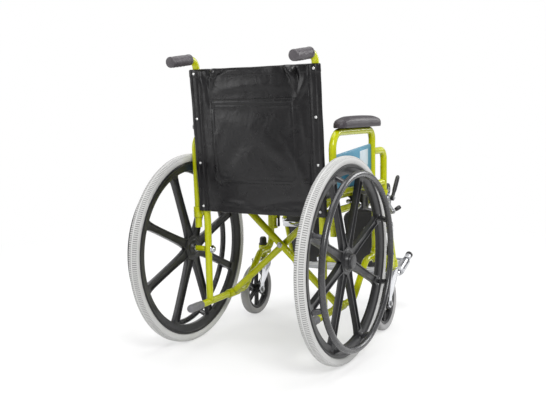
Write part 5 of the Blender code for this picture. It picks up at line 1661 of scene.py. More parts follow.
@dataclass
class SeatSaddle:
    """Black cradle that the seat rail drops into, with its chrome stay on a clip."""

    y: float = -0.292
    width: float = 0.050
    wall: float = 0.006
    lip: float = 0.006
    stay_r: float = 0.0038
    stay_reach: float = 0.030

    def cradle(self) -> Piece:
        """Cuts the cradle's outline, open upwards for the seat rail, and bores it for the side rail.

        Returns:
            The cradle.
        """
        x, rail_x, rail_z = LAY.frame_x, LAY.seat_rail_x, LAY.upper_rail_z
        inner, wall = LAY.tube_r + 0.0012, LAY.tube_r + self.wall
        bottom, seat_z, outer_x = rail_z - LAY.tube_r - 0.006, LAY.seat_rail_z, x + wall
        lip_z = seat_z + 0.002
        outline = [(outer_x, bottom), (outer_x, lip_z - 0.008), (outer_x - 0.010, lip_z),
                   (rail_x + inner, lip_z)]
        outline += [(rail_x + inner * cos(pi * k / 24), seat_z - inner * sin(pi * k / 24)) for k in range(25)]
        outline += [(rail_x - inner, lip_z), (rail_x - inner - 0.003, lip_z),
                    (rail_x - inner - 0.005, seat_z - 0.010), (rail_x - 0.004, seat_z - inner - self.lip),
                    (x - wall, bottom + 0.010), (x - wall + 0.004, bottom)]
        saddle = prism(outline, (0, self.y, 0), OUT, UP, self.width, 0.0010)
        notch = box((outer_x - 0.002, self.y - self.width * 0.28, bottom + 0.008),
                    (outer_x + 0.004, self.y + self.width * 0.28, lip_z - 0.014), 0.001)
        return cut(saddle, notch, through((x, self.y, rail_z), BACK, self.width, LAY.tube_r + LAY.touch))

    def stay(self) -> Piece:
        """Makes the clip round the rail and the short bar to its eye.

        Returns:
            The stay.
        """
        r, foot = LAY.tube_r, Vector((LAY.frame_x, self.y + self.width / 2 + 0.006, LAY.upper_rail_z))
        high = Vector((foot.x - self.stay_reach, foot.y, foot.z + 0.010))
        clip = weld(through(foot, BACK, 0.008, r + 0.0035, 36),
                    rod(foot - Vector((r + 0.001, 0, r * 0.8)), high, self.stay_r, 24),
                    through(high, BACK, 0.005, self.stay_r + 0.003, 28))
        return cut(clip, through(foot, BACK, 0.024, r + LAY.touch))

    def build(self) -> None:
        """Builds and dresses both cradles and stays."""
        pair(dress(self.cradle(), PLASTIC), "seat_saddle", "side", "seat_saddle")
        pair(dress(self.stay(), ZINC), "seat_stay", "side", "")


def spread(low: float, high: float, count: int, extra: Sequence[float] = (),
           seams: Sequence[float] = ()) -> list[float]:
    """Places the lines of a sheet's grid.

    Args:
        low: first line.
        high: last line.
        count: even steps between them.
        extra: further lines.
        seams: lines that get a near neighbour on either side.

    Returns:
        All lines, rising, without any that nearly meet.
    """
    values = [low + (high - low) * k / count for k in range(count + 1)] + list(extra)
    for seam in seams:
        values += [seam - 0.0004, seam, seam + 0.0004]
    kept: list[float] = []
    for value in sorted(values):
        if not kept or value - kept[-1] >= 0.00035:
            kept.append(value)
    for seam in seams:
        kept[min(range(len(kept)), key=lambda i: abs(kept[i] - seam))] = seam
    return kept


def crease(dx: float, dy: float, angle: float, length: float, width: float, height: float,
           bow: float = 0.0) -> float:
    """Height of one long soft fold.

    Args:
        dx: distance across from the fold's middle.
        dy: distance along the sheet from there.
        angle: the fold's direction in degrees from across.
        length: how far it runs either way.
        width: how far it spreads to each side.
        height: at its middle.
        bow: how much it bends.

    Returns:
        The height there.
    """
    a = radians(angle)
    u, v = dx * cos(a) + dy * sin(a), dy * cos(a) - dx * sin(a)
    return height * swell(u, length) * swell(v + bow * u * u / length, width)


class Sling:
    """A thick, closed sheet over a grid of two measures, cut into four strips that ride two bodies.

    The strips share narrow columns at each cut, so that the shading runs on across it.
    """

    name: str
    edge_part: str
    bodies: tuple[str, str]
    rests_on: list[str]
    across: list[float]
    down: list[float]
    reach: float

    def facing(self, s: float, t: float) -> Vector:
        """Rough direction of the outer face."""
        raise NotImplementedError

    def inner(self, s: float, t: float) -> Vector:
        """Point of the inner face."""
        raise NotImplementedError

    def thick(self, s: float, t: float) -> float:
        """Thickness of the sheet."""
        raise NotImplementedError

    def normal(self, s: float, t: float) -> Vector:
        """Finds the unit normal of the inner face, towards the outer one.

        Args:
            s: first measure.
            t: second measure.

        Returns:
            The normal.
        """
        e = 0.0004
        ds = self.inner(s + e, t) - self.inner(s - e, t)
        dt = self.inner(s, t + e) - self.inner(s, t - e)
        n = ds.cross(dt).normalized()
        return n if n.dot(self.facing(s, t)) > 0 else -n

    def outer(self, s: float, t: float) -> Vector:
        """Point of the outer face."""
        return self.inner(s, t) + self.normal(s, t) * self.thick(s, t)

    def strip(self, low: float, high: float) -> Piece:
        """Makes the closed part between two values of the first measure.

        Args:
            low: first value.
            high: second value.

        Returns:
            The strip.
        """
        columns = [s for s in self.across if low - 1e-9 <= s <= high + 1e-9]
        n, m = len(columns), len(self.down)
        verts = [face(s, t) for face in (self.inner, self.outer) for t in self.down for s in columns]
        faces, shift = [], n * m
        for i in range(m - 1):
            a, b = i * n, (i + 1) * n
            for k in range(n - 1):
                faces += [(a + k, b + k, b + k + 1, a + k + 1),
                          (shift + a + k, shift + a + k + 1, shift + b + k + 1, shift + b + k)]
            faces += [(a, shift + a, shift + b, b), (b - 1, b + n - 1, shift + b + n - 1, shift + b - 1)]
        last = (m - 1) * n
        for k in range(n - 1):
            faces += [(k, k + 1, shift + k + 1, shift + k),
                      (last + k, shift + last + k, shift + last + k + 1, last + k + 1)]
        return mesh_object("strip", verts, faces)

    def row(self, line: Pairs, pitch: float = 0.0046) -> list[tuple]:
        """Lays stitches along a line on the outer face.

        Args:
            line: its points in the sheet's two measures.
            pitch: distance from stitch to stitch.

        Returns:
            (point, facing, along) for each stitch.
        """
        points, normals = [self.outer(*at) for at in line], [self.normal(*at) for at in line]
        places, carry = [], pitch / 2
        for i in range(len(points) - 1):
            length = (points[i + 1] - points[i]).length
            along = (points[i + 1] - points[i]) / length
            while carry < length:
                n = normals[i].lerp(normals[i + 1], carry / length).normalized()
                places.append((points[i] + along * carry, n, along))
                carry += pitch
            carry -= length
        return places

    def sew(self, seam: float, finish: Finish, threads: Sequence[tuple[Finish, list]],
            anchor: tuple[float, float, float], keep: float, drop: float) -> None:
        """Cuts the sheet into strips and sews them.

        Args:
            seam: place of the outer cuts, the third being in the middle.
            finish: the sheet's finish.
            threads: each thread with the places of its stitches.
            anchor: not used.
            keep: not used.
            drop: not used.
        """
        cuts = [-self.reach - 0.001, -seam, 0.0, seam, self.reach + 0.001]
        made = []
        for low, high, part in zip(cuts, cuts[1:], (self.edge_part, "panel", "panel", self.edge_part)):
            strip = dress(self.strip(low, high), finish, 60)
            for thread, rows in threads:
                mine = [place for place in rows if low < place[0].x <= high]
                if mine:
                    strip = join(strip, Scatter.run(Smalls.stitch(), mine, thread))
            letter, body = ("r", self.bodies[0]) if high <= 0 else ("l", self.bodies[1])
            nodes = [self.name] if (part, letter) == ("panel", "l") else []
            made.append(settle(strip, f"{self.name}_{part}_{letter}_fine", body, nodes))
        for piece, sign in ((made[1], -1), (made[2], 1)):
            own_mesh(piece)


@dataclass
class BackSling(Sling):
    """Vinyl back: screwed to both canes from behind with a stiff flap beyond them, and a sewn pocket."""

    top_z: float = 0.865
    bottom_z: float = 0.428
    sheet_t: float = 0.0030
    flap: float = 0.0125
    flap_bend: float = 0.0040
    flap_tail: float = 0.0020
    cane_crease: float = 0.0008
    hem_t: float = 0.0009
    hem_roll: float = 0.0042
    hem_roll_height: float = 0.0090
    sag: float = 0.014
    seam_x: float = 0.181
    cut_x: float = 0.188
    pocket_half: float = 0.147
    pocket_top: float = 0.773
    pocket_bottom: float = 0.519
    pocket_rise: float = 0.0022
    pocket_round: float = 0.032
    pocket_hem: float = 0.026
    screw_out: float = 0.0010
    screws_z: tuple[float, ...] = (0.852, 0.716, 0.580, 0.444)

    # Soft creases that run down and in from the canes, sharp tucks under the top hem and slack over the
    # seat: place across, height of it, angle, length, width and height.
    folds = ((-0.165, 0.80, -62, 0.075, 0.011, 0.0034), (0.160, 0.79, 58, 0.080, 0.012, -0.0030),
             (-0.150, 0.56, 70, 0.090, 0.010, 0.0022), (0.155, 0.60, -72, 0.085, 0.011, 0.0026),
             (-0.168, 0.675, 84, 0.080, 0.008, 0.0018), (0.170, 0.70, 86, 0.060, 0.008, -0.0016),
             (0.060, 0.455, 8, 0.090, 0.010, 0.0026), (-0.075, 0.468, -10, 0.080, 0.009, -0.0024),
             (0.020, 0.812, -4, 0.110, 0.013, 0.0026), (-0.050, 0.640, 35, 0.110, 0.022, 0.0026),
             (0.080, 0.600, -50, 0.090, 0.022, -0.0026), (0.010, 0.700, 12, 0.090, 0.024, 0.0020),
             (-0.132, 0.838, 66, 0.034, 0.0065, 0.0072), (-0.148, 0.846, 74, 0.030, 0.0060, -0.0060),
             (-0.114, 0.846, 40, 0.030, 0.0075, -0.0054), (0.130, 0.848, -60, 0.030, 0.0070, 0.0070),
             (0.148, 0.842, -72, 0.034, 0.0065, -0.0058), (0.110, 0.852, -26, 0.034, 0.0080, -0.0048),
             (0.060, 0.856, -4, 0.060, 0.0080, 0.0026), (-0.040, 0.858, 3, 0.060, 0.0070, -0.0022),
             (-0.122, 0.848, 67, 0.014, 0.0062, 0.0072), (-0.137, 0.838, 72, 0.016, 0.0062, 0.0064),
             (0.129, 0.850, 67, 0.012, 0.0062, 0.0074), (0.168, 0.815, 76, 0.046, 0.0120, 0.0072),
             (0.146, 0.836, 70, 0.022, 0.0080, 0.0060))

    def __post_init__(self) -> None:
        """Lays out the grid, fine at the hems, the seams and the flaps."""
        self.name, self.edge_part, self.bodies = "back_sling", "wrap", ("right_side", "left_side")
        self.rests_on = ["side_frame_l_fine", "side_frame_r_fine"]
        self.lift = LAY.tube_r + LAY.touch + 0.0002
        x, arc = LAY.frame_x, self.flap_bend * pi / 2
        self.corner = x + self.flap
        self.reach = self.corner + arc + self.flap_tail
        flap = [x + self.flap * k / 6 for k in range(1, 7)] + [self.corner + arc * k / 6 for k in range(1, 7)]
        flap.append(self.reach)
        middle = spread(-x, x, 160, [], [-self.cut_x, 0.0, self.cut_x])
        self.across = [-v for v in reversed(flap)] + middle + flap
        rim = (0.0, 0.0008, 0.0022)
        extra = [self.bottom_z + d for d in rim] + [self.top_z - d for d in rim]
        extra += [self.top_z - 0.0024 * k for k in range(1, 30)]
        extra += [self.pocket_top, self.pocket_top - 0.0012]
        self.down = spread(self.bottom_z, self.top_z, 110, extra)

    def facing(self, s: float, t: float) -> Vector:
        """Rearwards, and outwards round the flap's edge."""
        a = min(pi / 2, max(0.0, (abs(s) - self.corner) / self.flap_bend))
        return Vector((sin(a) * (1 if s > 0 else -1), cos(a), 0))

    def pocket_edge(self, x: float, z: float) -> float:
        """Distance inside the pocket's outline, negative outside it."""
        r = self.pocket_round
        side, low, high = self.pocket_half - abs(x), z - self.pocket_bottom, self.pocket_top - z
        return r - hypot(r - side, r - low) if side < r and low < r else min(side, low, high)

    def wrapped(self, s: float, z: float) -> Vector:
        """Finds a point of the flap, which runs past the cane and turns forward round its edge.

        Args:
            s: distance along the sheet from its middle.
            z: height.

        Returns:
            The point of the inner face.
        """
        sign, past, bend = (1 if s > 0 else -1), abs(s) - self.corner, self.flap_bend
        a = min(pi / 2, max(0.0, past / bend))
        tail, out = max(0.0, past - bend * pi / 2), abs(s) - LAY.frame_x
        pull = 0.0008 * sin(z * 46 + sign) * smoothstep(0.0, 0.012, out)
        pull -= self.cane_crease * swell(out - 0.0052, 0.0015)
        return Vector((sign * (min(abs(s), self.corner) + bend * sin(a)),
                       LAY.cane_y(z) + self.lift - bend * (1 - cos(a)) - tail + pull, z))

    def inner(self, s: float, t: float) -> Vector:
        """Finds a point of the face that lies on the canes and hangs between them.

        Args:
            s: distance along the sheet from its middle.
            t: height.

        Returns:
            The point.
        """
        x, z = LAY.frame_x, t
        if abs(s) > x:
            return self.wrapped(s, z)
        u, share, side = s / x, (z - self.bottom_z) / (self.top_z - self.bottom_z), x - abs(s)
        calm = smoothstep(0.0, 0.020, side)
        sag = self.sag * (1 - u * u) * (0.55 + 0.45 * sin(pi * min(1.0, 0.25 + share * 0.9)))
        seam = -0.0030 * swell(abs(s) - self.seam_x, 0.0042)
        tuck = -0.0022 * swell(side - 0.0125, 0.0040)
        drop = 0.002 * share ** 6 * (1 - abs(u)) if share > 0.6 else 0.0
        rest = calm * sum(crease(s - cx, z - cz, *fold, bow=0.10) for cx, cz, *fold in self.folds)
        roll = calm * self.hem_roll * max(0.0, (z - self.top_z) / self.hem_roll_height + 1) ** 2
        return Vector((s, LAY.cane_y(z) + self.lift + sag + seam + tuck + rest - roll, z - drop))

    def thick(self, s: float, t: float) -> float:
        """Sheet thickness with hems, pocket and rounded rims.

        Args:
            s: distance along the sheet from its middle.
            t: height.

        Returns:
            The thickness.
        """
        top, low = self.top_z - t, t - self.bottom_z
        value = self.sheet_t * (0.35 + 0.65 * smoothstep(-0.0004, 0.0022, min(low, top, self.reach - abs(s))))
        value += self.hem_t * (1 - smoothstep(0.0215, 0.0230, top)) * smoothstep(0, 0.002, top)
        value += self.hem_t * (1 - smoothstep(0.0175, 0.0190, low)) * smoothstep(0, 0.002, low)
        inside = self.pocket_edge(s, t)
        if inside > 0:
            under, hem = self.pocket_top - t, self.pocket_hem
            value += smoothstep(0.0, 0.0016, inside) * self.pocket_rise
            value += 0.0032 * swell(under, 0.020) * max(0.0, 1 - (s / self.pocket_half) ** 2)
            value -= 0.0018 * swell(inside - 0.0040, 0.0016) + 0.0011 * swell(inside - 0.0150, 0.0016)
            value += 0.0007 * (1 - smoothstep(hem - 0.0008, hem + 0.0008, under))
        return max(0.0009, value)

    def pocket_line(self, inset: float) -> list[tuple[float, float]]:
        """Runs along the pocket's outline from its top left corner round the bottom to the top right.

        Args:
            inset: distance inside the outline.

        Returns:
            Points about 6 mm apart.
        """
        half, bottom = self.pocket_half - inset, self.pocket_bottom + inset
        r, start = self.pocket_round - inset, self.pocket_top - 0.004
        turns = [(r * (1 - cos(radians(a))), r * (1 - sin(radians(a)))) for a in range(10, 90, 10)]
        line = [(-half, start), (-half, bottom + r)] + [(x - half, bottom + z) for x, z in turns]
        line += [(-half + r, bottom), (half - r, bottom)]
        line += [(half - x, bottom + z) for x, z in reversed(turns)] + [(half, bottom + r), (half, start)]
        fine = []
        for (x0, z0), (x1, z1) in zip(line, line[1:]):
            count = max(1, round(hypot(x1 - x0, z1 - z0) / 0.006))
            fine += [(x0 + (x1 - x0) * k / count, z0 + (z1 - z0) * k / count) for k in range(count)]
        return fine + [line[-1]]

    def stitches(self) -> tuple[list[tuple], list[tuple]]:
        """Lays the stitches of the pocket with its hem, and those of the sheet's hems and cane seams.

        Returns:
            Both sets of places.
        """
        pocket, rows = [], []
        for inset in (0.0030, 0.0150):
            pocket += self.row(self.pocket_line(inset))
        for z in (self.pocket_top - 0.004, self.pocket_top - self.pocket_hem + 0.003):
            pocket += self.row([(x / 1000, z) for x in range(-141, 142, 6)])
        for z in (self.top_z - 0.019, self.bottom_z + 0.015):
            rows += self.row([(x / 1000, z) for x in range(-176, 177, 6)])
        for sign in (-1, 1):
            rows += self.row([(sign * (self.seam_x + 0.004), self.bottom_z + 0.004 + 0.006 * k)
                              for k in range(72)])
        return pocket, rows

    def build(self) -> None:
        """Builds the back and screws it to the canes."""
        self.sew(self.cut_x, VINYL, tuple(zip((POCKET_THREAD, THREAD), self.stitches())),
                 (self.cut_x, 0.25, 0.65), 0.185, self.top_z - self.bottom_z)
        s = LAY.frame_x + self.screw_out
        places = [(self.outer(s, z), self.normal(s, z), UP) for z in self.screws_z]
        pair(Scatter.run(Smalls.pan_screw(0.0042), places, SCREW), "back_screws", "side")


@dataclass
class SeatSling(Sling):
    """Vinyl seat screwed along both seat rails, sagging between them, with its front hem turned down."""

    reach: float = 0.202
    sheet_t: float = 0.0036
    sag: float = 0.010
    edge_drop: float = 0.006
    hem: float = 0.012
    hem_r: float = 0.0045
    hem_t: float = 0.0008
    split_x: float = 0.163
    screws: int = 5

    # Creases that fan in from the rails, as a hammock seat has: place across, share of the depth, angle,
    # length, width and height.
    folds = ((-0.10, 0.12, 12, 0.10, 0.010, 0.0030), (0.09, 0.20, -16, 0.10, 0.011, 0.0028),
             (-0.08, 0.36, -8, 0.11, 0.012, -0.0024), (0.10, 0.48, 14, 0.09, 0.010, 0.0026),
             (-0.11, 0.62, 18, 0.10, 0.011, 0.0026), (0.06, 0.75, -10, 0.11, 0.013, -0.0022),
             (0.00, 0.05, 3, 0.12, 0.008, 0.0020), (0.02, 0.90, 5, 0.13, 0.012, 0.0024))

    def __post_init__(self) -> None:
        """Lays out the grid, whose second measure runs back from the front edge and below 0 down the hem."""
        self.name, self.edge_part, self.bodies = "seat_sling", "edge", ("front_member", "rear_member")
        self.rests_on = ["front_cross_member_fine", "rear_cross_member_fine"]
        self.front = LAY.seat_rail_front_y - 0.010
        self.depth = LAY.seat_rail_rear_y + 0.004 - self.front
        self.arc = self.hem_r * pi / 2
        self.low = -self.hem - self.arc
        self.across = spread(-self.reach, self.reach, 92, [], [-self.split_x, 0.0, self.split_x])
        extra = [self.low + d for d in (0.0, 0.0008, 0.0022)] + [-self.arc * k / 5 for k in range(6)]
        extra += [self.depth * (k / 80) for k in range(81)] + [self.depth - 0.0022, self.depth - 0.0008]
        extra += [-self.arc - self.hem * k / 6 for k in range(1, 7)]
        self.down = spread(self.low, self.depth, 1, extra)

    def facing(self, s: float, t: float) -> Vector:
        """Up on the seat and forward on the hem."""
        return UP if t >= 0 else Vector((0, -1, 0.35 if t > -0.005 else 0.0))

    def height(self, x: float, share: float) -> float:
        """Finds how high the underside lies.

        Args:
            x: distance from the middle.
            share: of the depth, from the front.

        Returns:
            The height.
        """
        rail = LAY.seat_rail_x
        base = LAY.seat_rail_z + LAY.tube_r + LAY.touch
        if abs(x) > rail:
            return base - self.edge_drop * ((abs(x) - rail) / (self.reach - rail)) ** 2
        u = x / rail
        rest = 0.0012 * sin(9.0 * u + 4.0 * share) - self.sag * (0.55 + 0.45 * sin(pi * (0.1 + 0.8 * share)))
        rest += sum(crease(x - cx, (share - ct) * self.depth, *fold) for cx, ct, *fold in self.folds)
        return base + rest * (1 - u * u)

    def inner(self, s: float, t: float) -> Vector:
        """Finds a point of the underside.

        Args:
            s: distance from the middle.
            t: distance back from the front edge, below 0 down the hem.

        Returns:
            The point.
        """
        if t >= 0:
            return Vector((s, self.front + t, self.height(s, t / self.depth)))
        r, z = self.hem_r, self.height(s, 0)
        if t > -self.arc:
            return Vector((s, self.front - r * sin(-t / r) * 0.6, z - r * (1 - cos(t / r))))
        down = -t - self.arc
        wave = 0.0012 * sin(70 * s) * smoothstep(0, 0.02, down)
        return Vector((s, self.front - r * 0.6 + wave, z - r - down))

    def thick(self, s: float, t: float) -> float:
        """Sheet thickness with both hems, rounded rims and the seam beside each rail.

        Args:
            s: distance from the middle.
            t: distance back from the front edge.

        Returns:
            The thickness.
        """
        low, back = t - self.low, self.depth - t
        rim = min(low, back, self.reach - abs(s))
        value = self.sheet_t * (0.35 + 0.65 * smoothstep(-0.0004, 0.0022, rim))
        hems = 2 - smoothstep(0.0150, 0.0165, back) - smoothstep(0.0100, 0.0110, low)
        value += self.hem_t * hems * smoothstep(0, 0.002, rim)
        return value - 0.0008 * swell(abs(s) - 0.1560, 0.0022)

    def build(self) -> None:
        """Builds the seat and screws it to the rails."""
        rows = []
        for t in (self.low + 0.009, 0.016, self.depth - 0.013):
            rows += self.row([(x / 1000, t) for x in range(-196, 197, 6)])
        for x in (-0.1505, -0.1965, 0.1505, 0.1965):
            rows += self.row([(x, 0.006 * k) for k in range(1, 62)])
        self.sew(self.split_x, SEAT_VINYL, [(THREAD, rows)], (self.split_x, 0.0, LAY.seat_rail_z), 0.19,
                 self.depth - self.low)
        for sign, body, letter in zip((-1, 1), self.bodies, "rl"):
            spots = [(sign * LAY.seat_rail_x, 0.030 + 0.080 * k) for k in range(self.screws)]
            places = [(self.outer(*spot), self.normal(*spot), BACK) for spot in spots]
            settle(Scatter.run(Smalls.pan_screw(0.0034), places, ZINC), f"seat_screws_{letter}_fine", body)


@dataclass
class Armrest:
    """Removable stepped armrest: bent tube frame, skinned foam pad and teal side panel."""

    top_z: float = 0.672
    foot_z: float = 0.372
    bends: tuple[float, ...] = (0.060, 0.050, 0.030)
    mid_y: float = -0.300
    step_z: float = 0.603
    rail_z: float = 0.497
    rail_share: float = 0.9
    front_foot_z: float = 0.385
    pad_length: float = 0.305
    pad_width: float = 0.048
    pad_height: float = 0.035
    pad_front_y: float = -0.322
    pad_out: float = 0.0085
    lean_z: float = 0.455
    lean: float = 0.009
    panel_t: float = 0.004
    panel_rear_z: float = 0.607
    panel_front_z: float = 0.628
    panel_round: float = 0.010
    inset_h: float = 0.050

    def __post_init__(self) -> None:
        """Works out where the side panel meets the tubes."""
        gap = LAY.tube_r + LAY.touch
        self.base_z = self.rail_z + LAY.tube_r * self.rail_share + LAY.touch
        self.foot_y = self.post_y(self.base_z) - gap
        self.rear_y = self.post_y(self.panel_rear_z) - gap
        self.front_y = self.mid_y + gap

    def post_y(self, z: float) -> float:
        """The rear post leans back a little above its socket."""
        return LAY.rear_post_y + self.lean * max(0.0, z - self.lean_z) / (self.top_z - self.lean_z)

    def tube_frame(self) -> Piece:
        """Welds the hoop, the desk step and the low rail.

        Returns:
            The frame.
        """
        x, r, rear, front = LAY.arm_x, LAY.tube_r, LAY.rear_post_y, LAY.arm_front_y
        hoop = [(x, rear, self.foot_z), (x, rear, self.lean_z), (x, self.post_y(self.top_z), self.top_z),
                (x, self.mid_y, self.top_z), (x, self.mid_y, self.rail_z)]
        desk = [(x, self.mid_y, self.step_z), (x, front, self.step_z), (x, front, self.front_foot_z)]
        low = rod((x, rear, self.rail_z), (x, front, self.rail_z), r * self.rail_share)
        return weld(sweep(round_path(hoop, self.bends, 14), r),
                    sweep(round_path(desk, self.bends[2:], 14), r), low)

    def beads(self) -> Piece:
        """Lays weld beads where the armrest's tubes meet.

        Returns:
            All beads of one armrest.
        """
        x, r, rear, front = LAY.arm_x, LAY.tube_r, LAY.rear_post_y, LAY.arm_front_y
        thin, z, mid_y = r * self.rail_share, self.rail_z, self.mid_y
        return join(weld_bead((x, rear - 0.05, z), BACK, thin, (x, rear, 0), UP, r),
                    weld_bead((x, front + 0.05, z), -BACK, thin, (x, front, 0), UP, r),
                    weld_bead((x, mid_y, z + 0.05), -UP, r, (x, 0, z), BACK, thin),
                    weld_bead((x, mid_y - 0.05, self.step_z), BACK, r, (x, mid_y, 0), UP, r))

    def pad_stations(self) -> list[tuple[float, ...]]:
        """Draws a smooth curve through the pad's key sections.

        Returns:
            Place along the pad, share of its width and share of its height at each section.
        """
        end = self.pad_length
        keys = [(0.0, 0.34, 0.40), (0.006, 0.66, 0.66), (0.020, 0.90, 0.82), (0.055, 1.0, 0.96),
                (0.15, 1.0, 1.0), (end - 0.055, 0.98, 0.94), (end - 0.020, 0.88, 0.76),
                (end - 0.006, 0.66, 0.56), (end, 0.34, 0.36)]
        stations = []
        for p0, p1, p2, p3 in zip(keys[:1] + keys, keys, keys[1:], keys[2:] + keys[-1:]):
            steps = 4 if p2[0] - p1[0] < 0.03 else 12
            for t in (k / steps for k in range(steps)):
                shares = (0.5 * (2 * b + (c - a) * t + (2 * a - 5 * b + 4 * c - d) * t * t
                                 + (3 * b - a - 3 * c + d) * t ** 3)
                          for a, b, c, d in zip(p0[1:], p1[1:], p2[1:], p3[1:]))
                stations.append((p1[0] + (p2[0] - p1[0]) * t, *shares))
        return stations + [keys[-1]]

    def pad(self) -> Piece:
        """Skins the crowned pad, wide behind and falling to a rounded nose.

        Returns:
            The pad.
        """
        base, steps, verts = self.top_z + LAY.tube_r + LAY.touch, 36, []
        stations = self.pad_stations()
        for along, wide, tall in stations:
            half, top = self.pad_width / 2 * min(1.0, wide), self.pad_height * min(1.0, tall)
            row = [(half * share, 0.0) for share in (-0.84, -0.5, 0.0, 0.5, 0.84)]
            row.append((half * 0.93, top * 0.05))
            for a in (pi * k / steps for k in range(steps + 1)):
                pinch = 1.0 - 0.030 * swell(sin(a) - 0.13, 0.05)
                row.append((half * cos(a) * pinch, top * (0.30 + 0.70 * sin(a) ** 0.7)))
            row.append((-half * 0.93, top * 0.05))
            verts += [(LAY.arm_x + self.pad_out + dx, self.pad_front_y + along, base + dz) for dx, dz in row]
        return mesh_object("pad", verts, ring_faces(len(stations), steps + 8))

    def panel(self) -> Piece:
        """Cuts the side panel, which rises a little to the front between two rounded corners.

        Returns:
            The panel.
        """
        rear, front, base, r = self.rear_y, self.front_y, self.base_z, self.panel_round
        rear_z, front_z = self.panel_rear_z, self.panel_front_z
        outline = [(self.foot_y, base), (rear, rear_z - r), (rear - 0.003, rear_z - 0.003),
                   (rear - r, rear_z), (front + r, front_z), (front + 0.003, front_z - 0.003),
                   (front, front_z - r), (front, base)]
        return prism(outline, (LAY.arm_x, 0, 0), BACK, UP, self.panel_t, 0.0009)

    def inset(self) -> Piece:
        """Cuts the pale film on both faces of the panel, along its upper edge.

        Returns:
            Both films.
        """
        rise = (self.panel_front_z - self.panel_rear_z) / (self.front_y - self.rear_y)
        ends = [(y, self.panel_rear_z + rise * (y - self.rear_y) - 0.012)
                for y in (self.front_y + 0.092, self.front_y + 0.028)]
        (y0, top0), (y1, top1) = ends
        outline = [(y0, top0 - self.inset_h), *ends, (y1, top1 - self.inset_h)]
        return join(*(prism(outline, (LAY.arm_x + side * self.panel_t / 2, 0, 0), BACK, UP, 0.0008, 0.0002)
                      for side in (-1, 1)))

    def rivets(self) -> Piece:
        """Places the rivets along the panel's foot, on both faces.

        Returns:
            All rivets of one panel.
        """
        rear, front, z, places = self.rear_y, self.front_y, self.base_z + 0.010, []
        for side in (-1, 1):
            for y in (rear - 0.012, rear - 0.100, front + 0.100, front + 0.012):
                places.append(((LAY.arm_x + side * self.panel_t / 2, y, z), (side, 0, 0), BACK))
        dome = lathe(mm((0, -0.6), (3.6, -0.6), (3.6, 0.3), (2.6, 1.4), (0, 1.8)), sides=16)
        return Scatter.run(dome, places, ZINC)

    def build(self) -> None:
        """Builds and dresses both armrests."""
        pair(dress(self.tube_frame(), ENAMEL), "armrest_frame", "armrest", "armrest_frame")
        pair(dress(self.beads(), BEAD), "armrest_welds", "armrest", "")
        for pad in pair(dress(self.pad(), PAD_SKIN, 70), "arm_pad", "armrest", "arm_pad"):
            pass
        pair(dress(self.panel(), PANEL), "side_panel", "armrest", "side_panel")
        pair(dress(self.inset(), INSET), "side_panel_inset", "armrest", "")
        pair(self.rivets(), "side_panel_rivets", "armrest")


def grip_along(foot: Vector, along: Vector, keys: Pairs, sides: int) -> Piece:
    """A straight grip of changing thickness, from (distance, radius) keys."""
    return sweep([foot + along * distance for distance, r in keys], [r for distance, r in keys], sides)


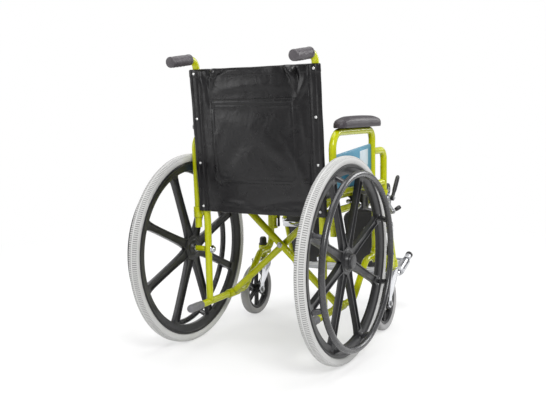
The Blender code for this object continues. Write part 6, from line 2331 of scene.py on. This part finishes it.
@dataclass
class WheelLock:
    """Chrome clamp and link plate, a black hand lever and the ribbed shoe bar before the tyre."""

    y: float = -0.351
    pivot_y: float = -0.336
    clamp_w: float = 0.034
    plate_t: float = 0.004
    lever_x: float = 0.293
    lever_l: float = 0.086
    grip_r: float = 0.0070
    lean: float = radians(38)
    pivot_z: float = 0.452
    shoe_pivot_z: float = 0.408
    shoe_r: float = 0.0075
    shoe_clear: float = 0.009
    shoe_ribs: int = 9
    pin_r: float = 0.0035

    def __post_init__(self) -> None:
        """Works out the plate's place and both pivots."""
        self.plate_x = self.lever_x - 0.016
        self.lever_pivot = Vector((self.lever_x, self.pivot_y, self.pivot_z))
        self.shoe_pivot = Vector((self.lever_x, self.pivot_y - 0.004, self.shoe_pivot_z))

    def base(self) -> Piece:
        """Welds the clamp round the rail to its arm and the plate with both pins.

        Returns:
            The base.
        """
        y, z = self.y, LAY.upper_rail_z
        at, lever, shoe = (LAY.frame_x, y, z), self.lever_pivot, self.shoe_pivot
        clamp = through(at, BACK, self.clamp_w / 2, LAY.tube_r + 0.004, 40, 0.0012)
        arm = box((LAY.frame_x + LAY.tube_r * 0.6, y - 0.007, z - 0.0065),
                  (self.plate_x + 0.0015, y + 0.007, z + 0.0065), 0.0012)
        outline = [(y - 0.008, shoe.z - 0.006), (shoe.y + 0.010, shoe.z - 0.010),
                   (shoe.y + 0.016, shoe.z + 0.004), (lever.y + 0.012, lever.z - 0.006),
                   (lever.y + 0.008, lever.z + 0.010), (lever.y - 0.010, lever.z + 0.010),
                   (y - 0.012, z + 0.009)]
        plate = prism(outline, (self.plate_x, 0, 0), BACK, UP, self.plate_t, 0.0009)
        pins = [rod((self.plate_x, p.y, p.z), (self.lever_x + 0.006, p.y, p.z), self.pin_r, 24)
                for p in (lever, shoe)]
        return cut(weld(clamp, arm, plate, *pins), through(at, BACK, 0.05, LAY.tube_r + LAY.touch, 36))

    def bolts(self) -> Piece:
        """Places the clamp's bolt and the nuts on both pins.

        Returns:
            Bolt and nuts.
        """
        places = [((self.plate_x - self.plate_t / 2, self.y - 0.001, LAY.upper_rail_z + 0.001), -OUT, UP)]
        for p in (self.lever_pivot, self.shoe_pivot):
            places.append(((self.lever_x + 0.0052, p.y, p.z), OUT, UP))
        return Scatter.run(Smalls.hex_head(0.0042, 0.0034), places, ZINC)

    def lever(self) -> Piece:
        """Turns the hand lever's grip on its strap and hub.

        Returns:
            The lever.
        """
        pivot, r, end = self.lever_pivot, self.grip_r, self.lever_l
        up = Vector((0, -sin(self.lean), cos(self.lean)))
        keys = [(0.020, 0.72), (0.022, 0.80), (0.027, 0.96), (0.034, 1.0), (0.055, 1.02), (end - 0.014, 1.0),
                (end - 0.007, 0.94), (end - 0.003, 0.78), (end - 0.0008, 0.50), (end, 0.22)]
        grip = grip_along(pivot, up, [(distance, r * share) for distance, share in keys], 28)
        strap = prism(mm((-6, 0), (6, 0), (5.5, 30), (-5.5, 30)), pivot, (0, up.z, -up.y), up, 0.008, 0.0012)
        return cut(weld(grip, strap, through(pivot, OUT, 0.005, 0.009)),
                   through(pivot, OUT, 0.02, self.pin_r + LAY.run, 24))

    def shoe(self) -> Piece:
        """Turns the ribbed bar that presses on the tyre, with its strap and hub.

        Returns:
            The shoe.
        """
        pivot, r, z = self.shoe_pivot, self.shoe_r, self.pivot_z - 0.016
        tyre_y = LAY.wheel_y - sqrt(LAY.wheel_r ** 2 - (z - LAY.wheel_r) ** 2)
        start = Vector((LAY.wheel_x - LAY.tyre_w / 2, tyre_y - r - self.shoe_clear, z))
        reach = self.lever_x + 0.005 - start.x
        profile = [(0, 0), (r - 0.001, 0), (r, 0.001)]
        for k in range(self.shoe_ribs):
            profile += mm((0, 0), (-0.7, 0.6), (-0.7, 1.4), (0, 2), u=r, v=0.003 + 0.0035 * k)
        bar = lathe(profile + [(r, reach - 0.001), (r - 0.001, reach), (0, reach)], start, OUT, 28)
        along = Vector((0, start.y - pivot.y, z - pivot.z))
        length = along.length
        along.normalize()
        strap = prism([(-0.006, 0.0), (0.006, 0.0), (0.005, length), (-0.005, length)], pivot,
                      (0, along.z, -along.y), along, 0.007, 0.001)
        return cut(weld(bar, strap, through(pivot, OUT, 0.005, 0.0085)),
                   through(pivot, OUT, 0.02, self.pin_r + LAY.run, 24))

    def build(self) -> None:
        """Builds and dresses both wheel locks."""
        pair(dress(self.base(), CHROME), "lock_base", "side", "lock_base")
        pair(self.bolts(), "lock_bolts", "side")
        pair(dress(self.lever(), PLASTIC), "lock_lever", "lock_lever", "lock_lever")
        pair(dress(self.shoe(), ZINC), "lock_shoe", "lock_shoe", "lock_shoe")


LEG_ANGLE = radians(20.3)
LEG_DOWN = Vector((0, -sin(LEG_ANGLE), -cos(LEG_ANGLE)))
LEG_AHEAD = Vector((0, -cos(LEG_ANGLE), sin(LEG_ANGLE)))
KNEE = Vector((LAY.leg_x, -0.488, 0.463))


def leg_point(q: float, s: float = 0.0, x: float = LAY.leg_x) -> Vector:
    """A point of the legrest, q down along the leg tube from the knee and s ahead of it."""
    p = KNEE + LEG_DOWN * q + LEG_AHEAD * s
    return Vector((x, p.y, p.z))


def leg_bar(start: tuple[float, ...], end: tuple[float, ...], radius: float, sides: int = 28,
            bevel: float = 0.0006) -> Piece:
    """A bar between two points of the legrest, given by their q and s."""
    return rod(leg_point(*start), leg_point(*end), radius, sides, bevel)


@dataclass
class Hanger:
    """Lime hanger tube that swings away, black knee bracket, leg release lever and swing latch."""

    bend: float = 0.022
    release_z: float = 0.372
    latch_z: float = 0.352
    axle_r: float = 0.0030
    leg_r: float = 0.0100
    knee_gap: float = 0.0015
    cheek_t: float = 0.005
    cheek_r: float = 0.021
    pin_r: float = 0.005

    def __post_init__(self) -> None:
        """Works out where the levers sit and which way their axles point."""
        self.side = Vector((1, -1, 0)).normalized()
        self.release = Vector((LAY.leg_x, LAY.hanger_y, self.release_z))
        self.latch = Vector((LAY.leg_x, LAY.hanger_y, self.latch_z))
        self.cheek_x = self.leg_r + self.knee_gap

    def path(self) -> list[Vector]:
        """The tube's centre line, up from its foot and forward to the knee."""
        x, y = LAY.leg_x, LAY.hanger_y
        return round_path([(x, y, LAY.hanger_foot_z), (x, y, KNEE.z), (x, KNEE.y + 0.018, KNEE.z + 0.002)],
                          [self.bend], 14)

    def tube(self) -> Piece:
        """Welds the tube to the bosses and axles of both levers, bored for the lower pin.

        Returns:
            The tube.
        """
        r, foot = LAY.tube_r, LAY.hanger_foot_z
        stubs = [rod(at, at + way * (r + reach), radius, sides) for at, way, reach, radius, sides in (
            (self.release, self.side, 0.006, 0.0075, 28), (self.latch, -OUT, 0.006, 0.0065, 28),
            (self.release, self.side, 0.014, self.axle_r, 20), (self.latch, -OUT, 0.013, self.axle_r, 20))]
        return cut(weld(sweep(self.path(), r), *stubs),
                   upright(LAY.leg_x, LAY.hanger_y, foot - 0.01, foot + 0.020, 0.0060 + LAY.run))

    def knee(self) -> Piece:
        """Welds two rounded cheeks and a hood round the knee pin.

        Returns:
            The bracket.
        """
        r, ahead = self.cheek_r, -BACK
        outline = [(r * cos(radians(a)), r * sin(radians(a))) for a in range(-140, 141, 14)]
        outline += mm((-34, 12), (-38.5, 8), (-40, 4), (-40, -20), (-36, -24), (-28, -26))
        cheeks = [prism(outline, KNEE + OUT * (side * (self.cheek_x + self.cheek_t / 2)), ahead, UP,
                        self.cheek_t, 0.0014, 3) for side in (-1, 1)]
        hood = prism(mm((-34, 12.5), (-6, 12.5), (-6, 16.5), (-34, 16.5)), KNEE, ahead, UP,
                     2 * self.cheek_x + self.cheek_t, 0.0008)
        pin = through(KNEE, OUT, self.cheek_x + self.cheek_t + 0.001, self.pin_r)
        return cut(weld(*cheeks, hood, pin), sweep(self.path(), LAY.tube_r + LAY.touch))

    def nuts(self) -> Piece:
        """The nuts on both ends of the knee pin."""
        face = self.cheek_x + self.cheek_t + 0.0002
        places = [(KNEE + OUT * (side * face), (side, 0, 0), UP) for side in (-1, 1)]
        return Scatter.run(Smalls.hex_head(0.0062, 0.0030), places, ZINC)

    def release_lever(self) -> tuple[Piece, Piece]:
        """Makes the leg release lever.

        Returns:
            Its chrome root and its black sleeve.
        """
        side, at = self.side, self.release + self.side * (LAY.tube_r + 0.010)
        rise = Vector((0.70, -0.50, 0.51)).normalized()
        root = cut(weld(through(at, side, 0.0035, 0.0075), sweep([at, at + rise * 0.036], 0.0036, 20)),
                   through(at, side, 0.010, self.axle_r + LAY.run, 20))
        keys = mm((14, 4.4), (14.5, 4.7), (18, 4.8), (41, 4.8), (45, 6.4), (49, 7.2), (58, 7.3), (62, 6.5),
                  (64, 4.8), (64.8, 2.2))
        return root, grip_along(at, rise, keys, 24)

    def latch_tongue(self) -> Piece:
        """Makes the swing latch that hangs from its axle.

        Returns:
            The tongue.
        """
        at = self.latch - OUT * (LAY.tube_r + 0.0095)
        outline = mm((-5, 0), (5, 0), (6.5, -30), (5.5, -34.5), (3, -36), (-3, -36), (-5.5, -34.5),
                     (-6.5, -30))
        tongue = weld(prism(outline, at, BACK, UP, 0.0045, 0.0009), through(at, OUT, 0.003, 0.0070))
        return cut(tongue, through(at, OUT, 0.01, self.axle_r + LAY.run, 20))

    def build(self) -> None:
        """Builds and dresses both hangers with their levers."""
        pair(dress(self.tube(), ENAMEL), "hanger", "hanger", "hanger")
        pair(dress(self.knee(), PLASTIC), "knee_bracket", "hanger", "knee_bracket")
        pair(self.nuts(), "knee_nuts", "hanger")
        root, sleeve = self.release_lever()
        pair(dress(root, CHROME), "leg_release_root", "leg_release", "")
        pair(dress(sleeve, PLASTIC), "leg_release", "leg_release", "leg_release")
        pair(dress(self.latch_tongue(), PLASTIC), "hanger_latch", "hanger_latch", "hanger_latch")


@dataclass
class LegRest:
    """Elevating leg tube with its chrome extension, footplate and calf pad."""

    leg_r: float = 0.0100
    bore_r: float = 0.0086
    ext_r: float = 0.0080
    length: float = 0.312
    elbow_q: float = 0.352
    insert: float = 0.120
    foot_reach: float = 0.150
    ext_bend: float = 0.018
    pin_r: float = 0.005
    plate_inner_x: float = 0.024
    plate_outer: float = 0.010
    plate_d: float = 0.118
    plate_t: float = 0.008
    plate_drop: float = 0.0150
    plate_gap: float = 0.0045
    tray: float = 0.003
    tray_rim: float = 0.008
    ribs_count: int = 9
    foot_plug_r: float = 0.0135
    foot_plug_t: float = 0.012
    barrel_r: float = 0.0125
    barrel_l: float = 0.024
    calf_w: float = 0.147
    calf_l: float = 0.236
    calf_t: float = 0.038
    calf_end: float = 0.046
    calf_top_q: float = 0.076
    calf_clear_x: float = 0.014
    calf_back_s: float = -0.018
    calf_arm_q: float = 0.150
    arm_t: float = 0.004
    arm_w: float = 0.022

    def __post_init__(self) -> None:
        """Works out the places of the plate, its tray and the calf pad."""
        outer_x = LAY.leg_x + self.plate_outer
        self.near = self.foot_reach - self.plate_gap - self.plate_d
        self.plate_w, self.plate_q = outer_x - self.plate_inner_x, self.elbow_q + self.plate_drop
        self.plate_x = (outer_x + self.plate_inner_x) / 2
        self.tray_w = self.plate_w - self.plate_outer - self.barrel_r - 0.012 - self.tray_rim
        self.tray_x = self.plate_inner_x + self.tray_rim + self.tray_w / 2
        self.calf_x = LAY.leg_x - self.leg_r - self.calf_clear_x + 0.008 - self.calf_w / 2
        self.calf_q = self.calf_top_q + self.calf_l / 2

    def tube(self) -> Piece:
        """Turns the leg tube, bored from below for the extension and across for the knee pin.

        Returns:
            The tube.
        """
        r, bore, end = self.leg_r, self.bore_r, -self.length
        bore_end = end + self.insert + 0.020
        profile = [(0, bore_end), (bore, bore_end), (bore, end), (r - 0.0004, end), (r, end + 0.0005),
                   (r, 0.003), (r * 0.93, 0.006), (r * 0.75, 0.0085), (r * 0.4, 0.0105), (0, 0.011)]
        return cut(lathe(profile, KNEE, -LEG_DOWN, 36), through(KNEE, OUT, 0.02, self.pin_r + LAY.run, 24))

    def collar(self) -> Piece:
        """The collar round the leg tube's lower end."""
        end = self.length
        return cut(leg_bar((end - 0.026,), (end - 0.002,), self.leg_r + 0.0030, 40, 0.0009),
                   leg_bar((end - 0.04,), (end + 0.01,), self.leg_r + 0.0001, 36))

    def clamp_screw(self) -> Piece:
        """The screw behind the collar."""
        at = leg_point(self.length - 0.014, 0) - LEG_AHEAD * (self.leg_r + 0.0028)
        return Scatter.run(Smalls.hex_head(0.0046, 0.0044), [(at, -LEG_AHEAD, LEG_DOWN)], ZINC)

    def extension(self) -> Piece:
        """The chrome extension bent forward to the foot."""
        elbow, reach = self.elbow_q, self.foot_reach
        path = [leg_point(self.length - self.insert), leg_point(elbow), leg_point(elbow, reach)]
        return sweep(round_path(path, [self.ext_bend], 14), self.ext_r)

    def extension_plug(self) -> Piece:
        """The black disc on the extension's end."""
        q, s = self.elbow_q, self.foot_reach - 0.004
        return cut(leg_bar((q, s), (q, s + self.foot_plug_t), self.foot_plug_r, 40, 0.002),
                   leg_bar((q, s - 0.01), (q, self.foot_reach), self.ext_r))

    def footplate(self) -> Piece:
        """Cuts the tray into the plate and welds it to its two barrels, bored for the extension.

        Returns:
            The plate.
        """
        near, q, elbow, across, depth = self.near, self.plate_q, self.elbow_q, -OUT, self.plate_d
        mid = near + depth / 2
        plate = prism(rounded_rect(self.plate_w, depth, 0.022, 10), leg_point(q, mid, self.plate_x), across,
                      LEG_AHEAD, self.plate_t, 0.0016, 3)
        tray = prism(rounded_rect(self.tray_w, depth - 2 * self.tray_rim, 0.016, 8),
                     leg_point(q - self.plate_t + self.tray, mid, self.tray_x), across, LEG_AHEAD,
                     self.plate_t, 0)
        barrels = [leg_bar((elbow, s), (elbow, s + self.barrel_l), self.barrel_r, 40, 0.001)
                   for s in (near + 0.002, near + depth - self.barrel_l - 0.002)]
        bore = leg_bar((elbow, near - 0.01), (elbow, self.foot_reach + 0.02), self.ext_r + 0.0009, 36)
        return cut(weld(cut(plate, tray), *barrels), bore)

    def foot_ribs(self) -> Piece:
        """Lays the pale ribs across the plate's tray.

        Returns:
            All ribs of one plate.
        """
        q, last = self.plate_q - self.plate_t / 2 + self.tray - 0.0004, self.ribs_count - 1
        return join(*(prism(rounded_rect(self.tray_w - 0.012, 0.0036, 0.0016, 4),
                            leg_point(q, self.near + 0.018 + k * (self.plate_d - 0.036) / last, self.tray_x),
                            -OUT, LEG_AHEAD, 0.0018, 0.0004) for k in range(self.ribs_count)))

    def foot_bolts(self) -> Piece:
        """The bolts under the plate."""
        places = [(leg_point(self.plate_q + self.plate_t / 2, s, LAY.leg_x - 0.030), LEG_DOWN, LEG_AHEAD)
                  for s in (self.near + 0.014, self.near + self.plate_d - 0.014)]
        return Scatter.run(Smalls.hex_head(0.0048, 0.0044), places, ZINC)

    def calf_ring(self, size: float, depth: float, steps: int = 40) -> list[Vector]:
        """Draws the calf pad's outline at one depth, drawn in a little at even places as by its stuffing.

        Args:
            size: share of the full outline.
            depth: share of the pad's thickness.
            steps: points on each end's arc, less one.

        Returns:
            Points round the outline.
        """
        ring, total = [], 2 * (steps + 1)
        shorter = 1 - (1 - size) * 0.62
        for i in range(total):
            end, a = (1, -1)[i // (steps + 1)], pi * (i % (steps + 1)) / steps
            across = end * self.calf_w / 2 * cos(a)
            along = end * (self.calf_l / 2 - self.calf_end + self.calf_end * sin(a))
            pull = 1.0
            if 0.05 < depth < 0.9:
                pull -= 0.004 * (1 + cos(23 * 2 * pi * i / total)) * (1 - abs(2 * depth - 0.55))
            ring.append(leg_point(self.calf_q + along * shorter * pull,
                                  self.calf_back_s + self.calf_t * depth, self.calf_x + across * size * pull))
        return ring

    def calf_pad(self) -> Piece:
        """Skins the stuffed pad ring by ring up to the middle of its face.

        Returns:
            The pad.
        """
        layers = [(0.86, 0.07), (0.945, 0.07), (0.975, 0.10), (0.985, 0.16), (0.995, 0.24), (0.998, 0.34),
                  (0.995, 0.46), (0.985, 0.58), (0.965, 0.69), (0.935, 0.785), (0.89, 0.865), (0.83, 0.92),
                  (0.76, 0.955), (0.66, 0.975), (0.54, 0.990), (0.40, 1.000), (0.24, 1.006), (0.10, 1.009)]
        verts = [v for size, depth in layers for v in self.calf_ring(size, depth)]
        n, count = len(verts) // len(layers), len(verts)
        verts.append(leg_point(self.calf_q, self.calf_back_s + self.calf_t * 1.01, self.calf_x))
        fan = [(count - n + k, count - n + (k + 1) % n, count) for k in range(n)]
        return mesh_object("pad", verts, ring_faces(len(layers), n)[:-1] + fan)

    def calf_board(self) -> Piece:
        """The board behind the pad."""
        rings = [self.calf_ring(size, depth) for size, depth in ((0.93, 0.0), (0.95, 0.012), (0.95, 0.065))]
        return mesh_object("board", sum(rings, []), ring_faces(len(rings), len(rings[0])))

    def calf_arm(self) -> Piece:
        """Welds the sleeve round the leg tube to the flat bar behind the pad.

        Returns:
            The bracket.
        """
        q, half, reach = self.calf_arm_q, self.arm_w / 2, self.calf_x - LAY.leg_x
        bore_r = self.leg_r + LAY.run + 0.0002
        sleeve = leg_bar((q - 0.017,), (q + 0.017,), bore_r + 0.0035, 40, 0.001)
        back_s = self.calf_back_s - LAY.touch - self.arm_t / 2
        bar = prism([(0.004, -half), (reach + 0.012, -half), (reach + 0.003, -half * 0.5), (reach, 0.0),
                     (reach + 0.003, half * 0.5), (reach + 0.012, half), (0.004, half)],
                    leg_point(q, back_s), OUT, LEG_DOWN, self.arm_t, 0.001)
        tall = half * 0.8
        neck = prism([(-0.003, -tall), (0.003, -tall), (0.003, tall), (-0.003, tall)],
                     leg_point(q, back_s / 2), OUT, LEG_DOWN, abs(back_s), 0.0008)
        return cut(weld(sleeve, bar, neck), leg_bar((q - 0.05,), (q + 0.05,), bore_r, 36))

    def calf_screws(self) -> Piece:
        """Places the two screws that hold the pad to its bar.

        Returns:
            Both screws.
        """
        back = self.calf_back_s - LAY.touch - self.arm_t
        places = [(leg_point(self.calf_arm_q + dq, back, self.calf_x + 0.022), -LEG_AHEAD, LEG_DOWN)
                  for dq in (-0.006, 0.006)]
        return Scatter.run(Smalls.pan_screw(0.0032), places, ZINC)

    def build(self) -> None:
        """Builds and dresses both legrests."""
        pair(dress(self.tube(), ENAMEL), "leg_tube", "leg", "leg_tube")
        pair(dress(self.collar(), ENAMEL), "leg_collar", "leg", "")
        pair(self.clamp_screw(), "leg_clamp_screw", "leg")
        pair(dress(self.extension(), CHROME), "leg_extension", "extension", "leg_extension")
        pair(dress(self.extension_plug(), PLASTIC), "leg_extension_plug", "extension", "")
        pair(dress(self.footplate(), ALLOY), "footplate", "footplate", "footplate")
        pair(dress(self.foot_ribs(), WHITE_BAND), "footplate_ribs", "footplate", "")
        pair(self.foot_bolts(), "footplate_bolts", "footplate")
        for pad in pair(dress(self.calf_pad(), CALF_VINYL, 70), "calf_pad", "calf_rest", "calf_pad"):
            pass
        piping = sweep(self.calf_ring(1.0, 0.10)[::2], 0.0019, 10, closed=True)
        pair(dress(piping, PIPING), "calf_piping", "calf_rest", "")
        pair(dress(self.calf_board(), PLASTIC), "calf_board", "calf_rest", "")
        pair(dress(self.calf_arm(), CHROME), "calf_bracket", "calf_rest", "calf_bracket")
        pair(self.calf_screws(), "calf_screws", "calf_rest")


@dataclass
class Studio:
    """Pale floor, soft lights and the camera where the photograph was taken from.

    The camera was found from the wheels, canes and rails in the photograph. Its focal length is in the
    photograph's pixels, and its eye in chair coordinates.
    """

    floor_size: float = 6.0
    fade_from: float = 0.9
    fade_to: float = 2.4
    middle: tuple[float, ...] = (0, 0, 0.45)
    photo_width: float = 546.0
    focal_length: float = 755.0
    sensor_mm: float = 36.0
    eye: tuple[float, ...] = (-1.14, 1.96, 0.73)
    yaw: float = radians(150.7)
    pitch: float = radians(-6.95)
    roll: float = radians(-1.0)

    def floor_material(self) -> bpy.types.Material:
        """Writes a matt white with a faint cloud that turns to plain white far out, as seen by the camera.

        Returns:
            The material.
        """
        made = bpy.data.materials.new("studio_floor")
        made.use_nodes = True
        w = NodeWriter(made.node_tree)
        coords = w.add("ShaderNodeTexCoord").outputs["Object"]
        cloud = w.add("ShaderNodeTexNoise", {"Vector": coords, "Scale": 1.5, "Detail": 3.0}).outputs["Fac"]
        tone = w.add("ShaderNodeMix", {0: cloud, 6: linear("f2f2f2"), 7: linear("eeeeee")},
                     data_type="RGBA").outputs[2]
        shader = w.add("ShaderNodeBsdfPrincipled", {"Base Color": tone, "Roughness": 0.6,
                                                    "Specular IOR Level": 0.2})
        out = w.add("ShaderNodeVectorMath", {0: coords}, operation="LENGTH").outputs["Value"]
        fade = w.add("ShaderNodeMapRange", {"Value": out, "From Min": self.fade_from,
                                            "From Max": self.fade_to, "To Min": 0.5},
                     interpolation_type="SMOOTHSTEP").outputs[0]
        seen = w.add("ShaderNodeLightPath").outputs["Is Camera Ray"]
        share = w.add("ShaderNodeMath", {0: fade, 1: seen}, operation="MULTIPLY").outputs[0]
        white = w.add("ShaderNodeEmission", {"Color": linear("ffffff"), "Strength": 1.0})
        mixed = w.add("ShaderNodeMixShader", {0: share, 1: shader.outputs[0], 2: white.outputs[0]})
        w.add("ShaderNodeOutputMaterial", {"Surface": mixed.outputs[0]})
        return made

    def floor(self) -> None:
        """Lays a floor large enough for the shadow to fade out on it."""
        half = self.floor_size / 2
        verts = [(x, y, -0.0002) for y in (-half, 0, half) for x in (-half, 0, half)]
        faces = [(k, k + 1, k + 4, k + 3) for k in (0, 1, 3, 4)]
        ground = mesh_object("studio_floor", verts, faces)
        ground.data.materials.append(self.floor_material())

    def lamp(self, name: str, at: Sequence[float], aim: Sequence[float], size: float, power: float) -> None:
        """Hangs a square soft light.

        Args:
            name: the lamp's name.
            at: its place.
            aim: the point that it shines at.
            size: its edge in metres.
            power: in watts.
        """
        data = bpy.data.lights.new(name, "AREA")
        data.shape = "SQUARE"
        data.size = size
        data.energy = power
        lamp = link(name, data)
        lamp.location = at
        lamp.rotation_euler = (Vector(aim) - Vector(at)).to_track_quat("-Z", "Y").to_euler()

    def lights(self) -> None:
        """Hangs a key light behind the chair's right, softer ones round it and one overhead."""
        self.lamp("key", (-2.2, 2.4, 2.6), self.middle, 1.2, 90)
        self.lamp("fill", (2.6, 2.6, 1.4), self.middle, 2.0, 34)
        self.lamp("top", (0.0, 0.0, 3.2), ORIGIN, 2.4, 66)
        self.lamp("front", (-2.0, -3.0, 1.9), self.middle, 1.8, 62)
        self.lamp("front_fill", (2.8, -1.8, 1.2), self.middle, 2.0, 26)

    def world(self) -> None:
        """Makes the world white to the camera, and softer as a lamp."""
        world = bpy.data.worlds.new("studio")
        bpy.context.scene.world = world
        world.use_nodes = True
        w = NodeWriter(world.node_tree)
        path = w.add("ShaderNodeLightPath").outputs
        seen = w.add("ShaderNodeMath", {0: path["Is Camera Ray"], 1: path["Is Transmission Ray"]},
                     operation="MAXIMUM").outputs[0]
        ambient = w.add("ShaderNodeBackground", {"Color": linear("ffffff"), "Strength": 0.40})
        bright = w.add("ShaderNodeBackground", {"Color": linear("ffffff"), "Strength": 1.0})
        mixed = w.add("ShaderNodeMixShader", {0: seen, 1: ambient.outputs[0], 2: bright.outputs[0]})
        w.add("ShaderNodeOutputWorld", {"Surface": mixed.outputs[0]})

    def camera(self) -> None:
        """Sets the camera to the rear three-quarter view of the photograph."""
        yaw, pitch, roll = self.yaw, self.pitch, self.roll
        ahead = Vector((sin(yaw) * cos(pitch), cos(yaw) * cos(pitch), sin(pitch)))
        level = Vector((cos(yaw), -sin(yaw), 0))
        up = level.cross(ahead)
        right = level * cos(roll) + up * sin(roll)
        top = -level * sin(roll) + up * cos(roll)
        data = bpy.data.cameras.new("camera")
        data.sensor_width = self.sensor_mm
        data.lens = self.focal_length / self.photo_width * self.sensor_mm
        camera = link("camera", data)
        turn = Matrix((right, top, -ahead)).transposed().to_4x4()
        camera.matrix_world = Matrix.Translation(Vector(self.eye) + SHIFT) @ turn
        bpy.context.scene.camera = camera

    def build(self) -> None:
        """Sets up the floor, the lights, the world and the camera."""
        bpy.context.scene.view_settings.view_transform = "Standard"
        self.floor()
        self.lights()
        self.world()
        self.camera()


def main() -> None:
    """Builds the chair and the studio."""
    for assembly in (SideFrame(), Handles(), RearWheel(), Caster(), CrossBrace(), SeatSaddle(), BackSling(),
                     SeatSling(), Armrest(), WheelLock(), Hanger(), LegRest(), Studio()):
        assembly.build()


if __name__ == "__main__":
    main()
